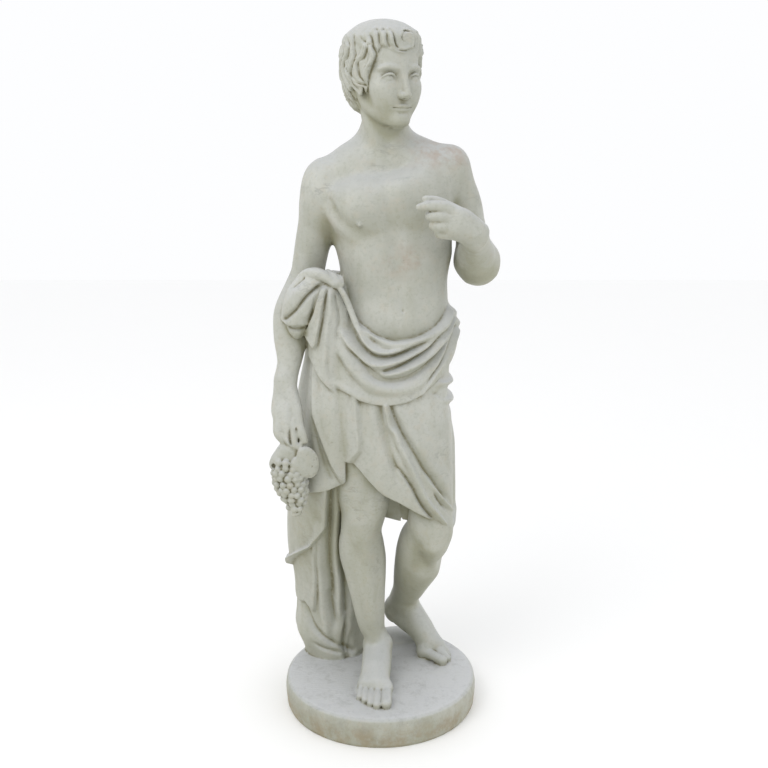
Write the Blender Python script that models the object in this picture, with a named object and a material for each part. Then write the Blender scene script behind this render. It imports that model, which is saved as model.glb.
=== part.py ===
"""A classical marble statue of a youth, carved in one block with its cloth, grapes and plinth.

Metres, +Z up. The origin is the centre of the plinth's underside and the statue faces -Y.
Left and right are the youth's own, so the right hand is on the -X side.
"""
import math

import bmesh
import bpy
import numpy as np
import openvdb

CELL = 0.004
FACES = 9400
BLOCK = ((-0.29, -0.27, -0.02), (0.30, 0.27, 1.68))
FAR = 1.0
MARBLE = (0.72, 0.72, 0.66, 1.0)
ROUGHNESS = 0.6


def smooth_min(a, b, blend):
    if blend <= 0:
        return np.minimum(a, b)
    h = np.maximum(blend - np.abs(a - b), 0) / blend
    return np.minimum(a, b) - h * h * (blend / 4)


def glide(knots, values, at):
    """A smooth curve through values at knots, read at the points at."""
    knots = np.asarray(knots, float)
    values = np.asarray(values, float).reshape(len(knots), -1)
    slopes = np.gradient(values, knots, axis=0)
    at = np.asarray(at, float)
    t = np.clip(at, knots[0], knots[-1])
    i = np.clip(np.searchsorted(knots, t, side="right") - 1, 0, len(knots) - 2)
    span = knots[i + 1] - knots[i]
    s = ((t - knots[i]) / span)[..., None]
    span = span[..., None]
    return (
        values[i] * (1 + 2 * s) * (1 - s) ** 2
        + slopes[i] * span * s * (1 - s) ** 2
        + values[i + 1] * s * s * (3 - 2 * s)
        + slopes[i + 1] * span * s * s * (s - 1)
    )


def spline(points, steps=4):
    """More points along a smooth curve through the given ones."""
    points = np.asarray(points, float)
    if len(points) < 3:
        return points
    gaps = np.linalg.norm(np.diff(points[:, :3], axis=0), axis=1)
    at = np.concatenate([[0], np.cumsum(np.sqrt(gaps))])
    fine = np.unique(np.concatenate([np.linspace(a, b, steps + 1) for a, b in zip(at[:-1], at[1:])]))
    return glide(at, points, fine)


def unit(v):
    v = np.asarray(v, float)
    return v / np.linalg.norm(v)


def frame_along(start, end, front):
    """Rows: side, back, along. The form's own axes in the world."""
    along = unit(np.subtract(end, start))
    back = -unit(np.asarray(front, float) - np.dot(front, along) * along)
    side = np.cross(back, along)
    return np.array([side, back, along])


def turned(yaw=0, pitch=0, roll=0):
    """Rows: the own axes of a form that is turned about Z, then tipped about its own X and Y, in degrees."""
    a, b, c = (math.radians(v) for v in (yaw, pitch, roll))
    rz = np.array([[math.cos(a), -math.sin(a), 0], [math.sin(a), math.cos(a), 0], [0, 0, 1]])
    rx = np.array([[1, 0, 0], [0, math.cos(b), -math.sin(b)], [0, math.sin(b), math.cos(b)]])
    ry = np.array([[math.cos(c), 0, math.sin(c)], [0, 1, 0], [-math.sin(c), 0, math.cos(c)]])
    return (rz @ rx @ ry).T


class Form:
    axes = None
    origin = (0, 0, 0)

    def local(self, x, y, z):
        if self.axes is None:
            o = self.origin
            return x - o[0], y - o[1], z - o[2]
        dx, dy, dz = (c - o for c, o in zip((x, y, z), np.float32(self.origin)))
        m = np.float32(self.axes)
        return tuple(m[i, 0] * dx + m[i, 1] * dy + m[i, 2] * dz for i in range(3))

    def place(self, low, high):
        """The world box of a box in the form's own axes."""
        if self.axes is None:
            return np.add(low, self.origin), np.add(high, self.origin)
        spans = list(zip(low, high))
        corners = np.array([(a, b, c) for a in spans[0] for b in spans[1] for c in spans[2]])
        world = corners @ self.axes + np.asarray(self.origin)
        return world.min(0), world.max(0)


class Egg(Form):
    """An ellipsoid."""

    def __init__(self, centre, radii, axes=None):
        self.origin, self.radii, self.axes = centre, np.float32(radii), axes
        self.box = self.place(-np.asarray(radii), np.asarray(radii))

    def __call__(self, x, y, z):
        u, v, w = self.local(x, y, z)
        a, b, c = self.radii
        near = np.sqrt((u / a) ** 2 + (v / b) ** 2 + (w / c) ** 2)
        steep = np.sqrt((u / a**2) ** 2 + (v / b**2) ** 2 + (w / c**2) ** 2)
        return near * (near - 1) / np.maximum(steep, 1e-3)


class Bar(Form):
    """A round bar along a curve; points are x, y, z, radius."""

    def __init__(self, points, steps=4, axes=None, origin=(0, 0, 0)):
        points = np.asarray(points, float)
        if axes is not None:
            points = np.hstack([points[:, :3] @ axes + np.asarray(origin), points[:, 3:]])
        self.line = np.float32(spline(points, steps))
        r = self.line[:, 3:].max()
        self.box = self.line[:, :3].min(0) - r, self.line[:, :3].max(0) + r

    def __call__(self, x, y, z):
        best = None
        for a, b in zip(self.line[:-1], self.line[1:]):
            step = b - a
            length = max(float(step[:3] @ step[:3]), 1e-12)
            dx, dy, dz = x - a[0], y - a[1], z - a[2]
            t = np.clip((dx * step[0] + dy * step[1] + dz * step[2]) / length, 0, 1)
            gap = np.sqrt((dx - t * step[0]) ** 2 + (dy - t * step[1]) ** 2 + (dz - t * step[2]) ** 2)
            gap -= a[3] + t * step[3]
            best = gap if best is None else np.minimum(best, gap)
        return best


class Column(Form):
    """A form grown along its own third axis.

    Between its stations it follows a smooth curve, which is kept as a table of many steps.

    A station is height, centre side, centre back, half-width, front depth, back depth.
    square is 2 for an oval section and more for a fuller one. hem is the rounding of a trimmed edge.
    """

    steps = 500
    hem = 0.004

    def __init__(self, stations, square=2.0, start=None, end=None, front=(0, -1, 0)):
        self.stations = np.asarray(stations, float)
        self.square = square
        self.relief = None
        if start is not None:
            self.origin = np.asarray(start, float)
            self.axes = frame_along(start, end, front)
        s = self.stations
        self.table = np.float32(glide(s[:, 0], s[:, 1:], np.linspace(s[0, 0], s[-1, 0], self.steps + 1)))
        reach = s[:, 3:].max() * 1.1
        low = [s[:, 1].min() - reach, s[:, 2].min() - reach, s[0, 0]]
        high = [s[:, 1].max() + reach, s[:, 2].max() + reach, s[-1, 0]]
        self.box = self.place(low, high)

    def __call__(self, x, y, z):
        u, v, w = self.local(x, y, z)
        low, high = self.stations[0, 0], self.stations[-1, 0]
        step = np.clip((w - low) * (self.steps / (high - low)), 0, self.steps - 0.001)
        row = step.astype(np.int32)
        share = (step - row).astype(np.float32)
        side_at, back_at, wide, front, rear = (
            column[row] * (1 - share) + column[row + 1] * share for column in self.table.T.copy()
        )
        du, dv = u - side_at, v - back_at
        deep = np.where(dv < 0, front, rear)
        side, back = du / wide, dv / deep
        n = self.square
        p, q = np.abs(side) + 1e-5, np.abs(back) + 1e-5
        near = (p**n + q**n) ** (1 / n)
        steep = np.hypot(p ** (n - 1) / wide, q ** (n - 1) / deep) * near ** (1 - n)
        steep = np.clip(steep, 1 / np.maximum(wide, deep), 1 / np.minimum(wide, deep))
        out = (near - 1) / steep
        if self.relief is not None:
            angle = np.degrees(np.arctan2(side, -back))
            out = -smooth_min(self.relief.rise(angle, w) - out, -self.relief.beyond(angle, w), self.hem)
        return np.maximum(out, np.maximum(low - w, w - high))


class Relief:
    """Cloth folds on a column, kept as a map of heights.

    The map runs over the angle from the front in degrees, growing towards +X, and over the
    height of the column. girth is the length once round the column.
    """

    def __init__(self, low, high, girth, cell=0.0014):
        self.low, self.cell = low, cell
        self.metre = girth / 360
        self.turns = 360 * max(int(round(self.metre / cell)), 1)
        self.rows = int((high - low) / cell) + 2
        self.angle = np.arange(self.turns) * (360 / self.turns) - 180
        self.height = low + cell * np.arange(self.rows)
        self.map = np.zeros((self.turns, self.rows), np.float32)
        self.top = np.full(self.turns, 10.0, np.float32)
        self.bottom = np.full(self.turns, -10.0, np.float32)

    def curve(self, points):
        """Heights of an edge at every angle, from points of angle and height."""
        points = np.asarray(points, float)
        return glide(points[:, 0], points[:, 1], self.angle)[:, 0]

    def trim(self, top=None, bottom=None):
        """The upper and the lower edge of the cloth, as points of angle and height."""
        if top is not None:
            self.top = self.curve(top).astype(np.float32)
        if bottom is not None:
            self.bottom = self.curve(bottom).astype(np.float32)

    def windows(self, points, margin):
        """The parts of the map near some points, with their places in metres."""
        points = np.asarray(points, float)
        reach = margin / self.metre
        low, high = points[:, 1].min() - margin, points[:, 1].max() + margin
        rows = np.flatnonzero((self.height > low) & (self.height < high))
        for shift in (-360, 0, 360):
            angle = self.angle + shift
            near = (angle > points[:, 0].min() - reach) & (angle < points[:, 0].max() + reach)
            turns = np.flatnonzero(near)
            if len(turns) and len(rows):
                window = slice(turns[0], turns[-1] + 1), slice(rows[0], rows[-1] + 1)
                x, y = np.meshgrid(angle[window[0]] * self.metre, self.height[window[1]], indexing="ij")
                yield window, x, y

    def fold(self, points, wide, high, fade=(0.1, 0.1), lean=1.0, keen=2.0):
        """A ridge along points of angle and height, or a valley when high is negative.

        It rises and dies out over the shares of its length in fade. lean makes one side steeper.
        keen is 2 for a round ridge, nearer 1 for a sharp crease and more for a flat band.
        """
        line = spline(points, 6)
        x, y = line[:, 0] * self.metre, line[:, 1]
        step = np.hypot(np.diff(x), np.diff(y)) + 1e-9
        total = np.concatenate([[0], np.cumsum(step)])
        for window, mx, my in self.windows(line, 3 * wide):
            best = np.full(mx.shape, np.inf)
            along, side = np.zeros(mx.shape), np.zeros(mx.shape)
            for i in range(len(step)):
                dx, dy = (x[i + 1] - x[i]) / step[i], (y[i + 1] - y[i]) / step[i]
                t = np.clip((mx - x[i]) * dx + (my - y[i]) * dy, 0, step[i])
                ex, ey = mx - x[i] - t * dx, my - y[i] - t * dy
                gap = np.hypot(ex, ey)
                closer = gap < best
                best = np.where(closer, gap, best)
                along = np.where(closer, (total[i] + t) / total[-1], along)
                side = np.where(closer, ex * dy - ey * dx, side)
            width = np.where(side > 0, wide / lean, wide)
            share = np.clip(along / fade[0], 0, 1) * np.clip((1 - along) / fade[1], 0, 1)
            share = share * share * (3 - 2 * share)
            self.map[window] += (high * share * np.exp(-((best / width) ** keen))).astype(np.float32)

    def patch(self, points, thick, curl=0.0, soft=0.003):
        """A layer of cloth inside a closed outline of angle and height. curl lifts its edge."""
        points = np.asarray(points, float)
        x, y = points[:, 0] * self.metre, points[:, 1]
        for window, mx, my in self.windows(points, 2 * soft):
            gap = np.full(mx.shape, np.inf)
            inside = np.zeros(mx.shape, bool)
            for i in range(len(points)):
                dx, dy = x[i] - x[i - 1], y[i] - y[i - 1]
                t = np.clip(((mx - x[i]) * dx + (my - y[i]) * dy) / (dx * dx + dy * dy + 1e-12), -1, 0)
                gap = np.minimum(gap, np.hypot(mx - x[i] - t * dx, my - y[i] - t * dy))
                if dy != 0:
                    inside ^= ((y[i] > my) != (y[i - 1] > my)) & (mx < dx * (my - y[i]) / dy + x[i])
            gap = np.where(inside, gap, -gap)
            rise = np.clip(gap / soft + 0.5, 0, 1) * (thick + curl * np.exp(-((gap / 0.01) ** 2)))
            self.map[window] += rise.astype(np.float32)

    def soften(self, times=2):
        """Evens out the map a little, so that no edge is sharper than the stone would hold."""
        for _ in range(times):
            self.map = self.map / 2 + (np.roll(self.map, 1, axis=0) + np.roll(self.map, -1, axis=0)) / 4
            inner = self.map[:, 1:-1] / 2 + (self.map[:, 2:] + self.map[:, :-2]) / 4
            self.map[:, 1:-1] = inner

    def turn(self, angle):
        """Two neighbouring columns of the map and the share of the second."""
        i = (angle + 180) * (self.turns / 360)
        first = np.floor(i).astype(np.int32)
        return first % self.turns, (first + 1) % self.turns, i - first

    def rise(self, angle, height):
        """How far the cloth stands out from the column."""
        a, b, s = self.turn(angle)
        j = np.clip((height - self.low) / self.cell, 0, self.rows - 1.001)
        j = np.broadcast_to(j, a.shape)
        c = np.floor(j).astype(np.int32)
        t = j - c
        m = self.map
        return (m[a, c] * (1 - s) + m[b, c] * s) * (1 - t) + (m[a, c + 1] * (1 - s) + m[b, c + 1] * s) * t

    def beyond(self, angle, height):
        """How far a place is above the upper edge or below the lower edge of the cloth."""
        a, b, s = self.turn(angle)
        over = height - (self.top[a] * (1 - s) + self.top[b] * s)
        under = self.bottom[a] * (1 - s) + self.bottom[b] * s - height
        return np.maximum(over, under)


class Block:
    """A block of marble as a grid of distances to its carved surface, negative inside."""

    def __init__(self, low, high, cell, fine=None):
        """fine is the low corner, the high corner and the cell of a stretch with smaller cells."""
        self.cell = cell
        self.axes = []
        for i in range(3):
            ticks = np.arange(low[i], high[i], cell)
            if fine is not None:
                a, b, small = fine[0][i], fine[1][i], fine[2]
                ticks = np.concatenate([ticks[ticks < a], np.arange(a, b, small), ticks[ticks > b]])
            self.axes.append(ticks.astype(np.float32))
        self.field = np.full([len(ticks) for ticks in self.axes], FAR, np.float32)

    def window(self, box, margin):
        spans = []
        for axis, a, b in zip(self.axes, *box):
            first = int(np.searchsorted(axis, a - margin))
            last = int(np.searchsorted(axis, b + margin))
            spans.append(slice(first, max(last, first)))
        x, y, z = (axis[s] for axis, s in zip(self.axes, spans))
        return tuple(spans), (x[:, None, None], y[None, :, None], z[None, None, :])

    def add(self, form, blend=0.01):
        spans, points = self.window(form.box, blend + 2 * self.cell)
        self.field[spans] = smooth_min(self.field[spans], form(*points).astype(np.float32), blend)

    def cut(self, form, blend=0.004):
        spans, points = self.window(form.box, blend + 2 * self.cell)
        self.field[spans] = -smooth_min(-self.field[spans], form(*points).astype(np.float32), blend)

    def polygons(self):
        """Points and four-sided faces of the surface."""
        band = 3 * self.cell
        grid = openvdb.FloatGrid(band)
        grid.copyFromArray(np.clip(self.field, -band, band), tolerance=0)
        steps, triangles, faces = grid.convertToPolygons(isovalue=0.0, adaptivity=0.0)
        places = [np.interp(steps[:, i], np.arange(len(ticks)), ticks) for i, ticks in enumerate(self.axes)]
        return np.stack(places, axis=1), faces[:, ::-1].astype(np.int64)

    def mesh(self):
        """The surface, once no two parts of it touch along an edge."""
        while True:
            points, faces = self.polygons()
            ends = np.sort(np.stack([faces, np.roll(faces, 1, axis=1)], axis=-1).reshape(-1, 2), axis=1)
            edges, shared = np.unique(ends[:, 0] * len(points) + ends[:, 1], return_counts=True)
            touching = edges[shared > 2]
            if not len(touching):
                return points, faces
            for middle in (points[touching // len(points)] + points[touching % len(points)]) / 2:
                self.add(Egg(tuple(middle), (1.5 * self.cell,) * 3), self.cell)


PLINTH_R, PLINTH_T = 0.238, 0.075

# joints of the figure, in metres
R_SHOULDER = (-0.133, 0.020, 1.275)
R_ELBOW = (-0.175, 0.035, 1.060)
R_WRIST = (-0.2205, -0.062, 0.845)
L_SHOULDER = (0.170, 0.022, 1.305)
L_ELBOW = (0.226, 0.022, 1.108)
L_WRIST = (0.200, -0.165, 1.203)
HEAD = (0.011, -0.012, 1.541)
HEAD_YAW, HEAD_PITCH, HEAD_ROLL = 32, 2, 0


def plinth(block):
    r = PLINTH_R
    s = [
        (-0.03, 0, 0, r - 0.004, r - 0.004, r - 0.004), (0.000, 0, 0, r - 0.004, r - 0.004, r - 0.004),
        (0.006, 0, 0, r - 0.001, r - 0.001, r - 0.001), (0.016, 0, 0, r, r, r), (0.062, 0, 0, r, r, r),
        (0.071, 0, 0, r - 0.003, r - 0.003, r - 0.003), (PLINTH_T, 0, 0, r - 0.009, r - 0.009, r - 0.009),
    ]
    block.add(Column(s), 0)
    # low swelling of the ground at the back, under the raised heel
    block.add(Egg((0.045, 0.165, PLINTH_T - 0.004), (0.085, 0.05, 0.030)), 0.02)


def torso(block):
    # height, centre side, centre back, half-width, front depth, back depth
    s = [
        (0.78, 0.015, 0.010, 0.130, 0.085, 0.100), (0.86, 0.015, 0.010, 0.138, 0.092, 0.118),
        (0.93, 0.018, 0.010, 0.138, 0.094, 0.115), (1.00, 0.026, 0.008, 0.128, 0.094, 0.095),
        (1.05, 0.030, 0.008, 0.1225, 0.086, 0.084), (1.10, 0.0325, 0.010, 0.1260, 0.084, 0.084),
        (1.16, 0.0295, 0.014, 0.1355, 0.094, 0.092), (1.22, 0.0230, 0.018, 0.1405, 0.100, 0.100),
        (1.27, 0.015, 0.020, 0.138, 0.096, 0.100), (1.31, 0.010, 0.024, 0.112, 0.082, 0.088),
        (1.345, 0.008, 0.028, 0.078, 0.062, 0.066), (1.375, 0.008, 0.030, 0.045, 0.042, 0.045),
        (1.400, 0.008, 0.030, 0.020, 0.020, 0.020),
    ]
    block.add(Column(s, square=2.3), 0.01)
    # breast muscles
    block.add(Egg((-0.046, -0.050, 1.248), (0.073, 0.042, 0.055), turned(yaw=-14, roll=-12)), 0.04)
    block.add(Egg((0.085, -0.054, 1.268), (0.073, 0.042, 0.055), turned(yaw=14, roll=12)), 0.04)
    # rib arch and belly
    block.add(Egg((0.036, -0.046, 1.115), (0.075, 0.036, 0.065)), 0.04)
    block.add(Egg((0.046, -0.050, 1.005), (0.080, 0.040, 0.055)), 0.04)
    # flanks
    block.add(Egg((0.118, 0.0, 1.03), (0.028, 0.06, 0.045)), 0.03)
    # middle line
    block.cut(
        Bar(
            [
                (0.008, -0.105, 1.31, 0.004), (0.022, -0.108, 1.24, 0.006), (0.032, -0.100, 1.17, 0.006),
                (0.040, -0.095, 1.09, 0.005), (0.048, -0.103, 1.04, 0.004),
            ]
        ),
        0.025,
    )
    block.cut(Egg((0.051, -0.106, 1.020), (0.0055, 0.014, 0.007)), 0.006)
    # back: shoulder blades and loins
    for side, up in ((-1, 0.0), (1, 0.02)):
        block.add(
            Egg((0.015 + side * 0.072, 0.078, 1.235 + up), (0.055, 0.035, 0.07), turned(roll=side * 8)),
            0.03,
        )
        block.add(
            Bar(
                [
                    (0.03 + side * 0.028, 0.070, 1.00, 0.022), (0.028 + side * 0.03, 0.077, 1.10, 0.022),
                    (0.02 + side * 0.03, 0.092, 1.22, 0.018),
                ]
            ),
            0.03,
        )
        block.add(Egg((0.015 + side * 0.07, 0.080, 0.865), (0.075, 0.065, 0.085)), 0.03)
    # lower edge of the breast, up into the armpit
    block.cut(
        Bar(
            [
                (-0.114, -0.050, 1.264, 0.001), (-0.107, -0.060, 1.246, 0.005),
                (-0.097, -0.071, 1.226, 0.005), (-0.080, -0.082, 1.207, 0.004),
                (-0.060, -0.090, 1.193, 0.003), (-0.036, -0.096, 1.184, 0.002),
                (-0.004, -0.101, 1.182, 0.001),
            ]
        ),
        0.026,
    )
    # nipple
    block.add(Egg((-0.045, -0.0905, 1.211), (0.0050, 0.0042, 0.0048)), 0.006)


def collar(block):
    # the breast runs on into the raised shoulder
    block.add(Egg((0.118, -0.030, 1.318), (0.055, 0.034, 0.042), turned(yaw=20, roll=-10)), 0.035)
    # collar bones, and the hollows behind them nearly filled
    block.add(
        Bar(
            [
                (0.014, -0.027, 1.346, 0.004), (-0.045, -0.024, 1.335, 0.004),
                (-0.100, -0.008, 1.325, 0.006), (-0.130, 0.000, 1.315, 0.006),
            ]
        ),
        0.04,
    )
    block.add(
        Bar(
            [
                (0.032, -0.027, 1.348, 0.004), (0.085, -0.025, 1.350, 0.004),
                (0.130, -0.008, 1.350, 0.006), (0.155, 0.000, 1.345, 0.006),
            ]
        ),
        0.04,
    )
    block.add(Egg((0.062, 0.008, 1.360), (0.052, 0.034, 0.030), turned(roll=10)), 0.04)
    block.add(Egg((-0.044, 0.010, 1.352), (0.050, 0.034, 0.034), turned(roll=-14)), 0.04)
    block.cut(Egg((0.022, -0.060, 1.364), (0.006, 0.010, 0.008)), 0.02)


def neck(block):
    block.add(
        Column(
            [
                (-0.03, 0, 0, 0.060, 0.055, 0.060), (0.03, 0, 0, 0.052, 0.050, 0.054),
                (0.11, 0, 0, 0.0485, 0.050, 0.054), (0.16, 0, 0, 0.0485, 0.05, 0.054),
            ],
            start=(0.008, 0.028, 1.345), end=(0.012, 0.005, 1.47),
        ),
        0.03,
    )
    # shoulder slopes
    block.add(
        Bar(
            [
                (-0.002, 0.045, 1.43, 0.026), (-0.036, 0.045, 1.372, 0.032),
                (-0.085, 0.035, 1.337, 0.034), (-0.130, 0.025, 1.308, 0.034),
            ]
        ),
        0.035,
    )
    block.add(
        Bar(
            [
                (0.022, 0.045, 1.42, 0.024), (0.060, 0.045, 1.380, 0.031), (0.110, 0.035, 1.355, 0.034),
                (0.155, 0.025, 1.338, 0.034),
            ]
        ),
        0.035,
    )
    # the long neck muscle on the side the head turns from
    block.add(
        Bar(
            [(-0.034, 0.000, 1.470, 0.009), (-0.022, -0.021, 1.42, 0.009), (0.004, -0.036, 1.362, 0.005)]
        ),
        0.025,
    )
    block.add(
        Bar([(0.044, 0.03, 1.46, 0.008), (0.040, -0.004, 1.41, 0.007), (0.028, -0.031, 1.365, 0.004)]),
        0.025,
    )


FACE = [
    (-0.118, 0, -0.040, 0.006, 0.016, 0.020), (-0.1155, 0, -0.036, 0.015, 0.034, 0.034),
    (-0.110, 0, -0.030, 0.0235, 0.0455, 0.044), (-0.102, 0, -0.025, 0.0300, 0.0530, 0.052),
    (-0.091, 0, -0.022, 0.0360, 0.0540, 0.060), (-0.076, 0, -0.020, 0.0415, 0.0550, 0.060),
    (-0.056, 0, -0.018, 0.0475, 0.0575, 0.060), (-0.036, 0, -0.016, 0.0535, 0.0600, 0.060),
    (-0.016, 0, -0.014, 0.0585, 0.0610, 0.060), (0.006, 0, -0.012, 0.0610, 0.0650, 0.060),
    (0.034, 0, -0.010, 0.0625, 0.0660, 0.060), (0.060, 0, -0.006, 0.0600, 0.0610, 0.060),
    (0.085, 0, 0.000, 0.0480, 0.0480, 0.050),
]


def head(block):
    """The head, in its own axes: -Y to the face, Z up, from the middle of the skull."""
    axes = turned(HEAD_YAW, HEAD_PITCH, HEAD_ROLL)
    centre = np.array(HEAD)

    def egg(place, radii, blend, carve=block.add, turn=(0, 0, 0)):
        carve(Egg(tuple(np.asarray(place) @ axes + centre), radii, turned(*turn) @ axes), blend)

    def bar(points, blend, carve=block.add):
        carve(Bar(points, 5, axes, centre), blend)

    # skull, face and jaw
    egg((0, 0.020, 0.022), (0.070, 0.082, 0.078), 0.01)
    mask = Column(FACE, square=2.25)
    mask.axes, mask.origin = axes, centre
    mask.box = mask.place((-0.07, -0.09, -0.118), (0.07, 0.07, 0.085))
    block.add(mask, 0.012)
    for s in (-1, 1):
        # angle of the jaw, cheek bone, full cheek, brow
        bar(
            [
                (s * 0.053, 0.018, -0.040, 0.010), (s * 0.049, 0.004, -0.068, 0.009),
                (s * 0.034, -0.028, -0.092, 0.008), (s * 0.012, -0.058, -0.108, 0.007),
            ],
            0.024,
        )
        egg((s * 0.040, -0.046, -0.034), (0.017, 0.020, 0.018), 0.03)
        egg((s * 0.029, -0.052, -0.060), (0.016, 0.018, 0.022), 0.03)
        # socket, ball and lids of the eye
        bar(
            [
                (s * 0.019, -0.0845, -0.012, 0.0090), (s * 0.031, -0.0850, -0.010, 0.0115),
                (s * 0.046, -0.0750, -0.012, 0.0090),
            ],
            0.012, block.cut,
        )
        bar(
            [
                (s * 0.010, -0.0750, 0.0030, 0.0018), (s * 0.025, -0.0750, 0.0065, 0.0020),
                (s * 0.040, -0.0690, 0.0075, 0.0020), (s * 0.052, -0.0585, 0.0030, 0.0016),
            ],
            0.014,
        )
        egg((s * 0.031, -0.0590, -0.0165), (0.0155, 0.0142, 0.0122), 0.0015)
        bar(
            [
                (s * 0.0160, -0.0690, -0.0190, 0.0016), (s * 0.0225, -0.0732, -0.0104, 0.0025),
                (s * 0.0310, -0.0745, -0.0072, 0.0028), (s * 0.0400, -0.0704, -0.0090, 0.0025),
                (s * 0.0495, -0.0610, -0.0172, 0.0016),
            ],
            0.0012,
        )
        bar(
            [
                (s * 0.0165, -0.0690, -0.0195, 0.0014), (s * 0.0235, -0.0722, -0.0240, 0.0017),
                (s * 0.0315, -0.0724, -0.0256, 0.0018), (s * 0.0400, -0.0686, -0.0242, 0.0017),
                (s * 0.0480, -0.0620, -0.0185, 0.0014),
            ],
            0.0016,
        )
        # line under the upper lid
        bar(
            [
                (s * 0.0190, -0.0728, -0.0160, 0.0008), (s * 0.0240, -0.0750, -0.0134, 0.0012),
                (s * 0.0310, -0.0758, -0.0115, 0.0013), (s * 0.0390, -0.0724, -0.0126, 0.0012),
                (s * 0.0450, -0.0674, -0.0160, 0.0008),
            ],
            0.0010, block.cut,
        )
    # nose: a wedge from the forehead, its ridge, tip and wings
    for s in (-1, 1):
        bar(
            [
                (s * 0.002, -0.0670, -0.002, 0.0085), (s * 0.0030, -0.0715, -0.026, 0.0085),
                (s * 0.0040, -0.0765, -0.046, 0.0088),
            ],
            0.008,
        )
    bar(
        [
            (0, -0.0725, 0.014, 0.0070), (0, -0.0780, -0.004, 0.0060), (0, -0.0855, -0.024, 0.0056),
            (0, -0.0920, -0.042, 0.0060), (0, -0.0938, -0.049, 0.0062),
        ],
        0.009,
    )
    bar([(0, -0.0905, -0.0555, 0.0046), (0, -0.0820, -0.0585, 0.0036)], 0.005)
    for s in (-1, 1):
        egg((s * 0.0084, -0.0855, -0.0520), (0.0064, 0.0092, 0.0064), 0.006)
        egg((s * 0.0054, -0.0885, -0.0590), (0.0025, 0.0048, 0.0028), 0.0015, block.cut)
    # groove under the nose
    bar([(0, -0.0810, -0.0625, 0.0010), (0, -0.0822, -0.0700, 0.0014)], 0.004, block.cut)
    # lips
    for s in (-1, 1):
        bar(
            [
                (s * 0.0220, -0.0705, -0.0765, 0.0014), (s * 0.0130, -0.0760, -0.0752, 0.0030),
                (s * 0.0048, -0.0787, -0.0738, 0.0036), (0, -0.0785, -0.0746, 0.0034),
            ],
            0.004,
        )
    bar(
        [
            (-0.0195, -0.0705, -0.0790, 0.0016), (-0.0110, -0.0748, -0.0820, 0.0036),
            (0, -0.0762, -0.0834, 0.0042), (0.0110, -0.0748, -0.0820, 0.0036),
            (0.0195, -0.0705, -0.0790, 0.0016),
        ],
        0.004,
    )
    bar(
        [
            (-0.0232, -0.0725, -0.0768, 0.0011), (-0.0120, -0.0785, -0.0780, 0.0013),
            (0, -0.0808, -0.0790, 0.0013), (0.0120, -0.0785, -0.0780, 0.0013),
            (0.0232, -0.0725, -0.0768, 0.0011),
        ],
        0.0014, block.cut,
    )
    # hollow under the lower lip, then the chin
    bar([(-0.008, -0.0785, -0.0895, 0.0012), (0.008, -0.0785, -0.0895, 0.0012)], 0.010, block.cut)
    egg((0, -0.0680, -0.1040), (0.0140, 0.0120, 0.0110), 0.016)
    # ears
    for s in (-1, 1):
        egg((s * 0.0640, -0.002, -0.026), (0.0060, 0.0160, 0.0290), 0.005, turn=(s * 18, -12, 0))
        bar(
            [
                (s * 0.0650, -0.0140, -0.0200, 0.0028), (s * 0.0710, -0.0020, 0.0000, 0.0032),
                (s * 0.0740, 0.0100, -0.0120, 0.0034), (s * 0.0710, 0.0060, -0.0340, 0.0034),
                (s * 0.0665, -0.0070, -0.0500, 0.0048),
            ],
            0.003,
        )
        egg((s * 0.0715, -0.0040, -0.0260), (0.0050, 0.0080, 0.0130), 0.003, block.cut)


HAIR = [
    (-0.060, -0.002, 0.026, 0.064, 0.050, 0.068), (-0.045, -0.002, 0.023, 0.0720, 0.072, 0.078),
    (-0.030, -0.002, 0.022, 0.0770, 0.082, 0.085), (-0.010, -0.002, 0.022, 0.0800, 0.090, 0.090),
    (0.010, -0.003, 0.0225, 0.0800, 0.094, 0.092), (0.040, -0.0025, 0.0215, 0.0795, 0.097, 0.090),
]
# the dome of the crown
for turn in range(0, 88, 6):
    rise, run = math.sin(math.radians(turn)), math.cos(math.radians(turn))
    HAIR.append(
        (
            0.060 + 0.0485 * rise, 0.004 * rise, 0.0200 - 0.002 * rise, 0.0768 * run, 0.0945 * run,
            0.0857 * run,
        )
    )
NAPE = [
    (-0.096, 0, 0.052, 0.028, 0.030, 0.020), (-0.086, 0, 0.050, 0.044, 0.036, 0.031),
    (-0.068, 0, 0.048, 0.057, 0.040, 0.044), (-0.046, 0, 0.046, 0.068, 0.045, 0.056),
    (-0.018, 0, 0.042, 0.073, 0.050, 0.063), (0.010, 0, 0.040, 0.070, 0.050, 0.060),
]


def lock(folds, points, wide=0.0095, high=0.0065):
    """A lock of hair: a rounded ridge with fine grooves along it and a deep one beside it."""
    sway = math.degrees(wide / 0.085)
    folds.fold(points, wide, high, fade=(0.12, 0.25), lean=1.3)
    for share in (-0.70, -0.22, 0.26):
        folds.fold(
            [(a + share * sway, z) for a, z in points], wide * 0.17, -high * 0.40, fade=(0.15, 0.25),
        )
    folds.fold([(a + 1.1 * sway, z) for a, z in points], wide * 0.38, -high * 0.75, fade=(0.12, 0.15))


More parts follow.
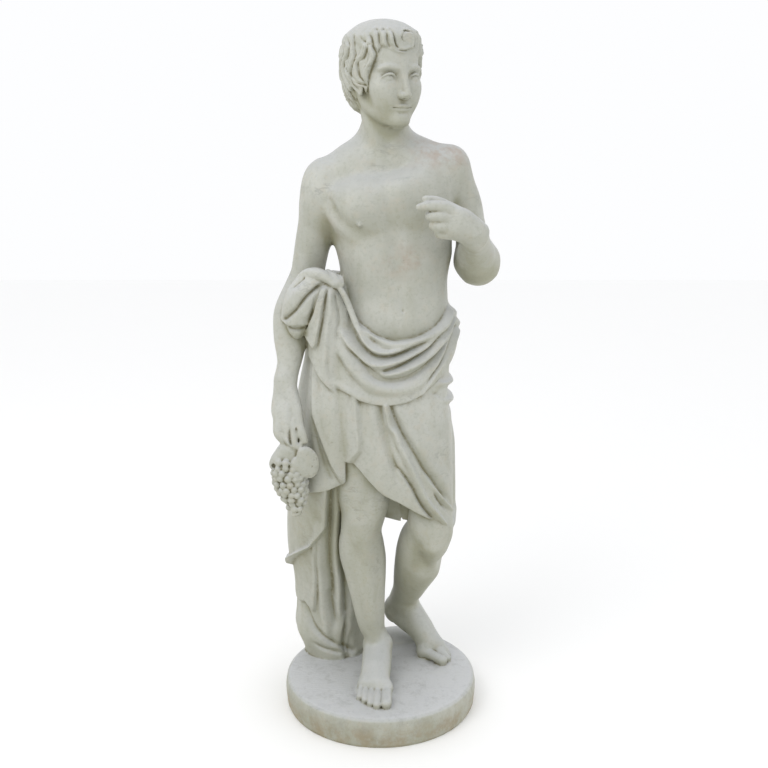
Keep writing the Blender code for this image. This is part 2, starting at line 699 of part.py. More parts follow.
def hair(block):
    """A smooth crown, S-shaped locks all round, a fringe with a curl, and shorter locks on the nape."""
    axes = turned(HEAD_YAW, HEAD_PITCH, HEAD_ROLL)
    centre = np.array(HEAD)
    nape = Column(NAPE)
    nape.axes, nape.origin = axes, centre
    nape.box = nape.place((-0.09, 0, -0.11), (0.09, 0.12, 0.02))
    folds = Relief(-0.097, 0.012, 0.42, 0.001)
    for side in (-1, 1):
        for k, a in enumerate(range(40, 181, 14)):
            drop = 0.007 * (k % 2)
            lock(
                folds,
                [
                    (side * (a + 8), -0.010 - drop), (side * (a + 4), -0.032 - drop),
                    (side * (a - 4), -0.050 - drop), (side * (a - 16), -0.063 - drop),
                ],
                0.007,
            )
            lock(
                folds,
                [
                    (side * (a + 14), -0.052 - drop), (side * (a + 7), -0.070), (side * (a - 3), -0.080),
                    (side * (a - 14), -0.089),
                ],
                0.007,
            )
    nape.relief = folds
    block.add(nape, 0.006)

    crown = Column(HAIR, square=2.1)
    crown.axes, crown.origin = axes, centre
    crown.box = crown.place((-0.09, -0.09, -0.05), (0.09, 0.125, 0.109))
    folds = Relief(-0.062, 0.11, 0.52, 0.001)
    tips = []
    for a in range(80, 181, 20):
        tips += [(a - 6, -0.046), (a + 6, -0.036)]
    left = [(26, 0.034), (36, 0.018), (44, 0.000), (52, -0.024), (62, -0.034)]
    right = [
        (-60, -0.035), (-50, -0.026), (-49, -0.010), (-46, 0.006), (-42, 0.024), (-38, 0.042),
        (-26, 0.045), (-16, 0.038), (-6, 0.034), (6, 0.034), (17, 0.040),
    ]
    folds.trim(bottom=[(-a, z) for a, z in tips[::-1]] + right + left + tips)
    # faint strands on the crown
    for k, a in enumerate(range(-165, 181, 15)):
        sway = 5 * (-1) ** k
        folds.fold([(a, 0.100), (a + 6 + sway, 0.088), (a + 4, 0.072)], 0.0030, -0.0012, fade=(0.3, 0.3))
    # locks that fall from the crest over the sides and the back, towards the face on each side
    for side in (-1, 1):
        for k, a in enumerate(range(64, 184, 16)):
            sway = 4 * (-1) ** k
            drop = 0.004 * (-1) ** k
            points = [
                (a + 4, 0.076 + drop), (a - 8, 0.062), (a - 16 + sway, 0.046), (a - 17, 0.028),
                (a - 10 - sway, 0.010), (a - 8, -0.008), (a - 14 + sway, -0.026), (a - 25, -0.042),
            ]
            lock(folds, [(side * turn, z) for turn, z in points], 0.0082, 0.0068)
        # the lock in front of the ear, swept forwards, and the one at the temple, curled back
        lock(
            folds,
            [(side * turn, z) for turn, z in [(98, 0.006), (86, -0.012), (72, -0.026), (54, -0.034)]],
            0.007,
        )
        lock(
            folds,
            [(side * turn, z) for turn, z in [
                (62, 0.056), (50, 0.044), (45, 0.030), (48, 0.014), (56, 0.004), (60, 0.000),
            ]],
            0.007,
        )
    # fringe
    for a in (-48, -36, -25):
        lock(folds, [(a - 8, 0.086), (a + 1, 0.073), (a + 3, 0.058), (a + 12, 0.044)], 0.0075)
    for a in (30, 43):
        lock(folds, [(a - 4, 0.084), (a + 6, 0.068), (a + 3, 0.046), (a - 4, 0.026)], 0.008)
    # the lock that hangs at the far temple
    lock(folds, [(54, 0.040), (57, 0.022), (58, 0.006), (60, -0.012), (66, -0.028)], 0.0100, 0.0085)
    # curl over the forehead
    lock(
        folds,
        [
            (-24, 0.082), (-22, 0.063), (-15, 0.047), (-4, 0.040), (9, 0.043), (19, 0.055), (20, 0.070),
            (10, 0.081), (-2, 0.079), (-9, 0.069), (-4, 0.059), (5, 0.061),
        ],
        0.0065, 0.0060,
    )
    crown.relief = folds
    block.add(crown, 0.0025)
    block.cut(
        Bar([(0.000, -0.090, 0.073, 0.0032), (0.006, -0.075, 0.070, 0.0032)], 2, axes, centre), 0.002,
    )


def right_leg(block):
    s = [
        (0.105, -0.006, 0.008, 0.030, 0.036, 0.036), (0.135, -0.007, 0.006, 0.0305, 0.034, 0.034),
        (0.16, -0.013, 0.006, 0.0285, 0.030, 0.033), (0.19, -0.022, 0.006, 0.0325, 0.033, 0.038),
        (0.225, -0.027, 0.006, 0.037, 0.037, 0.043), (0.28, -0.0325, 0.004, 0.0430, 0.042, 0.052),
        (0.34, -0.038, -0.002, 0.0510, 0.046, 0.062), (0.39, -0.044, -0.006, 0.0570, 0.048, 0.062),
        (0.43, -0.047, -0.014, 0.0550, 0.046, 0.056), (0.465, -0.047, -0.024, 0.0500, 0.046, 0.050),
        (0.50, -0.042, -0.030, 0.0530, 0.050, 0.052), (0.54, -0.040, -0.030, 0.0560, 0.054, 0.056),
        (0.60, -0.045, -0.026, 0.0640, 0.064, 0.064), (0.70, -0.055, -0.016, 0.0750, 0.078, 0.076),
        (0.80, -0.062, -0.004, 0.0800, 0.086, 0.086), (0.90, -0.060, 0.005, 0.0800, 0.088, 0.095),
    ]
    block.add(Column(s), 0.02)
    # knee cap, the pads below it, the muscle above
    block.add(Egg((-0.040, -0.066, 0.505), (0.026, 0.016, 0.028)), 0.022)
    block.add(Egg((-0.040, -0.060, 0.462), (0.018, 0.012, 0.018)), 0.02)
    block.add(Egg((-0.010, -0.050, 0.560), (0.024, 0.028, 0.045), turned(roll=8)), 0.03)
    block.add(Egg((-0.075, -0.046, 0.580), (0.022, 0.028, 0.050), turned(roll=-6)), 0.03)
    # shin
    block.add(
        Bar(
            [(-0.036, -0.050, 0.43, 0.010), (-0.030, -0.042, 0.32, 0.009), (-0.014, -0.026, 0.18, 0.008)]
        ),
        0.025,
    )
    # ankle bones
    block.add(Egg((0.014, 0.006, 0.146), (0.012, 0.013, 0.015)), 0.012)
    block.add(Egg((-0.034, 0.012, 0.134), (0.011, 0.013, 0.015)), 0.012)


def foot(block, at, axes, heel_axes, side):
    """A foot in its own axes: -Y to the toe tips, Z up, at the ball of the foot on the ground.

    side is +1 when the big toe is towards +X.
    """
    s = side

    def T(points):
        return Bar([(x * s, y, z, r) for x, y, z, r in points], 4, axes, at)

    def H(points):
        return Bar([(x * s, y, z, r) for x, y, z, r in points], 4, heel_axes, at)
    block.add(
        H(
            [
                (-0.002, 0.138, 0.030, 0.028), (0.000, 0.110, 0.034, 0.030), (0.006, 0.06, 0.042, 0.026),
                (0.010, 0.02, 0.028, 0.020),
            ]
        ),
        0.02,
    )
    block.add(
        H(
            [
                (0.000, 0.130, 0.072, 0.025), (0.004, 0.098, 0.070, 0.025), (0.006, 0.055, 0.054, 0.022),
                (0.006, 0.005, 0.032, 0.017),
            ]
        ),
        0.025,
    )
    block.add(
        H([(-0.014, 0.090, 0.052, 0.020), (-0.018, 0.045, 0.042, 0.018), (-0.020, 0.005, 0.024, 0.014)]),
        0.025,
    )
    block.add(
        H([(-0.014, 0.13, 0.016, 0.016), (-0.024, 0.06, 0.018, 0.015), (-0.028, 0.01, 0.014, 0.012)]),
        0.02,
    )
    block.add(
        T(
            [
                (-0.030, 0.016, 0.013, 0.013), (-0.012, 0.004, 0.017, 0.016),
                (0.008, -0.004, 0.020, 0.018), (0.026, -0.004, 0.018, 0.018),
            ]
        ),
        0.015,
    )
    toes = [
        (0.0290, -0.010, -0.074, 0.0128, 0.0), (0.0070, -0.016, -0.074, 0.0092, 0.005),
        (-0.0090, -0.014, -0.064, 0.0084, 0.004), (-0.0235, -0.008, -0.050, 0.0080, 0.004),
        (-0.0365, 0.002, -0.036, 0.0076, 0.003),
    ]
    for x, root, tip, r, arch in toes:
        block.add(
            T(
                [
                    (x * 0.92, root, 0.018, r * 0.95), (x, (root + tip) / 2, r + 0.003 + arch, r * 0.98),
                    (x * 1.01, tip + r * 0.8, r * 0.92, r),
                ]
            ),
            0.0045,
        )


def right_foot(block):
    A = turned(yaw=-3)
    foot(block, (-0.012, -0.117, PLINTH_T - 0.001), A, A, 1)


def left_foot(block):
    yaw = 56
    A = turned(yaw=yaw)
    foot(block, (0.122, 0.084, PLINTH_T - 0.001), A, turned(yaw=yaw, pitch=33), -1)
    # heel, and the outer side of the instep
    block.add(Egg((0.035, 0.155, 0.168), (0.0235, 0.028, 0.036)), 0.02)
    block.add(
        Bar(
            [
                (0.060, 0.125, 0.156, 0.022), (0.108, 0.098, 0.125, 0.0225), (0.146, 0.078, 0.106, 0.018),
                (0.160, 0.070, 0.094, 0.013),
            ]
        ),
        0.015,
    )


def left_leg(block):
    hip, knee, ankle = (0.100, 0.010, 0.86), (0.120, -0.048, 0.500), (0.055, 0.132, 0.207)
    out = (0.62, -0.78, 0)
    thigh = [
        (-0.04, 0, 0, 0.050, 0.075, 0.08), (0.10, 0, 0, 0.052, 0.076, 0.076),
        (0.22, 0, 0, 0.052, 0.060, 0.068), (0.32, 0, 0, 0.048, 0.046, 0.056),
        (0.36, 0, 0, 0.042, 0.039, 0.048), (0.395, 0, 0, 0.030, 0.028, 0.036),
        (0.42, 0, 0, 0.012, 0.012, 0.012),
    ]
    block.add(Column(thigh, start=hip, end=knee, front=(0.35, -0.9, 0)), 0.02)
    # knee, with the knee cap
    block.add(Egg((0.126, -0.048, 0.490), (0.045, 0.042, 0.050)), 0.03)
    block.add(Egg((0.132, -0.044, 0.450), (0.034, 0.038, 0.046)), 0.03)
    block.add(Egg((0.134, -0.077, 0.478), (0.028, 0.017, 0.032), turned(yaw=15, pitch=10)), 0.03)
    shank = [
        (-0.055, 0, 0, 0.016, 0.014, 0.018), (-0.03, 0, 0, 0.036, 0.032, 0.038),
        (0.00, 0, 0, 0.046, 0.041, 0.047), (0.03, 0, 0, 0.048, 0.042, 0.050),
        (0.08, 0, 0.004, 0.052, 0.044, 0.056), (0.13, 0, 0.004, 0.052, 0.044, 0.056),
        (0.19, 0, 0.004, 0.047, 0.042, 0.048), (0.26, 0, 0.002, 0.037, 0.035, 0.039),
        (0.31, 0, 0.000, 0.029, 0.029, 0.033), (0.355, 0, 0.000, 0.028, 0.030, 0.033),
    ]
    block.add(Column(shank, start=knee, end=ankle, front=out), 0.02)
    # calf swelling outwards
    block.add(Egg((0.114, 0.032, 0.385), (0.036, 0.040, 0.080), frame_along(knee, ankle, out)), 0.03)
    block.add(
        Bar(
            [
                (0.112, 0.010, 0.345, 0.0295), (0.095, 0.045, 0.300, 0.0285),
                (0.082, 0.075, 0.258, 0.025), (0.062, 0.110, 0.215, 0.021),
            ]
        ),
        0.032,
    )
    # shin
    block.add(
        Bar([(0.130, -0.086, 0.445, 0.010), (0.122, -0.010, 0.36, 0.009), (0.080, 0.080, 0.26, 0.008)]),
        0.03,
    )


def right_arm(block):
    block.add(Egg((-0.135, 0.016, 1.270), (0.045, 0.052, 0.070), turned(roll=8)), 0.035)
    upper = [
        (-0.055, 0, 0, 0.012, 0.016, 0.016), (-0.02, 0, 0, 0.033, 0.039, 0.039),
        (0.03, 0, 0, 0.041, 0.046, 0.046), (0.10, 0.001, 0, 0.041, 0.044, 0.043),
        (0.17, 0.001, 0, 0.039, 0.039, 0.039), (0.225, 0, 0, 0.038, 0.036, 0.036),
    ]
    block.add(Column(upper, start=R_SHOULDER, end=R_ELBOW, front=(0, -1, 0)), 0.025)
    lower = [
        (-0.045, 0, 0, 0.020, 0.018, 0.018), (-0.02, 0, 0, 0.036, 0.034, 0.034),
        (0.03, 0.008, 0, 0.045, 0.039, 0.037), (0.08, 0.014, 0, 0.046, 0.036, 0.036),
        (0.14, 0.009, 0, 0.039, 0.030, 0.030), (0.20, 0, 0, 0.027, 0.021, 0.022),
        (0.236, 0, 0, 0.0235, 0.017, 0.018), (0.255, 0, 0, 0.016, 0.010, 0.010),
    ]
    block.add(Column(lower, start=R_ELBOW, end=R_WRIST, front=(0, -1, 0)), 0.015)


def right_hand(block):
    palm = [
        (-0.035, 0, 0, 0.012, 0.008, 0.009), (-0.01, 0, 0, 0.0235, 0.017, 0.018),
        (0.02, 0.0, 0, 0.028, 0.017, 0.019), (0.05, 0, 0, 0.0328, 0.016, 0.018),
        (0.075, 0, 0, 0.031, 0.015, 0.016), (0.088, 0, 0, 0.022, 0.010, 0.012),
    ]
    block.add(
        Column(palm, start=(-0.2205, -0.062, 0.845), end=(-0.217, -0.090, 0.765), front=(0.1, -1, -0.2)),
        0.012,
    )
    block.add(Egg((-0.205, -0.092, 0.742), (0.028, 0.014, 0.036)), 0.008)
    # little and ring finger, curled in, and the middle finger across under them
    block.add(
        Bar(
            [
                (-0.235, -0.082, 0.790, 0.0115), (-0.2360, -0.098, 0.757, 0.0112),
                (-0.2345, -0.105, 0.735, 0.0112), (-0.221, -0.105, 0.716, 0.0098),
            ]
        ),
        0.010,
    )
    block.add(
        Bar(
            [
                (-0.214, -0.086, 0.790, 0.0125), (-0.214, -0.104, 0.757, 0.0110),
                (-0.210, -0.112, 0.738, 0.0095),
            ]
        ),
        0.012,
    )
    block.add(
        Bar(
            [
                (-0.222, -0.106, 0.733, 0.0095), (-0.206, -0.117, 0.718, 0.0095),
                (-0.189, -0.117, 0.706, 0.0080),
            ]
        ),
        0.0025,
    )
    # arched hollow with the index finger in it
    block.cut(Egg((-0.2000, -0.1215, 0.735), (0.0120, 0.0115, 0.0260)), 0.003)
    block.add(
        Bar(
            [
                (-0.2005, -0.102, 0.766, 0.0075), (-0.2005, -0.110, 0.750, 0.0075),
                (-0.1990, -0.1135, 0.735, 0.0078), (-0.1965, -0.1180, 0.712, 0.0074),
            ]
        ),
        0.0015,
    )
    # thumb
    block.add(
        Bar(
            [
                (-0.206, -0.072, 0.825, 0.0135), (-0.193, -0.088, 0.790, 0.0125),
                (-0.187, -0.103, 0.757, 0.0108), (-0.179, -0.112, 0.735, 0.0102),
                (-0.1745, -0.114, 0.720, 0.0085),
            ]
        ),
        0.008,
    )
    block.cut(
        Bar(
            [
                (-0.193, -0.112, 0.750, 0.0015), (-0.190, -0.124, 0.735, 0.0025),
                (-0.186, -0.128, 0.716, 0.0025),
            ]
        ),
        0.004,
    )
    # web between thumb and index finger
    block.add(Egg((-0.189, -0.104, 0.724), (0.010, 0.0065, 0.020)), 0.003)


def left_arm(block):
    block.add(Egg((0.168, 0.018, 1.308), (0.039, 0.052, 0.062), turned(roll=-8)), 0.04)
    upper = [
        (-0.05, 0, 0, 0.012, 0.016, 0.016), (-0.02, -0.001, 0, 0.031, 0.038, 0.038),
        (0.03, -0.004, 0, 0.040, 0.046, 0.046), (0.07, -0.006, 0, 0.040, 0.045, 0.043),
        (0.11, -0.005, 0, 0.0375, 0.042, 0.042), (0.14, -0.004, 0, 0.0380, 0.040, 0.040),
        (0.165, -0.001, 0, 0.041, 0.040, 0.041), (0.20, 0, 0, 0.045, 0.040, 0.042),
        (0.225, 0, 0, 0.026, 0.026, 0.026),
    ]
    block.add(Column(upper, start=L_SHOULDER, end=L_ELBOW, front=(0, -1, 0)), 0.011)
    block.add(Egg((0.229, 0.018, 1.110), (0.047, 0.044, 0.049)), 0.02)
    block.cut(
        Bar(
            [(0.162, -0.058, 1.306, 0.001), (0.161, -0.068, 1.287, 0.003), (0.156, -0.074, 1.262, 0.003)]
        ),
        0.012,
    )
    lower = [
        (-0.035, 0, 0, 0.016, 0.016, 0.016), (-0.01, 0, 0, 0.034, 0.034, 0.034),
        (0.04, 0, 0, 0.043, 0.042, 0.043), (0.08, 0, 0, 0.042, 0.041, 0.041),
        (0.13, 0, 0, 0.034, 0.033, 0.033), (0.18, 0, 0, 0.027, 0.024, 0.024),
        (0.21, 0, 0, 0.024, 0.019, 0.019), (0.23, 0, 0, 0.016, 0.012, 0.012),
    ]
    block.add(Column(lower, start=L_ELBOW, end=L_WRIST, front=(0.2, -0.4, 1)), 0.03)


def left_hand(block):
    # wrist, running smoothly from the forearm into the back of the hand
    block.add(
        Bar(
            [
                (0.214, -0.092, 1.166, 0.012), (0.209, -0.122, 1.182, 0.020),
                (0.203, -0.148, 1.196, 0.0235), (0.190, -0.168, 1.208, 0.0235),
                (0.172, -0.182, 1.222, 0.0235),
            ]
        ),
        0.03,
    )
    palm = [
        (-0.022, 0, 0, 0.016, 0.010, 0.010), (0.0, 0, 0, 0.0235, 0.017, 0.017),
        (0.020, 0, 0, 0.0285, 0.020, 0.018), (0.043, 0, 0, 0.0340, 0.020, 0.018),
        (0.058, 0, 0, 0.0335, 0.016, 0.015), (0.072, 0, 0, 0.022, 0.006, 0.008),
    ]
    block.add(
        Column(palm, start=(0.196, -0.166, 1.206), end=(0.148, -0.200, 1.230), front=(-0.25, -1, 0.1)),
        0.025,
    )
    block.add(Egg((0.138, -0.190, 1.229), (0.034, 0.016, 0.035), turned(yaw=15, roll=-10)), 0.010)
    # thumb behind, then the four fingers from the index down
    block.add(
        Bar(
            [
                (0.186, -0.165, 1.235, 0.014), (0.150, -0.176, 1.256, 0.0115),
                (0.118, -0.186, 1.271, 0.0098), (0.096, -0.194, 1.275, 0.0078),
            ]
        ),
        0.005,
    )
    block.add(
        Bar(
            [
                (0.160, -0.190, 1.247, 0.0135), (0.132, -0.203, 1.2598, 0.0126),
                (0.102, -0.205, 1.2620, 0.0104), (0.083, -0.199, 1.2585, 0.0078),
            ]
        ),
        0.0035,
    )
    block.add(
        Bar(
            [
                (0.158, -0.191, 1.232, 0.0135), (0.128, -0.205, 1.2405, 0.0121),
                (0.108, -0.201, 1.240, 0.0104), (0.106, -0.183, 1.239, 0.0095),
                (0.118, -0.168, 1.238, 0.0080),
            ]
        ),
        0.0035,
    )
    block.add(
        Bar(
            [
                (0.158, -0.190, 1.216, 0.0135), (0.133, -0.201, 1.2200, 0.0120),
                (0.116, -0.196, 1.2195, 0.0102), (0.113, -0.180, 1.219, 0.0090),
                (0.124, -0.166, 1.220, 0.0080),
            ]
        ),
        0.0035,
    )
    block.add(
        Bar(
            [
                (0.162, -0.184, 1.2010, 0.0125), (0.140, -0.193, 1.2020, 0.0112),
                (0.127, -0.189, 1.2005, 0.0092), (0.124, -0.175, 1.202, 0.0082),
                (0.134, -0.162, 1.204, 0.0070),
            ]
        ),
        0.0035,
    )


SKIRT = [
    (0.430, 0.0505, 0.000, 0.121, 0.118, 0.110), (0.50, 0.050, -0.004, 0.1245, 0.123, 0.112),
    (0.55, 0.045, -0.004, 0.1295, 0.125, 0.116), (0.65, 0.032, 0.000, 0.1405, 0.124, 0.124),
    (0.75, 0.019, 0.004, 0.1505, 0.122, 0.130), (0.82, 0.013, 0.008, 0.149, 0.120, 0.138),
    (0.90, 0.013, 0.010, 0.152, 0.114, 0.138), (0.96, 0.018, 0.010, 0.150, 0.108, 0.126),
    (1.02, 0.026, 0.010, 0.130, 0.095, 0.104), (1.06, 0.030, 0.010, 0.120, 0.088, 0.092),
]


def skirt(block):
    cloth = Column(SKIRT, square=2.35)
    folds = Relief(0.42, 1.07, 0.90)
    folds.trim(
        bottom=[
            (-180, 0.487), (-110, 0.49), (-75, 0.55), (-58, 0.64), (-52, 0.652), (-42, 0.663),
            (-34, 0.646), (-26, 0.621), (-17, 0.596), (-9, 0.583), (1, 0.571), (10, 0.558), (20, 0.543),
            (31, 0.528), (40, 0.518), (54, 0.496), (71, 0.484), (90, 0.486), (120, 0.49), (180, 0.487),
        ],
        top=[
            (-180, 1.03), (-90, 1.05), (-60, 1.03), (-30, 0.95), (0, 0.90), (30, 0.90), (60, 0.96),
            (90, 1.0), (180, 1.03),
        ],
    )
    # folds from under the middle of the overfold down to the lower left of the wearer
    folds.fold(
        [
            (-1, 0.82), (0, 0.771), (5, 0.739), (8, 0.710), (13, 0.674), (19, 0.630), (26, 0.581),
            (38, 0.538), (54, 0.492),
        ],
        0.0085, 0.013, lean=1.3, fade=(0.05, 0.05),
    )
    folds.fold(
        [(-6, 0.82), (-5, 0.758), (-3, 0.723), (-2, 0.694), (0, 0.662), (3, 0.626), (8, 0.596)], 0.010,
        -0.009, fade=(0.15, 0.3),
    )
    folds.fold(
        [
            (0, 0.700), (2, 0.665), (6, 0.650), (11, 0.631), (17, 0.604), (22, 0.574), (31, 0.541),
            (42, 0.514), (54, 0.486),
        ],
        0.0045, -0.011, fade=(0.25, 0.02), keen=1.4,
    )
    folds.fold(
        [
            (2, 0.82), (7, 0.775), (12, 0.739), (18, 0.707), (24, 0.677), (29, 0.651), (37, 0.624),
            (45, 0.594), (57, 0.566), (76, 0.53),
        ],
        0.0065, -0.011, fade=(0.1, 0.1), keen=1.5,
    )
    folds.fold(
        [(8, 0.81), (14, 0.765), (22, 0.72), (32, 0.672), (46, 0.62), (64, 0.575)], 0.012, 0.006,
        fade=(0.1, 0.2),
    )
    folds.fold([(28, 0.630), (40, 0.595), (55, 0.555), (76, 0.516)], 0.006, 0.006, fade=(0.3, 0.1))
    folds.fold(
        [(35, 0.600), (45, 0.564), (59, 0.531), (78, 0.500)], 0.0045, -0.008, fade=(0.2, 0.1), keen=1.4,
    )
    folds.fold([(20, 0.80), (32, 0.76), (48, 0.72), (66, 0.69)], 0.010, -0.003, fade=(0.3, 0.3))
    folds.fold([(44, 0.69), (60, 0.64), (80, 0.60)], 0.009, -0.004, fade=(0.3, 0.2))
    # pleats gathered at the hip, under the overfold
    folds.fold(
        [(38, 0.848), (60, 0.842), (80, 0.838), (100, 0.836), (135, 0.845)], 0.0075, 0.012,
        fade=(0.2, 0.3),
    )
    folds.fold(
        [(36, 0.826), (60, 0.819), (85, 0.817), (110, 0.82), (135, 0.83)], 0.005, -0.009, fade=(0.2, 0.3),
        keen=1.4,
    )
    folds.fold(
        [(44, 0.806), (62, 0.799), (85, 0.794), (110, 0.795), (135, 0.80)], 0.0075, 0.011,
        fade=(0.3, 0.3),
    )
    folds.fold([(60, 0.780), (85, 0.774), (110, 0.778)], 0.006, -0.005, fade=(0.3, 0.3), keen=1.4)
    # rolled corner of the hem
    folds.fold([(56, 0.500), (68, 0.488), (84, 0.500), (96, 0.53)], 0.010, 0.010, fade=(0.3, 0.4))
    # side and back
    folds.fold([(104, 0.76), (97, 0.68), (92, 0.45)], 0.014, 0.009, fade=(0.3, 0.02))
    for a0, a1, k in (
        (122, 112, -1), (145, 135, 1), (165, 158, -1), (-172, -180, 1), (-150, -160, -1), (-128, -138, 1),
    ):
        folds.fold(
            [(a0, 0.95), ((a0 + a1) / 2 - 2, 0.7), (a1, 0.45)], 0.014, 0.008 * k, fade=(0.15, 0.02),
        )
    # short flap in front of the thigh
    folds.patch(
        [
            (-54, 0.862), (-46, 0.656), (-40, 0.662), (-33, 0.680), (-27, 0.695), (-25, 0.72),
            (-24, 0.768), (-24, 0.838),
        ],
        0.009, 0.004,
    )
    folds.soften()
    cloth.relief = folds
    block.add(cloth, 0.003)
    # hem behind the left knee
    block.add(Bar([(0.040, 0.012, 0.502, 0.014), (0.078, 0.020, 0.502, 0.014)]), 0.004)


SWAG = [
    (0.78, 0.006, 0.008, 0.150, 0.128, 0.142), (0.84, 0.006, 0.010, 0.155, 0.128, 0.150),
    (0.90, 0.009, 0.010, 0.167, 0.122, 0.150), (0.96, 0.014, 0.010, 0.168, 0.114, 0.138),
    (1.00, 0.020, 0.010, 0.150, 0.104, 0.124), (1.02, 0.024, 0.010, 0.136, 0.099, 0.110),
    (1.06, 0.030, 0.010, 0.120, 0.091, 0.100), (1.10, 0.032, 0.010, 0.120, 0.088, 0.094),
    (1.13, 0.032, 0.010, 0.120, 0.088, 0.092),
]


def swag(block):
    cloth = Column(SWAG, square=2.5)
    folds = Relief(0.77, 1.13, 0.90)
    upper = [
        (-180, 1.05), (-120, 1.08), (-80, 1.10), (-64, 1.080), (-50, 1.038), (-38, 1.014), (-26, 0.990),
        (-17, 0.976), (-10, 0.964), (-3, 0.957), (7, 0.950), (14, 0.952), (24, 0.957), (34, 0.968),
        (42, 0.980), (54, 1.004), (69, 1.022), (100, 1.03), (130, 1.04), (180, 1.05),
    ]
    lower = [
        (-180, 0.94), (-120, 0.90), (-84, 0.890), (-60, 0.864), (-45, 0.846), (-34, 0.835), (-27, 0.827),
        (-21, 0.817), (-11, 0.808), (2, 0.804), (15, 0.807), (23, 0.812), (31, 0.821), (39, 0.836),
        (47, 0.851), (55, 0.868), (64, 0.888), (90, 0.93), (130, 0.95), (180, 0.94),
    ]
    folds.trim(upper, lower)
    # rolled upper edge and the fold that leaves it at the knot
    folds.fold(
        [
            (-30, 1.000), (-17, 0.976), (-8, 0.960), (2, 0.945), (12, 0.945), (24, 0.952), (35, 0.963),
            (46, 0.982), (60, 1.004), (80, 1.014),
        ],
        0.0065, 0.007, fade=(0.3, 0.1),
    )
    folds.fold(
        [
            (-68, 1.068), (-57, 1.052), (-45, 1.032), (-31, 1.006), (-21, 0.976), (-14, 0.947),
            (-8, 0.932), (0, 0.926), (8, 0.930), (18, 0.940), (30, 0.953),
        ],
        0.0065, 0.013, fade=(0.05, 0.25), lean=1.3,
    )
    folds.fold([(-21, 0.984), (-12, 0.957), (0, 0.940)], 0.0055, -0.005, fade=(0.4, 0.4))
    # sunk valley and the deep creases on both sides of it
    folds.fold(
        [(-60, 1.040), (-48, 1.022), (-36, 1.000), (-27, 0.972), (-19, 0.948)], 0.007, -0.010,
        fade=(0.1, 0.3),
    )
    folds.fold([(-60, 1.046), (-50, 1.033), (-40, 1.012)], 0.0035, -0.008, fade=(0.2, 0.2), keen=1.4)
    folds.fold(
        [
            (-58, 1.030), (-45, 1.005), (-34, 0.981), (-25, 0.957), (-18, 0.938), (-13, 0.926),
            (-7, 0.917), (1, 0.915), (11, 0.921), (20, 0.932), (31, 0.946), (42, 0.962),
        ],
        0.0055, -0.014, fade=(0.1, 0.25), keen=1.4,
    )
    # middle folds
    folds.fold(
        [
            (-50, 1.000), (-39, 0.985), (-31, 0.961), (-25, 0.938), (-19, 0.915), (-13, 0.903),
            (-5, 0.897), (5, 0.901), (14, 0.910), (23, 0.924), (31, 0.937), (38, 0.953), (45, 0.972),
            (56, 0.996), (76, 1.006),
        ],
        0.0075, 0.010, fade=(0.1, 0.1), lean=1.2,
    )
    folds.fold(
        [
            (-7, 0.881), (3, 0.885), (12, 0.895), (21, 0.909), (29, 0.923), (35, 0.938), (41, 0.957),
            (50, 0.980),
        ],
        0.005, -0.012, fade=(0.15, 0.2), keen=1.4,
    )
    folds.fold(
        [
            (-5, 0.874), (6, 0.877), (16, 0.886), (25, 0.899), (34, 0.916), (41, 0.936), (49, 0.955),
            (60, 0.980), (80, 0.992),
        ],
        0.0065, 0.011, fade=(0.2, 0.1), lean=1.2,
    )
    folds.fold(
        [
            (-34, 0.948), (-25, 0.925), (-20, 0.910), (-14, 0.893), (-9, 0.878), (-3, 0.866), (5, 0.861),
            (14, 0.863), (22, 0.870), (31, 0.885), (39, 0.904), (46, 0.926), (52, 0.944), (60, 0.968),
            (78, 0.980),
        ],
        0.006, -0.015, fade=(0.15, 0.1), keen=1.4,
    )
    folds.fold([(-16, 0.890), (-7, 0.872), (2, 0.862)], 0.009, -0.006, fade=(0.4, 0.4))
    # broad lower field
    folds.fold(
        [
            (-50, 0.985), (-40, 0.955), (-33, 0.925), (-26, 0.895), (-14, 0.862), (1, 0.843), (14, 0.841),
            (26, 0.850), (36, 0.868), (44, 0.892),
        ],
        0.012, 0.007, fade=(0.2, 0.2),
    )
    folds.fold(
        [(-46, 0.945), (-36, 0.915), (-30, 0.885), (-22, 0.855), (-12, 0.832), (4, 0.823), (18, 0.826)],
        0.007, -0.004, fade=(0.3, 0.4),
    )
    # hem standing out over the front of the skirt
    folds.fold(
        [(-44, 0.862), (-34, 0.844), (-26, 0.832), (-18, 0.820), (-8, 0.813)], 0.008, 0.005,
        fade=(0.2, 0.4),
    )
    # narrow folds drawn up to the hip
    folds.fold(
        [(84, 0.965), (66, 0.944), (58, 0.918), (50, 0.894), (43, 0.867), (37, 0.845), (31, 0.823)],
        0.0045, 0.007, fade=(0.1, 0.05),
    )
    folds.fold(
        [(80, 0.975), (62, 0.955), (53, 0.926), (47, 0.899), (41, 0.871), (35, 0.845)], 0.0035, -0.007,
        fade=(0.1, 0.15), keen=1.4,
    )
    folds.fold(
        [(80, 0.984), (60, 0.966), (53, 0.943), (47, 0.914), (42, 0.890), (36, 0.864)], 0.0045, 0.006,
        fade=(0.1, 0.2),
    )
    for a, za, zb in ((110, 1.0, 0.985), (112, 0.975, 0.96)):
        folds.fold(
            [(75, za), (a, za - 0.005), (150, zb), (180, zb), (210, zb + 0.01), (250, zb + 0.03)], 0.010,
            0.009, fade=(0.1, 0.1),
        )
    folds.soften()
    cloth.relief = folds
    block.add(cloth, 0.003)


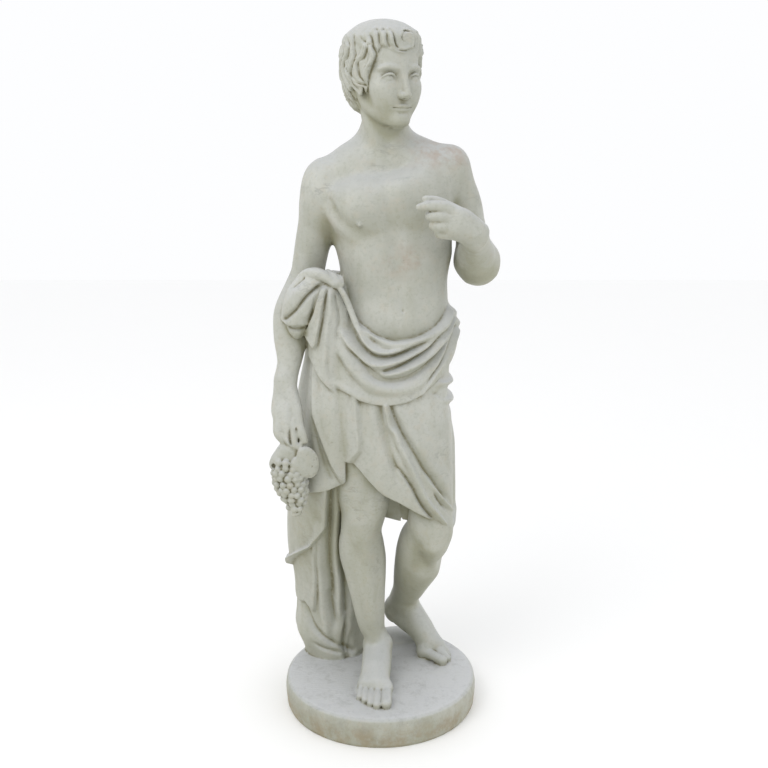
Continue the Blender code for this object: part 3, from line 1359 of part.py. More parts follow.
SIDE = [
    (0.05, -0.118, 0.118, 0.078, 0.075, 0.062), (0.09, -0.121, 0.120, 0.083, 0.075, 0.066),
    (0.13, -0.129, 0.126, 0.092, 0.079, 0.072), (0.185, -0.124, 0.129, 0.094, 0.080, 0.078),
    (0.25, -0.122, 0.125, 0.093, 0.080, 0.085), (0.32, -0.124, 0.115, 0.095, 0.085, 0.088),
    (0.36, -0.127, 0.108, 0.095, 0.092, 0.09), (0.486, -0.125, 0.085, 0.095, 0.105, 0.095),
    (0.57, -0.120, 0.060, 0.092, 0.118, 0.10), (0.65, -0.115, 0.045, 0.090, 0.120, 0.105),
    (0.75, -0.108, 0.040, 0.086, 0.110, 0.11), (0.83, -0.100, 0.038, 0.080, 0.095, 0.11),
    (0.90, -0.093, 0.035, 0.073, 0.088, 0.105), (0.97, -0.098, 0.030, 0.068, 0.085, 0.09),
    (1.03, -0.112, 0.025, 0.066, 0.076, 0.078), (1.06, -0.118, 0.02, 0.056, 0.064, 0.066),
    (1.08, -0.12, 0.018, 0.038, 0.045, 0.048), (1.09, -0.12, 0.018, 0.016, 0.02, 0.02),
]


def side_drape(block):
    cloth = Column(SIDE)
    folds = Relief(0.04, 1.08, 0.56)
    # long folds down to the plinth
    folds.fold(
        [(1, 0.75), (1, 0.536), (1, 0.366), (-2, 0.267), (7, 0.175), (12, 0.140)], 0.007, -0.012,
        fade=(0.05, 0.1),
    )
    folds.fold(
        [(-14, 0.50), (-15, 0.366), (-16, 0.267), (-10, 0.18), (4, 0.125)], 0.010, 0.008, fade=(0.1, 0.1),
    )
    folds.fold(
        [(12, 0.55), (9, 0.368), (9, 0.274), (20, 0.198), (36, 0.135)], 0.009, 0.007, fade=(0.1, 0.1),
    )
    folds.fold([(24, 0.75), (22, 0.45), (22, 0.28), (36, 0.16)], 0.008, -0.010, fade=(0.05, 0.1))
    folds.fold(
        [(-60, 0.25), (-37, 0.178), (-14, 0.142), (19, 0.110), (45, 0.088)], 0.008, -0.010,
        fade=(0.3, 0.05),
    )
    folds.fold([(-40, 0.125), (-25, 0.111), (-2, 0.100), (24, 0.090)], 0.006, -0.006, fade=(0.3, 0.3))
    for a in (-150, -128, -108, 60, 84, 108, 130, 152, 174):
        folds.fold(
            [(a, 0.08), (a + 4, 0.30), (a - 2, 0.6), (a - 6, 0.95)], 0.011, 0.009, fade=(0.02, 0.1),
        )
    # layers that end on the way down
    folds.patch(
        [
            (-290, 1.2), (-290, 0.37), (-200, 0.34), (-130, 0.335), (-100, 0.312), (-88, 0.314),
            (-70, 0.342), (-41, 0.386), (-25, 0.410), (-15, 0.434), (-3, 0.472), (-3, 1.2),
        ],
        0.014, 0.008,
    )
    folds.patch(
        [
            (-100, 0.335), (-95, 0.255), (-73, 0.226), (-58, 0.222), (-48, 0.230), (-42, 0.224),
            (-36, 0.216), (-29, 0.206), (-26, 0.26), (-22, 0.316), (-18, 0.425), (-41, 0.393),
            (-70, 0.352),
        ],
        0.007, 0.003,
    )
    folds.soften()
    cloth.relief = folds
    block.add(cloth, 0.004)


PANEL = [
    (0.54, -0.125, 0, 0.062, 0.092, 0.06), (0.65, -0.125, 0, 0.062, 0.098, 0.06),
    (0.75, -0.12, 0, 0.06, 0.095, 0.06), (0.79, -0.118, 0, 0.059, 0.090, 0.06),
    (0.83, -0.115, 0, 0.056, 0.082, 0.058), (0.88, -0.112, 0, 0.053, 0.077, 0.056),
    (0.93, -0.11, 0, 0.048, 0.072, 0.055), (0.97, -0.11, 0, 0.042, 0.060, 0.05),
]


def panels(block):
    cloth = Column(PANEL, square=2.6)
    folds = Relief(0.53, 1.01, 0.42)
    folds.trim(
        bottom=[
            (-180, 0.60), (-90, 0.585), (-50, 0.575), (-30, 0.583), (-11, 0.587), (7, 0.593), (22, 0.600),
            (34, 0.603), (60, 0.62), (90, 0.66), (180, 0.65),
        ]
    )
    folds.patch(
        [
            (-44, 1.02), (-44, 0.853), (-39, 0.807), (-34, 0.771), (-25, 0.744), (-14, 0.716),
            (-2, 0.683), (9, 0.653), (20, 0.629), (28, 0.613), (34, 0.606), (38, 0.614), (37, 0.712),
            (35, 0.825), (35, 1.02),
        ],
        0.009, 0.003,
    )
    folds.patch([(40, 1.02), (40, 0.5), (90, 0.5), (90, 1.02)], -0.012, 0.008)
    folds.fold(
        [(-42, 0.78), (-31, 0.740), (-20, 0.700), (-5, 0.655), (14, 0.612)], 0.006, -0.006,
        fade=(0.2, 0.1),
    )
    folds.fold([(-34, 0.95), (-28, 0.85), (-18, 0.76), (2, 0.69)], 0.009, -0.004, fade=(0.1, 0.3))
    folds.fold([(8, 0.95), (8, 0.85), (14, 0.75), (24, 0.66)], 0.012, 0.003, fade=(0.1, 0.3))
    folds.soften()
    cloth.relief = folds
    block.add(cloth, 0.003)


MANTLE = [
    (0.80, -0.126, 0, 0.043, 0.104, 0.06), (0.88, -0.125, 0, 0.045, 0.103, 0.06),
    (0.94, -0.120, 0, 0.050, 0.101, 0.06), (1.0, -0.116, 0, 0.052, 0.096, 0.06),
    (1.04, -0.120, -0.004, 0.042, 0.088, 0.06), (1.065, -0.118, -0.008, 0.033, 0.076, 0.055),
    (1.085, -0.112, -0.012, 0.024, 0.060, 0.05),
]


def mantle(block):
    cloth = Column(MANTLE, square=2.6)
    folds = Relief(0.79, 1.10, 0.42)
    folds.trim(
        bottom=[
            (-180, 0.95), (-90, 0.93), (-66, 0.908), (-39, 0.894), (-25, 0.874), (-3, 0.851), (12, 0.840),
            (24, 0.832), (40, 0.820), (70, 0.81), (180, 0.81),
        ]
    )
    # the pleat that ends in a corner beside the forearm
    folds.patch(
        [
            (-26, 1.07), (-26, 1.049), (-35, 1.014), (-51, 0.978), (-70, 0.957), (-48, 0.944),
            (-34, 0.930), (-27, 0.945), (-22, 0.98), (-15, 1.02), (-6, 1.05), (-5, 1.07),
        ],
        0.007, 0.003,
    )
    folds.fold(
        [(-5, 1.069), (-6, 1.043), (-15, 1.003), (-22, 0.953), (-26, 0.90)], 0.005, -0.006,
        fade=(0.1, 0.4), keen=1.5,
    )
    folds.fold(
        [(13, 1.069), (7, 1.021), (-4, 0.965), (-3, 0.908), (6, 0.856)], 0.009, 0.006, fade=(0.1, 0.3),
    )
    folds.fold(
        [(27, 1.064), (30, 1.036), (27, 1.002), (23, 0.97), (26, 0.935), (37, 0.902)], 0.006, -0.006,
        fade=(0.1, 0.3), keen=1.6,
    )
    folds.fold([(50, 1.06), (48, 1.03), (45, 0.99), (42, 0.95)], 0.007, 0.005, fade=(0.1, 0.3))
    folds.fold([(2, 0.919), (11, 0.885), (25, 0.848)], 0.007, -0.003, fade=(0.3, 0.3))
    folds.soften()
    cloth.relief = folds
    block.add(cloth, 0.010)


SLING = [
    (0.948, -0.191, -0.026, 0.010, 0.036, 0.020), (0.956, -0.190, -0.028, 0.0185, 0.042, 0.024),
    (0.968, -0.189, -0.030, 0.0255, 0.047, 0.030), (0.985, -0.188, -0.030, 0.031, 0.052, 0.034),
    (1.00, -0.186, -0.030, 0.034, 0.054, 0.036), (1.02, -0.181, -0.030, 0.036, 0.054, 0.036),
    (1.04, -0.176, -0.030, 0.035, 0.052, 0.036), (1.06, -0.168, -0.030, 0.034, 0.048, 0.034),
    (1.08, -0.154, -0.034, 0.033, 0.040, 0.030), (1.095, -0.148, -0.038, 0.028, 0.030, 0.026),
]


def forearm_drape(block):
    # the cloth that hangs over the forearm
    cloth = Column(SLING, square=2.2)
    folds = Relief(0.94, 1.10, 0.27)
    folds.patch(
        [
            (-100, 1.12), (-100, 0.992), (-70, 0.985), (-30, 0.981), (30, 0.982), (60, 0.985), (75, 1.0),
            (75, 1.12),
        ],
        0.007, 0.003, soft=0.004,
    )
    folds.fold(
        [(-75, 0.979), (-40, 0.975), (-10, 0.974), (20, 0.975), (45, 0.980)], 0.0045, -0.009,
        fade=(0.2, 0.2), keen=1.5,
    )
    folds.fold(
        [(34, 1.080), (24, 1.062), (8, 1.046), (-14, 1.019), (-41, 1.001), (-76, 0.989)], 0.006, -0.012,
        fade=(0.1, 0.15), keen=1.6,
    )
    folds.fold([(-32, 1.092), (-45, 1.080), (-62, 1.060)], 0.004, -0.006, fade=(0.1, 0.3), keen=1.5)
    folds.fold([(40, 1.07), (36, 1.04), (24, 1.01), (8, 0.992)], 0.010, 0.004, fade=(0.2, 0.3))
    folds.fold([(-20, 1.07), (-35, 1.05), (-52, 1.03), (-70, 1.015)], 0.010, 0.004, fade=(0.2, 0.3))
    folds.soften()
    cloth.relief = folds
    block.add(cloth, 0.004)
    # roll along its upper edge, ending in the knot at the waist
    block.add(
        Bar(
            [
                (-0.184, -0.040, 1.086, 0.006), (-0.170, -0.054, 1.095, 0.011),
                (-0.150, -0.066, 1.100, 0.0135), (-0.130, -0.072, 1.096, 0.0135),
                (-0.114, -0.076, 1.087, 0.011), (-0.102, -0.082, 1.078, 0.009),
            ]
        ),
        0.002,
    )
    block.add(
        Bar(
            [
                (-0.118, -0.062, 1.100, 0.009), (-0.104, -0.072, 1.092, 0.009),
                (-0.094, -0.080, 1.080, 0.008),
            ]
        ),
        0.003,
    )
    block.add(
        Bar(
            [
                (-0.098, -0.062, 1.090, 0.007), (-0.090, -0.070, 1.089, 0.007),
                (-0.086, -0.078, 1.078, 0.006),
            ]
        ),
        0.003,
    )
    # the fold that runs from the knot into the overfold, with the crease beside it
    block.add(
        Bar(
            [
                (-0.098, -0.078, 1.078, 0.006), (-0.084, -0.082, 1.058, 0.0065),
                (-0.073, -0.086, 1.036, 0.007), (-0.062, -0.092, 1.008, 0.007),
                (-0.048, -0.099, 0.976, 0.006),
            ]
        ),
        0.005,
    )
    block.cut(
        Bar(
            [
                (-0.097, -0.096, 1.066, 0.002), (-0.088, -0.100, 1.046, 0.003),
                (-0.080, -0.102, 1.030, 0.003), (-0.072, -0.103, 1.014, 0.001),
            ]
        ),
        0.004,
    )


# height, middle and half-width of the bunch
BUNCH = [
    (0.536, -0.198, 0.012), (0.550, -0.199, 0.021), (0.567, -0.199, 0.0265), (0.581, -0.2005, 0.034),
    (0.598, -0.206, 0.039), (0.622, -0.210, 0.043), (0.646, -0.2115, 0.0425), (0.672, -0.212, 0.038),
]


def grapes(block):
    rng = np.random.default_rng(3)
    bunch = np.array(BUNCH)
    size = 0.0083
    for row, height in enumerate(np.arange(0.541, 0.672, 0.0128)):
        middle, half = glide(bunch[:, 0], bunch[:, 1:], [height])[0]
        ring = half - size
        block.add(Egg((middle, -0.104, height), (ring, 0.8 * ring, 0.011)), 0.002)
        count = max(int(2 * math.pi * ring / (2 * size)), 3)
        for i in range(count):
            around = math.radians((i + 0.5 * (row % 2) + rng.uniform(-0.18, 0.18)) * 360 / count)
            out = ring + rng.uniform(-0.0015, 0.0015)
            high = height + rng.uniform(-0.003, 0.003)
            round_size = size * rng.uniform(0.93, 1.1)
            place = (middle + out * math.cos(around), -0.104 + 0.8 * out * math.sin(around), high)
            block.add(Egg(place, (round_size, round_size, 1.05 * round_size)), 0.0008)
    # leaf under the hand, folded over the top of the bunch, with a curled tip
    block.add(Egg((-0.208, -0.110, 0.692), (0.030, 0.014, 0.028), turned(pitch=-15, roll=-10)), 0.004)
    block.add(Egg((-0.233, -0.107, 0.682), (0.015, 0.013, 0.034), turned(pitch=-15, roll=36)), 0.008)
    block.add(Egg((-0.2465, -0.110, 0.663), (0.0095, 0.010, 0.012)), 0.004)
    block.cut(Egg((-0.2465, -0.121, 0.660), (0.0050, 0.009, 0.007)), 0.003)
    # leaf on the other side of the stem, with a toothed edge and drill holes
    leaf, wide, tall = np.array((-0.167, -0.124, 0.669)), 0.0265, 0.0375
    axes = turned(yaw=14, roll=-8)
    block.add(Egg(tuple(leaf), (wide, 0.0080, tall), axes), 0.003)
    block.add(Egg((-0.173, -0.123, 0.690), (0.019, 0.0080, 0.019), axes), 0.004)
    block.add(Egg((-0.189, -0.126, 0.668), (0.016, 0.0080, 0.018), axes), 0.004)
    for around, deep in (
        (-96, 0.80), (-78, 0.90), (-60, 0.84), (-42, 0.92), (-24, 0.82), (-6, 0.90), (12, 0.84),
        (30, 0.92), (48, 0.86), (66, 0.94),
    ):
        out = np.array(
            (wide * math.cos(math.radians(around)), -0.004, tall * math.sin(math.radians(around)))
        )
        block.cut(Bar([(*(1.12 * out), 0.0045), (*(deep * out), 0.0016)], 1, axes, leaf), 0.0015)
    for side, up in (
        (0.010, 0.012), (0.015, 0.005), (0.017, -0.003), (0.011, -0.001), (0.014, -0.013), (0.012, 0.019),
        (0.017, 0.012), (0.008, -0.008),
    ):
        block.cut(
            Egg(tuple(leaf + np.array((side, -0.0075, up)) @ axes), (0.0017, 0.004, 0.0014), axes), 0.001,
        )
    # stem
    block.add(
        Bar(
            [
                (-0.180, -0.114, 0.722, 0.004), (-0.185, -0.120, 0.704, 0.0045),
                (-0.184, -0.120, 0.685, 0.0045),
            ]
        ),
        0.002,
    )


PARTS = [
    plinth, torso, neck, collar, head, hair, right_leg, left_leg, right_foot, left_foot, right_arm,
    left_arm, right_hand, left_hand, skirt, side_drape, panels, swag, mantle, forearm_drape, grapes,
]


def marble():
    """The stone."""
    material = bpy.data.materials.new("marble")
    material.use_nodes = True
    shader = material.node_tree.nodes["Principled BSDF"]
    shader.inputs["Base Color"].default_value = MARBLE
    shader.inputs["Roughness"].default_value = ROUGHNESS
    shader.inputs["Metallic"].default_value = 0.0
    return material


def mesh_object(name, points, faces):
    """A new object with the given points and faces."""
    mesh = bpy.data.meshes.new(name)
    mesh.vertices.add(len(points))
    mesh.vertices.foreach_set("co", np.float32(points).ravel())
    mesh.loops.add(faces.size)
    mesh.loops.foreach_set("vertex_index", np.int32(faces).ravel())
    mesh.polygons.add(len(faces))
    mesh.polygons.foreach_set("loop_start", np.arange(0, faces.size, faces.shape[1], dtype=np.int32))
    mesh.update(calc_edges=True)
    mesh.validate()
    thing = bpy.data.objects.new(name, mesh)
    bpy.context.scene.collection.objects.link(thing)
    return thing


def thin_out(thing, faces):
    """Leaves about the given number of triangles on a mesh of quads."""
    fewer = thing.modifiers.new("fewer", "DECIMATE")
    fewer.ratio = faces / (2 * len(thing.data.polygons))
    bpy.ops.object.select_all(action="DESELECT")
    thing.select_set(True)
    bpy.context.view_layer.objects.active = thing
    bpy.ops.object.modifier_apply(modifier=fewer.name)


def keep_largest(shape):
    """Drops crumbs that hang on nothing."""
    shape.verts.ensure_lookup_table()
    seen, groups = set(), []
    for start in shape.verts:
        if start.index in seen:
            continue
        seen.add(start.index)
        group, front = [], [start]
        while front:
            here = front.pop()
            group.append(here)
            for edge in here.link_edges:
                there = edge.other_vert(here)
                if there.index not in seen:
                    seen.add(there.index)
                    front.append(there)
        groups.append(group)
    groups.sort(key=len)
    for group in groups[:-1]:
        bmesh.ops.delete(shape, geom=group, context="VERTS")


def saw_flat(thing):
    """Saws the underside flat at height 0 and closes it."""
    shape = bmesh.new()
    shape.from_mesh(thing.data)
    everything = shape.verts[:] + shape.edges[:] + shape.faces[:]
    bmesh.ops.bisect_plane(shape, geom=everything, plane_co=(0, 0, 0), plane_no=(0, 0, 1), clear_inner=True)
    keep_largest(shape)
    rim = [edge for edge in shape.edges if edge.is_boundary]
    bmesh.ops.edgeloop_fill(shape, edges=rim)
    bmesh.ops.triangulate(shape, faces=shape.faces[:])
    bmesh.ops.recalc_face_normals(shape, faces=shape.faces[:])
    shape.to_mesh(thing.data)
    shape.free()


def main():
    for old in list(bpy.data.objects):
        bpy.data.objects.remove(old)
    block = Block(*BLOCK, CELL)
    for carve in PARTS:
        carve(block)
    points, faces = block.mesh()
    statue = mesh_object("statue", points, faces)
    thin_out(statue, FACES)
    saw_flat(statue)
    statue.data.materials.append(marble())


main()
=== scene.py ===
"""A classical marble statue of a youth, carved in one block with its cloth, grapes and plinth.

Metres, +Z up. The origin is the centre of the plinth's underside and the statue faces -Y.
Left and right are the youth's own, so the right hand is on the -X side.
"""

import math

import bmesh
import bpy
import numpy as np
import openvdb
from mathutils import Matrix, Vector


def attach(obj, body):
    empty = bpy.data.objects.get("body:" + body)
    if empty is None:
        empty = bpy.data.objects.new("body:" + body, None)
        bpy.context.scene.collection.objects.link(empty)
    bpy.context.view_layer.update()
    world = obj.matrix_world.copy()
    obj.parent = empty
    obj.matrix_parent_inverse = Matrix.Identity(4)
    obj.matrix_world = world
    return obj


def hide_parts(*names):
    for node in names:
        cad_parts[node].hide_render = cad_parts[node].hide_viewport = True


bl_info = {
    "name": "Marble Youth with Grapes",
    "version": (1, 0, 0),
    "blender": (4, 5, 0),
    "location": "View3D > Sidebar > Statue",
    "description": "Carves a draped marble youth on a round plinth and sets it on a studio stage",
    "category": "Add Mesh",
}

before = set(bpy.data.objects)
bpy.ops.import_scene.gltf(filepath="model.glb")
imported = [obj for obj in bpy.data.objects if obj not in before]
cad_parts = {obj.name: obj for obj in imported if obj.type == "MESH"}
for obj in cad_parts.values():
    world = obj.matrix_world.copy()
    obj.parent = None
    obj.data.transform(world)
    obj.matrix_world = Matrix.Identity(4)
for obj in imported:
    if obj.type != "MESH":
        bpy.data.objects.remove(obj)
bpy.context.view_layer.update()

# the rough block, the stretch round the head with a finer grid, and a distance beyond any shape
FAR = 1.0
BLOCK = ((-0.29, -0.27, -0.02), (0.30, 0.27, 1.68))
NEAR_HEAD = ((-0.085, -0.125, 1.400), (0.115, 0.125, 1.660))

# reach and step when looking for hollows and for sheltered sides, and how far above a point the shelter is
HOLLOW = (0.006, 0.003)
SHELTER = (0.028, 0.004)
SHELTER_RISE = 0.012

# the stage; the camera dips by an angle in degrees, and its lens and sensor are in millimetres
FLOOR_SIZE = 14
LAMPS_AIM = (0, 0, 0.9)
CAMERA_PLACE = (0.0086, -2.45, 1.45)
CAMERA_DIP = 14.3
FOCAL_LENGTH, SENSOR = 49.83, 36


def smooth_min(a, b, blend):
    """The smaller of two distances, rounded where they are less than blend apart."""
    if blend <= 0:
        return np.minimum(a, b)
    h = np.maximum(blend - np.abs(a - b), 0) / blend
    return np.minimum(a, b) - h * h * (blend / 4)


def glide(knots, values, at):
    """A smooth curve through values at knots, read at the points at."""
    knots = np.asarray(knots, float)
    values = np.asarray(values, float).reshape(len(knots), -1)
    slopes = np.gradient(values, knots, axis=0)
    at = np.asarray(at, float)
    t = np.clip(at, knots[0], knots[-1])
    i = np.clip(np.searchsorted(knots, t, side="right") - 1, 0, len(knots) - 2)
    span = knots[i + 1] - knots[i]
    s = ((t - knots[i]) / span)[..., None]
    span = span[..., None]
    return (
        values[i] * (1 + 2 * s) * (1 - s) ** 2
        + slopes[i] * span * s * (1 - s) ** 2
        + values[i + 1] * s * s * (3 - 2 * s)
        + slopes[i + 1] * span * s * s * (s - 1)
    )


def spline(points, steps=4):
    """More points along a smooth curve through the given ones."""
    points = np.asarray(points, float)
    if len(points) < 3:
        return points
    gaps = np.linalg.norm(np.diff(points[:, :3], axis=0), axis=1)
    at = np.concatenate([[0], np.cumsum(np.sqrt(gaps))])
    fine = np.unique(np.concatenate([np.linspace(a, b, steps + 1) for a, b in zip(at[:-1], at[1:])]))
    return glide(at, points, fine)


def unit(v):
    v = np.asarray(v, float)
    return v / np.linalg.norm(v)


def frame_along(start, end, front):
    """Rows: side, back, along. The form's own axes in the world."""
    along = unit(np.subtract(end, start))
    back = -unit(np.asarray(front, float) - np.dot(front, along) * along)
    side = np.cross(back, along)
    return np.array([side, back, along])


def turned(yaw=0, pitch=0, roll=0):
    """Rows: the own axes of a form that is turned about Z, then tipped about its own X and Y, in degrees."""
    a, b, c = (math.radians(v) for v in (yaw, pitch, roll))
    rz = np.array([[math.cos(a), -math.sin(a), 0], [math.sin(a), math.cos(a), 0], [0, 0, 1]])
    rx = np.array([[1, 0, 0], [0, math.cos(b), -math.sin(b)], [0, math.sin(b), math.cos(b)]])
    ry = np.array([[math.cos(c), 0, math.sin(c)], [0, 1, 0], [-math.sin(c), 0, math.cos(c)]])
    return (rz @ rx @ ry).T


class Form:
    """A shape to carve with, in its own axes. Called on places, it gives their distance, negative inside."""

    axes = None
    origin = (0, 0, 0)

    def local(self, x, y, z):
        """Places in the form's own axes."""
        if self.axes is None:
            o = self.origin
            return x - o[0], y - o[1], z - o[2]
        dx, dy, dz = (c - o for c, o in zip((x, y, z), np.float32(self.origin)))
        m = np.float32(self.axes)
        return tuple(m[i, 0] * dx + m[i, 1] * dy + m[i, 2] * dz for i in range(3))

    def place(self, low, high):
        """The world box of a box in the form's own axes."""
        if self.axes is None:
            return np.add(low, self.origin), np.add(high, self.origin)
        spans = list(zip(low, high))
        corners = np.array([(a, b, c) for a in spans[0] for b in spans[1] for c in spans[2]])
        world = corners @ self.axes + np.asarray(self.origin)
        return world.min(0), world.max(0)


class Egg(Form):
    """An ellipsoid."""

    def __init__(self, centre, radii, axes=None):
        self.origin, self.radii, self.axes = centre, np.float32(radii), axes
        self.box = self.place(-np.asarray(radii), np.asarray(radii))

    def __call__(self, x, y, z):
        u, v, w = self.local(x, y, z)
        a, b, c = self.radii
        near = np.sqrt((u / a) ** 2 + (v / b) ** 2 + (w / c) ** 2)
        steep = np.sqrt((u / a**2) ** 2 + (v / b**2) ** 2 + (w / c**2) ** 2)
        return near * (near - 1) / np.maximum(steep, 1e-3)


class Bar(Form):
    """A round bar along a curve; points are x, y, z, radius."""

    def __init__(self, points, steps=4, axes=None, origin=(0, 0, 0)):
        points = np.asarray(points, float)
        if axes is not None:
            points = np.hstack([points[:, :3] @ axes + np.asarray(origin), points[:, 3:]])
        self.line = np.float32(spline(points, steps))
        r = self.line[:, 3:].max()
        self.box = self.line[:, :3].min(0) - r, self.line[:, :3].max(0) + r

    def __call__(self, x, y, z):
        best = None
        for a, b in zip(self.line[:-1], self.line[1:]):
            step = b - a
            length = max(float(step[:3] @ step[:3]), 1e-12)
            dx, dy, dz = x - a[0], y - a[1], z - a[2]
            t = np.clip((dx * step[0] + dy * step[1] + dz * step[2]) / length, 0, 1)
            gap = np.sqrt((dx - t * step[0]) ** 2 + (dy - t * step[1]) ** 2 + (dz - t * step[2]) ** 2)
            gap -= a[3] + t * step[3]
            best = gap if best is None else np.minimum(best, gap)
        return best


class Column(Form):
    """A form grown along its own third axis.

    Between its stations it follows a smooth curve, which is kept as a table of many steps.

    A station is height, centre side, centre back, half-width, front depth, back depth.
    square is 2 for an oval section and more for a fuller one. hem is the rounding of a trimmed edge.
    """

    steps = 500
    hem = 0.004

    def __init__(self, stations, square=2.0, start=None, end=None, front=(0, -1, 0)):
        self.stations = np.asarray(stations, float)
        self.square = square
        self.relief = None
        if start is not None:
            self.origin = np.asarray(start, float)
            self.axes = frame_along(start, end, front)
        s = self.stations
        self.table = np.float32(glide(s[:, 0], s[:, 1:], np.linspace(s[0, 0], s[-1, 0], self.steps + 1)))
        reach = s[:, 3:].max() * 1.1
        low = [s[:, 1].min() - reach, s[:, 2].min() - reach, s[0, 0]]
        high = [s[:, 1].max() + reach, s[:, 2].max() + reach, s[-1, 0]]
        self.box = self.place(low, high)

    def seat(self, axes, origin, low, high):
        """Puts the column in turned axes, where it fills the box from low to high."""
        self.axes, self.origin = axes, origin
        self.box = self.place(low, high)

    def __call__(self, x, y, z):
        u, v, w = self.local(x, y, z)
        low, high = self.stations[0, 0], self.stations[-1, 0]
        step = np.clip((w - low) * (self.steps / (high - low)), 0, self.steps - 0.001)
        row = step.astype(np.int32)
        share = (step - row).astype(np.float32)
        side_at, back_at, wide, front, rear = (
            column[row] * (1 - share) + column[row + 1] * share for column in self.table.T.copy()
        )
        du, dv = u - side_at, v - back_at
        deep = np.where(dv < 0, front, rear)
        side, back = du / wide, dv / deep
        n = self.square
        p, q = np.abs(side) + 1e-5, np.abs(back) + 1e-5
        near = (p**n + q**n) ** (1 / n)
        steep = np.hypot(p ** (n - 1) / wide, q ** (n - 1) / deep) * near ** (1 - n)
        steep = np.clip(steep, 1 / np.maximum(wide, deep), 1 / np.minimum(wide, deep))
        out = (near - 1) / steep
        if self.relief is not None:
            angle = np.degrees(np.arctan2(side, -back))
            out = -smooth_min(self.relief.rise(angle, w) - out, -self.relief.beyond(angle, w), self.hem)
        return np.maximum(out, np.maximum(low - w, w - high))


class Relief:
    """Cloth folds on a column, kept as a map of heights.

    The map runs over the angle from the front in degrees, growing towards +X, and over the
    height of the column. girth is the length once round the column.
    """

    def __init__(self, low, high, girth, cell=0.0014):
        self.low, self.cell = low, cell
        self.metre = girth / 360
        self.turns = 360 * max(int(round(self.metre / cell)), 1)
        self.rows = int((high - low) / cell) + 2
        self.angle = np.arange(self.turns) * (360 / self.turns) - 180
        self.height = low + cell * np.arange(self.rows)
        self.map = np.zeros((self.turns, self.rows), np.float32)
        self.top = np.full(self.turns, 10.0, np.float32)
        self.bottom = np.full(self.turns, -10.0, np.float32)

    def curve(self, points):
        """Heights of an edge at every angle, from points of angle and height."""
        points = np.asarray(points, float)
        return glide(points[:, 0], points[:, 1], self.angle)[:, 0]

    def trim(self, top=None, bottom=None):
        """The upper and the lower edge of the cloth, as points of angle and height."""
        if top is not None:
            self.top = self.curve(top).astype(np.float32)
        if bottom is not None:
            self.bottom = self.curve(bottom).astype(np.float32)

    def windows(self, points, margin):
        """The parts of the map near some points, with their places in metres."""
        points = np.asarray(points, float)
        reach = margin / self.metre
        low, high = points[:, 1].min() - margin, points[:, 1].max() + margin
        rows = np.flatnonzero((self.height > low) & (self.height < high))
        for shift in (-360, 0, 360):
            angle = self.angle + shift
            near = (angle > points[:, 0].min() - reach) & (angle < points[:, 0].max() + reach)
            turns = np.flatnonzero(near)
            if len(turns) and len(rows):
                window = slice(turns[0], turns[-1] + 1), slice(rows[0], rows[-1] + 1)
                x, y = np.meshgrid(angle[window[0]] * self.metre, self.height[window[1]], indexing="ij")
                yield window, x, y

    def fold(self, points, wide, high, fade=(0.1, 0.1), lean=1.0, keen=2.0):
        """A ridge along points of angle and height, or a valley when high is negative.

        It rises and dies out over the shares of its length in fade. lean makes one side steeper.
        keen is 2 for a round ridge, nearer 1 for a sharp crease and more for a flat band.
        """
        line = spline(points, 6)
        x, y = line[:, 0] * self.metre, line[:, 1]
        step = np.hypot(np.diff(x), np.diff(y)) + 1e-9
        total = np.concatenate([[0], np.cumsum(step)])
        for window, mx, my in self.windows(line, 3 * wide):
            best = np.full(mx.shape, np.inf)
            along, side = np.zeros(mx.shape), np.zeros(mx.shape)
            for i in range(len(step)):
                dx, dy = (x[i + 1] - x[i]) / step[i], (y[i + 1] - y[i]) / step[i]
                t = np.clip((mx - x[i]) * dx + (my - y[i]) * dy, 0, step[i])
                ex, ey = mx - x[i] - t * dx, my - y[i] - t * dy
                gap = np.hypot(ex, ey)
                closer = gap < best
                best = np.where(closer, gap, best)
                along = np.where(closer, (total[i] + t) / total[-1], along)
                side = np.where(closer, ex * dy - ey * dx, side)
            width = np.where(side > 0, wide / lean, wide)
            share = np.clip(along / fade[0], 0, 1) * np.clip((1 - along) / fade[1], 0, 1)
            share = share * share * (3 - 2 * share)
            self.map[window] += (high * share * np.exp(-((best / width) ** keen))).astype(np.float32)

    def patch(self, points, thick, curl=0.0, soft=0.003):
        """A layer of cloth inside a closed outline of angle and height. curl lifts its edge."""
        points = np.asarray(points, float)
        x, y = points[:, 0] * self.metre, points[:, 1]
        for window, mx, my in self.windows(points, 2 * soft):
            gap = np.full(mx.shape, np.inf)
            inside = np.zeros(mx.shape, bool)
            for i in range(len(points)):
                dx, dy = x[i] - x[i - 1], y[i] - y[i - 1]
                t = np.clip(((mx - x[i]) * dx + (my - y[i]) * dy) / (dx * dx + dy * dy + 1e-12), -1, 0)
                gap = np.minimum(gap, np.hypot(mx - x[i] - t * dx, my - y[i] - t * dy))
                if dy != 0:
                    inside ^= ((y[i] > my) != (y[i - 1] > my)) & (mx < dx * (my - y[i]) / dy + x[i])
            gap = np.where(inside, gap, -gap)
            rise = np.clip(gap / soft + 0.5, 0, 1) * (thick + curl * np.exp(-((gap / 0.01) ** 2)))
            self.map[window] += rise.astype(np.float32)

    def soften(self, times=2):
        """Evens out the map a little, so that no edge is sharper than the stone would hold."""
        for _ in range(times):
            self.map = self.map / 2 + (np.roll(self.map, 1, axis=0) + np.roll(self.map, -1, axis=0)) / 4
            inner = self.map[:, 1:-1] / 2 + (self.map[:, 2:] + self.map[:, :-2]) / 4
            self.map[:, 1:-1] = inner

    def turn(self, angle):
        """Two neighbouring columns of the map and the share of the second."""
        i = (angle + 180) * (self.turns / 360)
        first = np.floor(i).astype(np.int32)
        return first % self.turns, (first + 1) % self.turns, i - first

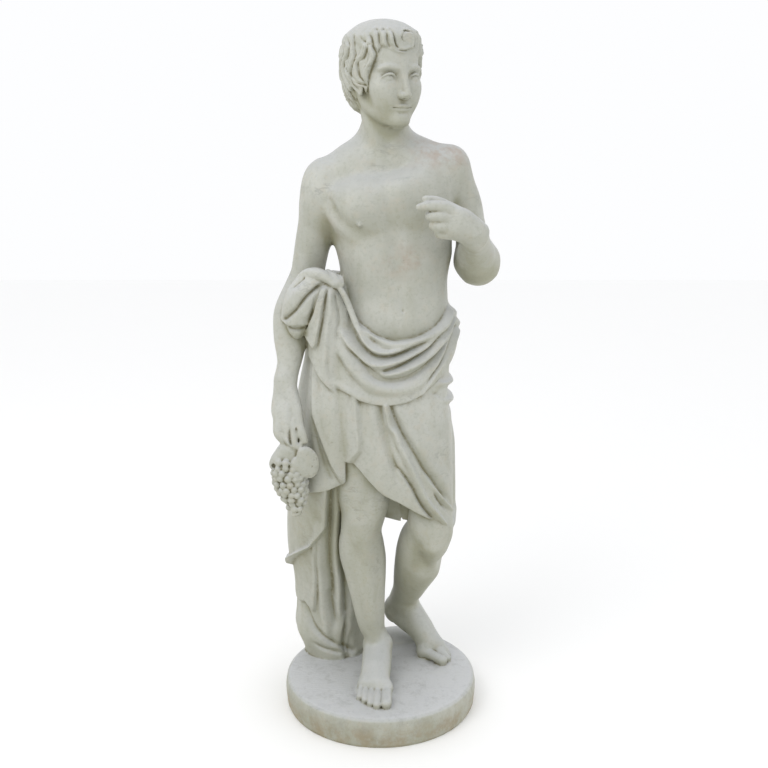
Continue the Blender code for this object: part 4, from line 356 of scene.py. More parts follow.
    def rise(self, angle, height):
        """How far the cloth stands out from the column."""
        a, b, s = self.turn(angle)
        j = np.clip((height - self.low) / self.cell, 0, self.rows - 1.001)
        j = np.broadcast_to(j, a.shape)
        c = np.floor(j).astype(np.int32)
        t = j - c
        m = self.map
        return (m[a, c] * (1 - s) + m[b, c] * s) * (1 - t) + (m[a, c + 1] * (1 - s) + m[b, c + 1] * s) * t

    def beyond(self, angle, height):
        """How far a place is above the upper edge or below the lower edge of the cloth."""
        a, b, s = self.turn(angle)
        over = height - (self.top[a] * (1 - s) + self.top[b] * s)
        under = self.bottom[a] * (1 - s) + self.bottom[b] * s - height
        return np.maximum(over, under)


class Block:
    """A block of marble as a grid of distances to its carved surface, negative inside."""

    def __init__(self, low, high, cell, fine=None):
        """fine is the low corner, the high corner and the cell of a stretch with smaller cells."""
        self.cell = cell
        self.axes = []
        for i in range(3):
            ticks = np.arange(low[i], high[i], cell)
            if fine is not None:
                a, b, small = fine[0][i], fine[1][i], fine[2]
                ticks = np.concatenate([ticks[ticks < a], np.arange(a, b, small), ticks[ticks > b]])
            self.axes.append(ticks.astype(np.float32))
        self.field = np.full([len(ticks) for ticks in self.axes], FAR, np.float32)

    def window(self, box, margin):
        """The part of the grid in and round a box, and its places."""
        spans = []
        for axis, a, b in zip(self.axes, *box):
            first = int(np.searchsorted(axis, a - margin))
            last = int(np.searchsorted(axis, b + margin))
            spans.append(slice(first, max(last, first)))
        x, y, z = (axis[s] for axis, s in zip(self.axes, spans))
        return tuple(spans), (x[:, None, None], y[None, :, None], z[None, None, :])

    def add(self, form, blend=0.01):
        """Leaves marble where the form is, with a fillet of about blend."""
        spans, points = self.window(form.box, blend + 2 * self.cell)
        self.field[spans] = smooth_min(self.field[spans], form(*points).astype(np.float32), blend)

    def cut(self, form, blend=0.004):
        """Takes the form away, with its edge rounded by about blend."""
        spans, points = self.window(form.box, blend + 2 * self.cell)
        self.field[spans] = -smooth_min(-self.field[spans], form(*points).astype(np.float32), blend)

    def clothe(self, column, folds, blend):
        """Adds a column of cloth with its folds."""
        folds.soften()
        column.relief = folds
        self.add(column, blend)

    def polygons(self):
        """Points and four-sided faces of the surface."""
        band = 3 * self.cell
        grid = openvdb.FloatGrid(band)
        grid.copyFromArray(np.clip(self.field, -band, band), tolerance=0)
        steps, triangles, faces = grid.convertToPolygons(isovalue=0.0, adaptivity=0.0)
        places = [np.interp(steps[:, i], np.arange(len(ticks)), ticks) for i, ticks in enumerate(self.axes)]
        return np.stack(places, axis=1), faces[:, ::-1].astype(np.int64)

    def mesh(self):
        """The surface, once no two parts of it touch along an edge."""
        while True:
            points, faces = self.polygons()
            ends = np.sort(np.stack([faces, np.roll(faces, 1, axis=1)], axis=-1).reshape(-1, 2), axis=1)
            edges, shared = np.unique(ends[:, 0] * len(points) + ends[:, 1], return_counts=True)
            touching = edges[shared > 2]
            if not len(touching):
                return points, faces
            for middle in (points[touching // len(points)] + points[touching % len(points)]) / 2:
                self.add(Egg(tuple(middle), (1.5 * self.cell,) * 3), self.cell)


PLINTH_R, PLINTH_T = 0.238, 0.075

# joints of the figure, and the middle and axes of the head
R_SHOULDER = (-0.133, 0.02, 1.275)
R_ELBOW = (-0.175, 0.035, 1.06)
R_WRIST = (-0.2205, -0.062, 0.845)
L_SHOULDER = (0.17, 0.022, 1.305)
L_ELBOW = (0.226, 0.022, 1.108)
L_WRIST = (0.2, -0.165, 1.203)
HEAD = np.array((0.011, -0.012, 1.541))
HEAD_AXES = turned(yaw=32, pitch=2)


def plinth(block):
    # height, and how far the edge is worn back there
    profile = [
        (-0.03, 0.004), (0.0, 0.004), (0.006, 0.001), (0.016, 0), (0.062, 0), (0.071, 0.003),
        (PLINTH_T, 0.009),
    ]
    block.add(Column([(height, 0, 0, *(PLINTH_R - worn,) * 3) for height, worn in profile]), 0)
    # low swelling of the ground at the back, under the raised heel
    block.add(Egg((0.045, 0.165, PLINTH_T - 0.004), (0.085, 0.05, 0.03)), 0.02)


def torso(block):
    # height, centre side, centre back, half-width, front depth, back depth
    stations = [
        (0.78, 0.015, 0.01, 0.13, 0.085, 0.1), (0.86, 0.015, 0.01, 0.138, 0.092, 0.118),
        (0.93, 0.018, 0.01, 0.138, 0.094, 0.115), (1.0, 0.026, 0.008, 0.128, 0.094, 0.095),
        (1.05, 0.03, 0.008, 0.1225, 0.086, 0.084), (1.1, 0.0325, 0.01, 0.126, 0.084, 0.084),
        (1.16, 0.0295, 0.014, 0.1355, 0.094, 0.092), (1.22, 0.023, 0.018, 0.1405, 0.1, 0.1),
        (1.27, 0.015, 0.02, 0.138, 0.096, 0.1), (1.31, 0.01, 0.024, 0.112, 0.082, 0.088),
        (1.345, 0.008, 0.028, 0.078, 0.062, 0.066), (1.375, 0.008, 0.03, 0.045, 0.042, 0.045),
        (1.4, 0.008, 0.03, 0.02, 0.02, 0.02),
    ]
    block.add(Column(stations, square=2.3), 0.01)
    # breast muscles
    block.add(Egg((-0.046, -0.05, 1.248), (0.073, 0.042, 0.055), turned(yaw=-14, roll=-12)), 0.04)
    block.add(Egg((0.085, -0.054, 1.268), (0.073, 0.042, 0.055), turned(yaw=14, roll=12)), 0.04)
    # rib arch and belly
    block.add(Egg((0.036, -0.046, 1.115), (0.075, 0.036, 0.065)), 0.04)
    block.add(Egg((0.046, -0.05, 1.005), (0.08, 0.04, 0.055)), 0.04)
    # flanks
    block.add(Egg((0.118, 0.0, 1.03), (0.028, 0.06, 0.045)), 0.03)
    # middle line
    block.cut(Bar([
        (0.008, -0.105, 1.31, 0.004), (0.022, -0.108, 1.24, 0.006), (0.032, -0.1, 1.17, 0.006),
        (0.04, -0.095, 1.09, 0.005), (0.048, -0.103, 1.04, 0.004),
    ]), 0.025)
    block.cut(Egg((0.051, -0.106, 1.02), (0.0055, 0.014, 0.007)), 0.006)
    # back: shoulder blades and loins
    for side, up in ((-1, 0.0), (1, 0.02)):
        block.add(
            Egg((0.015 + side * 0.072, 0.078, 1.235 + up), (0.055, 0.035, 0.07), turned(roll=side * 8)),
            0.03,
        )
        block.add(Bar([
            (0.03 + side * 0.028, 0.07, 1.0, 0.022), (0.028 + side * 0.03, 0.077, 1.1, 0.022),
            (0.02 + side * 0.03, 0.092, 1.22, 0.018),
        ]), 0.03)
        block.add(Egg((0.015 + side * 0.07, 0.08, 0.865), (0.075, 0.065, 0.085)), 0.03)
    # lower edge of the breast, up into the armpit
    block.cut(Bar([
        (-0.114, -0.05, 1.264, 0.001), (-0.107, -0.06, 1.246, 0.005), (-0.097, -0.071, 1.226, 0.005),
        (-0.08, -0.082, 1.207, 0.004), (-0.06, -0.09, 1.193, 0.003), (-0.036, -0.096, 1.184, 0.002),
        (-0.004, -0.101, 1.182, 0.001),
    ]), 0.026)
    # nipple
    block.add(Egg((-0.045, -0.0905, 1.211), (0.005, 0.0042, 0.0048)), 0.006)


def collar(block):
    # the breast runs on into the raised shoulder
    block.add(Egg((0.118, -0.03, 1.318), (0.055, 0.034, 0.042), turned(yaw=20, roll=-10)), 0.035)
    # collar bones, and the hollows behind them nearly filled
    block.add(Bar([
        (0.014, -0.027, 1.346, 0.004), (-0.045, -0.024, 1.335, 0.004), (-0.1, -0.008, 1.325, 0.006),
        (-0.13, 0.0, 1.315, 0.006),
    ]), 0.04)
    block.add(Bar([
        (0.032, -0.027, 1.348, 0.004), (0.085, -0.025, 1.35, 0.004), (0.13, -0.008, 1.35, 0.006),
        (0.155, 0.0, 1.345, 0.006),
    ]), 0.04)
    block.add(Egg((0.062, 0.008, 1.36), (0.052, 0.034, 0.03), turned(roll=10)), 0.04)
    block.add(Egg((-0.044, 0.01, 1.352), (0.05, 0.034, 0.034), turned(roll=-14)), 0.04)
    block.cut(Egg((0.022, -0.06, 1.364), (0.006, 0.01, 0.008)), 0.02)


def neck(block):
    block.add(Column([
        (-0.03, 0, 0, 0.06, 0.055, 0.06), (0.03, 0, 0, 0.052, 0.05, 0.054),
        (0.11, 0, 0, 0.0485, 0.05, 0.054), (0.16, 0, 0, 0.0485, 0.05, 0.054),
    ], start=(0.008, 0.028, 1.345), end=(0.012, 0.005, 1.47)), 0.03)
    # shoulder slopes
    block.add(Bar([
        (-0.002, 0.045, 1.43, 0.026), (-0.036, 0.045, 1.372, 0.032), (-0.085, 0.035, 1.337, 0.034),
        (-0.13, 0.025, 1.308, 0.034),
    ]), 0.035)
    block.add(Bar([
        (0.022, 0.045, 1.42, 0.024), (0.06, 0.045, 1.38, 0.031), (0.11, 0.035, 1.355, 0.034),
        (0.155, 0.025, 1.338, 0.034),
    ]), 0.035)
    # the long neck muscle on the side the head turns from
    block.add(Bar([
        (-0.034, 0.0, 1.47, 0.009), (-0.022, -0.021, 1.42, 0.009), (0.004, -0.036, 1.362, 0.005),
    ]), 0.025)
    block.add(Bar([
        (0.044, 0.03, 1.46, 0.008), (0.04, -0.004, 1.41, 0.007), (0.028, -0.031, 1.365, 0.004),
    ]), 0.025)


FACE = [
    (-0.118, 0, -0.04, 0.006, 0.016, 0.02), (-0.1155, 0, -0.036, 0.015, 0.034, 0.034),
    (-0.11, 0, -0.03, 0.0235, 0.0455, 0.044), (-0.102, 0, -0.025, 0.03, 0.053, 0.052),
    (-0.091, 0, -0.022, 0.036, 0.054, 0.06), (-0.076, 0, -0.02, 0.0415, 0.055, 0.06),
    (-0.056, 0, -0.018, 0.0475, 0.0575, 0.06), (-0.036, 0, -0.016, 0.0535, 0.06, 0.06),
    (-0.016, 0, -0.014, 0.0585, 0.061, 0.06), (0.006, 0, -0.012, 0.061, 0.065, 0.06),
    (0.034, 0, -0.01, 0.0625, 0.066, 0.06), (0.06, 0, -0.006, 0.06, 0.061, 0.06),
    (0.085, 0, 0.0, 0.048, 0.048, 0.05),
]


def head(block):
    """The head, in its own axes: -Y to the face, Z up, from the middle of the skull."""

    def egg(place, radii, blend, carve=block.add, turn=(0, 0, 0)):
        carve(Egg(tuple(np.asarray(place) @ HEAD_AXES + HEAD), radii, turned(*turn) @ HEAD_AXES), blend)

    def bar(points, blend, carve=block.add, side=1):
        mirrored = [(side * x, y, z, radius) for x, y, z, radius in points]
        carve(Bar(mirrored, 5, HEAD_AXES, HEAD), blend)

    # skull, face and jaw
    egg((0, 0.02, 0.022), (0.07, 0.082, 0.078), 0.01)
    mask = Column(FACE, square=2.25)
    mask.seat(HEAD_AXES, HEAD, (-0.07, -0.09, -0.118), (0.07, 0.07, 0.085))
    block.add(mask, 0.012)
    for side in (-1, 1):
        # angle of the jaw, cheek bone, full cheek, brow
        bar([
            (0.053, 0.018, -0.04, 0.01), (0.049, 0.004, -0.068, 0.009), (0.034, -0.028, -0.092, 0.008),
            (0.012, -0.058, -0.108, 0.007),
        ], 0.024, side=side)
        egg((side * 0.04, -0.046, -0.034), (0.017, 0.02, 0.018), 0.03)
        egg((side * 0.029, -0.052, -0.06), (0.016, 0.018, 0.022), 0.03)
        # socket, ball and lids of the eye
        bar([
            (0.019, -0.0845, -0.012, 0.009), (0.031, -0.085, -0.01, 0.0115), (0.046, -0.075, -0.012, 0.009),
        ], 0.012, block.cut, side)
        bar([
            (0.01, -0.075, 0.003, 0.0018), (0.025, -0.075, 0.0065, 0.002), (0.04, -0.069, 0.0075, 0.002),
            (0.052, -0.0585, 0.003, 0.0016),
        ], 0.014, side=side)
        egg((side * 0.031, -0.059, -0.0165), (0.0155, 0.0142, 0.0122), 0.0015)
        bar([
            (0.016, -0.069, -0.019, 0.0016), (0.0225, -0.0732, -0.0104, 0.0025),
            (0.031, -0.0745, -0.0072, 0.0028), (0.04, -0.0704, -0.009, 0.0025),
            (0.0495, -0.061, -0.0172, 0.0016),
        ], 0.0012, side=side)
        bar([
            (0.0165, -0.069, -0.0195, 0.0014), (0.0235, -0.0722, -0.024, 0.0017),
            (0.0315, -0.0724, -0.0256, 0.0018), (0.04, -0.0686, -0.0242, 0.0017),
            (0.048, -0.062, -0.0185, 0.0014),
        ], 0.0016, side=side)
        # line under the upper lid
        bar([
            (0.019, -0.0728, -0.016, 0.0008), (0.024, -0.075, -0.0134, 0.0012),
            (0.031, -0.0758, -0.0115, 0.0013), (0.039, -0.0724, -0.0126, 0.0012),
            (0.045, -0.0674, -0.016, 0.0008),
        ], 0.001, block.cut, side)
    # nose: a wedge from the forehead, its ridge, tip and wings
    for side in (-1, 1):
        bar([
            (0.002, -0.067, -0.002, 0.0085), (0.003, -0.0715, -0.026, 0.0085),
            (0.004, -0.0765, -0.046, 0.0088),
        ], 0.008, side=side)
    bar([
        (0, -0.0725, 0.014, 0.007), (0, -0.078, -0.004, 0.006), (0, -0.0855, -0.024, 0.0056),
        (0, -0.092, -0.042, 0.006), (0, -0.0938, -0.049, 0.0062),
    ], 0.009)
    bar([(0, -0.0905, -0.0555, 0.0046), (0, -0.082, -0.0585, 0.0036)], 0.005)
    for side in (-1, 1):
        egg((side * 0.0084, -0.0855, -0.052), (0.0064, 0.0092, 0.0064), 0.006)
        egg((side * 0.0054, -0.0885, -0.059), (0.0025, 0.0048, 0.0028), 0.0015, block.cut)
    # groove under the nose
    bar([(0, -0.081, -0.0625, 0.001), (0, -0.0822, -0.07, 0.0014)], 0.004, block.cut)
    # lips
    for side in (-1, 1):
        bar([
            (0.022, -0.0705, -0.0765, 0.0014), (0.013, -0.076, -0.0752, 0.003),
            (0.0048, -0.0787, -0.0738, 0.0036), (0, -0.0785, -0.0746, 0.0034),
        ], 0.004, side=side)
    bar([
        (-0.0195, -0.0705, -0.079, 0.0016), (-0.011, -0.0748, -0.082, 0.0036),
        (0, -0.0762, -0.0834, 0.0042), (0.011, -0.0748, -0.082, 0.0036), (0.0195, -0.0705, -0.079, 0.0016),
    ], 0.004)
    bar([
        (-0.0232, -0.0725, -0.0768, 0.0011), (-0.012, -0.0785, -0.078, 0.0013),
        (0, -0.0808, -0.079, 0.0013), (0.012, -0.0785, -0.078, 0.0013), (0.0232, -0.0725, -0.0768, 0.0011),
    ], 0.0014, block.cut)
    # hollow under the lower lip, then the chin
    bar([(-0.008, -0.0785, -0.0895, 0.0012), (0.008, -0.0785, -0.0895, 0.0012)], 0.01, block.cut)
    egg((0, -0.068, -0.104), (0.014, 0.012, 0.011), 0.016)
    # ears
    for side in (-1, 1):
        egg((side * 0.064, -0.002, -0.026), (0.006, 0.016, 0.029), 0.005, turn=(side * 18, -12, 0))
        bar([
            (0.065, -0.014, -0.02, 0.0028), (0.071, -0.002, 0.0, 0.0032), (0.074, 0.01, -0.012, 0.0034),
            (0.071, 0.006, -0.034, 0.0034), (0.0665, -0.007, -0.05, 0.0048),
        ], 0.003, side=side)
        egg((side * 0.0715, -0.004, -0.026), (0.005, 0.008, 0.013), 0.003, block.cut)


HAIR = [
    (-0.06, -0.002, 0.026, 0.064, 0.05, 0.068), (-0.045, -0.002, 0.023, 0.072, 0.072, 0.078),
    (-0.03, -0.002, 0.022, 0.077, 0.082, 0.085), (-0.01, -0.002, 0.022, 0.08, 0.09, 0.09),
    (0.01, -0.003, 0.0225, 0.08, 0.094, 0.092), (0.04, -0.0025, 0.0215, 0.0795, 0.097, 0.09),
]
# the dome of the crown
for turn in range(0, 88, 6):
    rise, run = math.sin(math.radians(turn)), math.cos(math.radians(turn))
    HAIR.append(
        (
            0.06 + 0.0485 * rise, 0.004 * rise, 0.02 - 0.002 * rise, 0.0768 * run, 0.0945 * run,
            0.0857 * run,
        )
    )
NAPE = [
    (-0.096, 0, 0.052, 0.028, 0.03, 0.02), (-0.086, 0, 0.05, 0.044, 0.036, 0.031),
    (-0.068, 0, 0.048, 0.057, 0.04, 0.044), (-0.046, 0, 0.046, 0.068, 0.045, 0.056),
    (-0.018, 0, 0.042, 0.073, 0.05, 0.063), (0.01, 0, 0.04, 0.07, 0.05, 0.06),
]


def lock(folds, points, wide=0.0095, high=0.0065):
    """A lock of hair: a rounded ridge with fine grooves along it and a deep one beside it."""
    sway = math.degrees(wide / 0.085)
    folds.fold(points, wide, high, fade=(0.12, 0.25), lean=1.3)
    for share in (-0.7, -0.22, 0.26):
        folds.fold([(a + share * sway, z) for a, z in points], wide * 0.17, -high * 0.4, fade=(0.15, 0.25))
    folds.fold([(a + 1.1 * sway, z) for a, z in points], wide * 0.38, -high * 0.75, fade=(0.12, 0.15))


def hair(block):
    """A smooth crown, S-shaped locks all round, a fringe with a curl, and shorter locks on the nape."""
    nape = Column(NAPE)
    nape.seat(HEAD_AXES, HEAD, (-0.09, 0, -0.11), (0.09, 0.12, 0.02))
    folds = Relief(-0.097, 0.012, 0.42, 0.001)
    for side in (-1, 1):
        for k, a in enumerate(range(40, 181, 14)):
            drop = 0.007 * (k % 2)
            lock(folds, [
                (side * (a + 8), -0.01 - drop), (side * (a + 4), -0.032 - drop),
                (side * (a - 4), -0.05 - drop), (side * (a - 16), -0.063 - drop),
            ], 0.007)
            lock(folds, [
                (side * (a + 14), -0.052 - drop), (side * (a + 7), -0.07), (side * (a - 3), -0.08),
                (side * (a - 14), -0.089),
            ], 0.007)
    nape.relief = folds
    block.add(nape, 0.006)

    crown = Column(HAIR, square=2.1)
    crown.seat(HEAD_AXES, HEAD, (-0.09, -0.09, -0.05), (0.09, 0.125, 0.109))
    folds = Relief(-0.062, 0.11, 0.52, 0.001)
    tips = []
    for a in range(80, 181, 20):
        tips += [(a - 6, -0.046), (a + 6, -0.036)]
    left = [(26, 0.034), (36, 0.018), (44, 0.0), (52, -0.024), (62, -0.034)]
    right = [
        (-60, -0.035), (-50, -0.026), (-49, -0.01), (-46, 0.006), (-42, 0.024), (-38, 0.042), (-26, 0.045),
        (-16, 0.038), (-6, 0.034), (6, 0.034), (17, 0.04),
    ]
    folds.trim(bottom=[(-a, z) for a, z in tips[::-1]] + right + left + tips)
    # faint strands on the crown
    for k, a in enumerate(range(-165, 181, 15)):
        sway = 5 * (-1) ** k
        folds.fold([(a, 0.1), (a + 6 + sway, 0.088), (a + 4, 0.072)], 0.003, -0.0012, fade=(0.3, 0.3))
    # locks that fall from the crest over the sides and the back, towards the face on each side
    for side in (-1, 1):
        for k, a in enumerate(range(64, 184, 16)):
            sway = 4 * (-1) ** k
            drop = 0.004 * (-1) ** k
            points = [
                (a + 4, 0.076 + drop), (a - 8, 0.062), (a - 16 + sway, 0.046), (a - 17, 0.028),
                (a - 10 - sway, 0.01), (a - 8, -0.008), (a - 14 + sway, -0.026), (a - 25, -0.042),
            ]
            lock(folds, [(side * turn, z) for turn, z in points], 0.0082, 0.0068)
        # the lock in front of the ear, swept forwards, and the one at the temple, curled back
        lock(folds, [(side * turn, z) for turn, z in [
            (98, 0.006), (86, -0.012), (72, -0.026), (54, -0.034),
        ]], 0.007)
        lock(folds, [(side * turn, z) for turn, z in [
            (62, 0.056), (50, 0.044), (45, 0.03), (48, 0.014), (56, 0.004), (60, 0.0),
        ]], 0.007)
    # fringe
    for a in (-48, -36, -25):
        lock(folds, [(a - 8, 0.086), (a + 1, 0.073), (a + 3, 0.058), (a + 12, 0.044)], 0.0075)
    for a in (30, 43):
        lock(folds, [(a - 4, 0.084), (a + 6, 0.068), (a + 3, 0.046), (a - 4, 0.026)], 0.008)
    # the lock that hangs at the far temple
    lock(folds, [(54, 0.04), (57, 0.022), (58, 0.006), (60, -0.012), (66, -0.028)], 0.01, 0.0085)
    # curl over the forehead
    lock(folds, [
        (-24, 0.082), (-22, 0.063), (-15, 0.047), (-4, 0.04), (9, 0.043), (19, 0.055), (20, 0.07),
        (10, 0.081), (-2, 0.079), (-9, 0.069), (-4, 0.059), (5, 0.061),
    ], 0.0065, 0.006)
    crown.relief = folds
    block.add(crown, 0.0025)
    block.cut(Bar([(0.0, -0.09, 0.073, 0.0032), (0.006, -0.075, 0.07, 0.0032)], 2, HEAD_AXES, HEAD), 0.002)


def right_leg(block):
    stations = [
        (0.105, -0.006, 0.008, 0.03, 0.036, 0.036), (0.135, -0.007, 0.006, 0.0305, 0.034, 0.034),
        (0.16, -0.013, 0.006, 0.0285, 0.03, 0.033), (0.19, -0.022, 0.006, 0.0325, 0.033, 0.038),
        (0.225, -0.027, 0.006, 0.037, 0.037, 0.043), (0.28, -0.0325, 0.004, 0.043, 0.042, 0.052),
        (0.34, -0.038, -0.002, 0.051, 0.046, 0.062), (0.39, -0.044, -0.006, 0.057, 0.048, 0.062),
        (0.43, -0.047, -0.014, 0.055, 0.046, 0.056), (0.465, -0.047, -0.024, 0.05, 0.046, 0.05),
        (0.5, -0.042, -0.03, 0.053, 0.05, 0.052), (0.54, -0.04, -0.03, 0.056, 0.054, 0.056),
        (0.6, -0.045, -0.026, 0.064, 0.064, 0.064), (0.7, -0.055, -0.016, 0.075, 0.078, 0.076),
        (0.8, -0.062, -0.004, 0.08, 0.086, 0.086), (0.9, -0.06, 0.005, 0.08, 0.088, 0.095),
    ]
    block.add(Column(stations), 0.02)
    # knee cap, the pads below it, the muscle above
    block.add(Egg((-0.04, -0.066, 0.505), (0.026, 0.016, 0.028)), 0.022)
    block.add(Egg((-0.04, -0.06, 0.462), (0.018, 0.012, 0.018)), 0.02)
    block.add(Egg((-0.01, -0.05, 0.56), (0.024, 0.028, 0.045), turned(roll=8)), 0.03)
    block.add(Egg((-0.075, -0.046, 0.58), (0.022, 0.028, 0.05), turned(roll=-6)), 0.03)
    # shin
    block.add(Bar([
        (-0.036, -0.05, 0.43, 0.01), (-0.03, -0.042, 0.32, 0.009), (-0.014, -0.026, 0.18, 0.008),
    ]), 0.025)
    # ankle bones
    block.add(Egg((0.014, 0.006, 0.146), (0.012, 0.013, 0.015)), 0.012)
    block.add(Egg((-0.034, 0.012, 0.134), (0.011, 0.013, 0.015)), 0.012)


def foot(block, at, axes, heel_axes, side):
    """A foot in its own axes: -Y to the toe tips, Z up, at the ball of the foot on the ground.

    side is +1 when the big toe is towards +X.
    """

    def bar(points, blend, own_axes):
        mirrored = [(side * x, y, z, radius) for x, y, z, radius in points]
        block.add(Bar(mirrored, 4, own_axes, at), blend)

    # heel and instep
    bar([
        (-0.002, 0.138, 0.03, 0.028), (0.0, 0.11, 0.034, 0.03), (0.006, 0.06, 0.042, 0.026),
        (0.01, 0.02, 0.028, 0.02),
    ], 0.02, heel_axes)
    bar([
        (0.0, 0.13, 0.072, 0.025), (0.004, 0.098, 0.07, 0.025), (0.006, 0.055, 0.054, 0.022),
        (0.006, 0.005, 0.032, 0.017),
    ], 0.025, heel_axes)
    bar([
        (-0.014, 0.09, 0.052, 0.02), (-0.018, 0.045, 0.042, 0.018), (-0.02, 0.005, 0.024, 0.014),
    ], 0.025, heel_axes)
    bar([
        (-0.014, 0.13, 0.016, 0.016), (-0.024, 0.06, 0.018, 0.015), (-0.028, 0.01, 0.014, 0.012),
    ], 0.02, heel_axes)
    # ball of the foot, then the toes: side, root, tip, radius and arch of each
    bar([
        (-0.03, 0.016, 0.013, 0.013), (-0.012, 0.004, 0.017, 0.016), (0.008, -0.004, 0.02, 0.018),
        (0.026, -0.004, 0.018, 0.018),
    ], 0.015, axes)
    toes = [
        (0.029, -0.01, -0.074, 0.0128, 0.0), (0.007, -0.016, -0.074, 0.0092, 0.005),
        (-0.009, -0.014, -0.064, 0.0084, 0.004), (-0.0235, -0.008, -0.05, 0.008, 0.004),
        (-0.0365, 0.002, -0.036, 0.0076, 0.003),
    ]
    for x, root, tip, r, arch in toes:
        bar([
            (x * 0.92, root, 0.018, r * 0.95), (x, (root + tip) / 2, r + 0.003 + arch, r * 0.98),
            (x * 1.01, tip + r * 0.8, r * 0.92, r),
        ], 0.0045, axes)


def right_foot(block):
    axes = turned(yaw=-3)
    foot(block, (-0.012, -0.117, PLINTH_T - 0.001), axes, axes, 1)


def left_foot(block):
    yaw = 56
    foot(block, (0.122, 0.084, PLINTH_T - 0.001), turned(yaw=yaw), turned(yaw=yaw, pitch=33), -1)
    # heel, and the outer side of the instep
    block.add(Egg((0.035, 0.155, 0.168), (0.0235, 0.028, 0.036)), 0.02)
    block.add(Bar([
        (0.06, 0.125, 0.156, 0.022), (0.108, 0.098, 0.125, 0.0225), (0.146, 0.078, 0.106, 0.018),
        (0.16, 0.07, 0.094, 0.013),
    ]), 0.015)


def left_leg(block):
    hip, knee, ankle = (0.1, 0.01, 0.86), (0.12, -0.048, 0.5), (0.055, 0.132, 0.207)
    out = (0.62, -0.78, 0)
    thigh = [
        (-0.04, 0, 0, 0.05, 0.075, 0.08), (0.1, 0, 0, 0.052, 0.076, 0.076),
        (0.22, 0, 0, 0.052, 0.06, 0.068), (0.32, 0, 0, 0.048, 0.046, 0.056),
        (0.36, 0, 0, 0.042, 0.039, 0.048), (0.395, 0, 0, 0.03, 0.028, 0.036),
        (0.42, 0, 0, 0.012, 0.012, 0.012),
    ]
    block.add(Column(thigh, start=hip, end=knee, front=(0.35, -0.9, 0)), 0.02)
    # knee, with the knee cap
    block.add(Egg((0.126, -0.048, 0.49), (0.045, 0.042, 0.05)), 0.03)
    block.add(Egg((0.132, -0.044, 0.45), (0.034, 0.038, 0.046)), 0.03)
    block.add(Egg((0.134, -0.077, 0.478), (0.028, 0.017, 0.032), turned(yaw=15, pitch=10)), 0.03)
    shank = [
        (-0.055, 0, 0, 0.016, 0.014, 0.018), (-0.03, 0, 0, 0.036, 0.032, 0.038),
        (0.0, 0, 0, 0.046, 0.041, 0.047), (0.03, 0, 0, 0.048, 0.042, 0.05),
        (0.08, 0, 0.004, 0.052, 0.044, 0.056), (0.13, 0, 0.004, 0.052, 0.044, 0.056),
        (0.19, 0, 0.004, 0.047, 0.042, 0.048), (0.26, 0, 0.002, 0.037, 0.035, 0.039),
        (0.31, 0, 0.0, 0.029, 0.029, 0.033), (0.355, 0, 0.0, 0.028, 0.03, 0.033),
    ]
    block.add(Column(shank, start=knee, end=ankle, front=out), 0.02)
    # calf swelling outwards
    block.add(Egg((0.114, 0.032, 0.385), (0.036, 0.04, 0.08), frame_along(knee, ankle, out)), 0.03)
    block.add(Bar([
        (0.112, 0.01, 0.345, 0.0295), (0.095, 0.045, 0.3, 0.0285), (0.082, 0.075, 0.258, 0.025),
        (0.062, 0.11, 0.215, 0.021),
    ]), 0.032)
    # shin
    block.add(Bar([
        (0.13, -0.086, 0.445, 0.01), (0.122, -0.01, 0.36, 0.009), (0.08, 0.08, 0.26, 0.008),
    ]), 0.03)


def right_arm(block):
    block.add(Egg((-0.135, 0.016, 1.27), (0.045, 0.052, 0.07), turned(roll=8)), 0.035)
    upper = [
        (-0.055, 0, 0, 0.012, 0.016, 0.016), (-0.02, 0, 0, 0.033, 0.039, 0.039),
        (0.03, 0, 0, 0.041, 0.046, 0.046), (0.1, 0.001, 0, 0.041, 0.044, 0.043),
        (0.17, 0.001, 0, 0.039, 0.039, 0.039), (0.225, 0, 0, 0.038, 0.036, 0.036),
    ]
    block.add(Column(upper, start=R_SHOULDER, end=R_ELBOW, front=(0, -1, 0)), 0.025)
    lower = [
        (-0.045, 0, 0, 0.02, 0.018, 0.018), (-0.02, 0, 0, 0.036, 0.034, 0.034),
        (0.03, 0.008, 0, 0.045, 0.039, 0.037), (0.08, 0.014, 0, 0.046, 0.036, 0.036),
        (0.14, 0.009, 0, 0.039, 0.03, 0.03), (0.2, 0, 0, 0.027, 0.021, 0.022),
        (0.236, 0, 0, 0.0235, 0.017, 0.018), (0.255, 0, 0, 0.016, 0.01, 0.01),
    ]
    block.add(Column(lower, start=R_ELBOW, end=R_WRIST, front=(0, -1, 0)), 0.015)


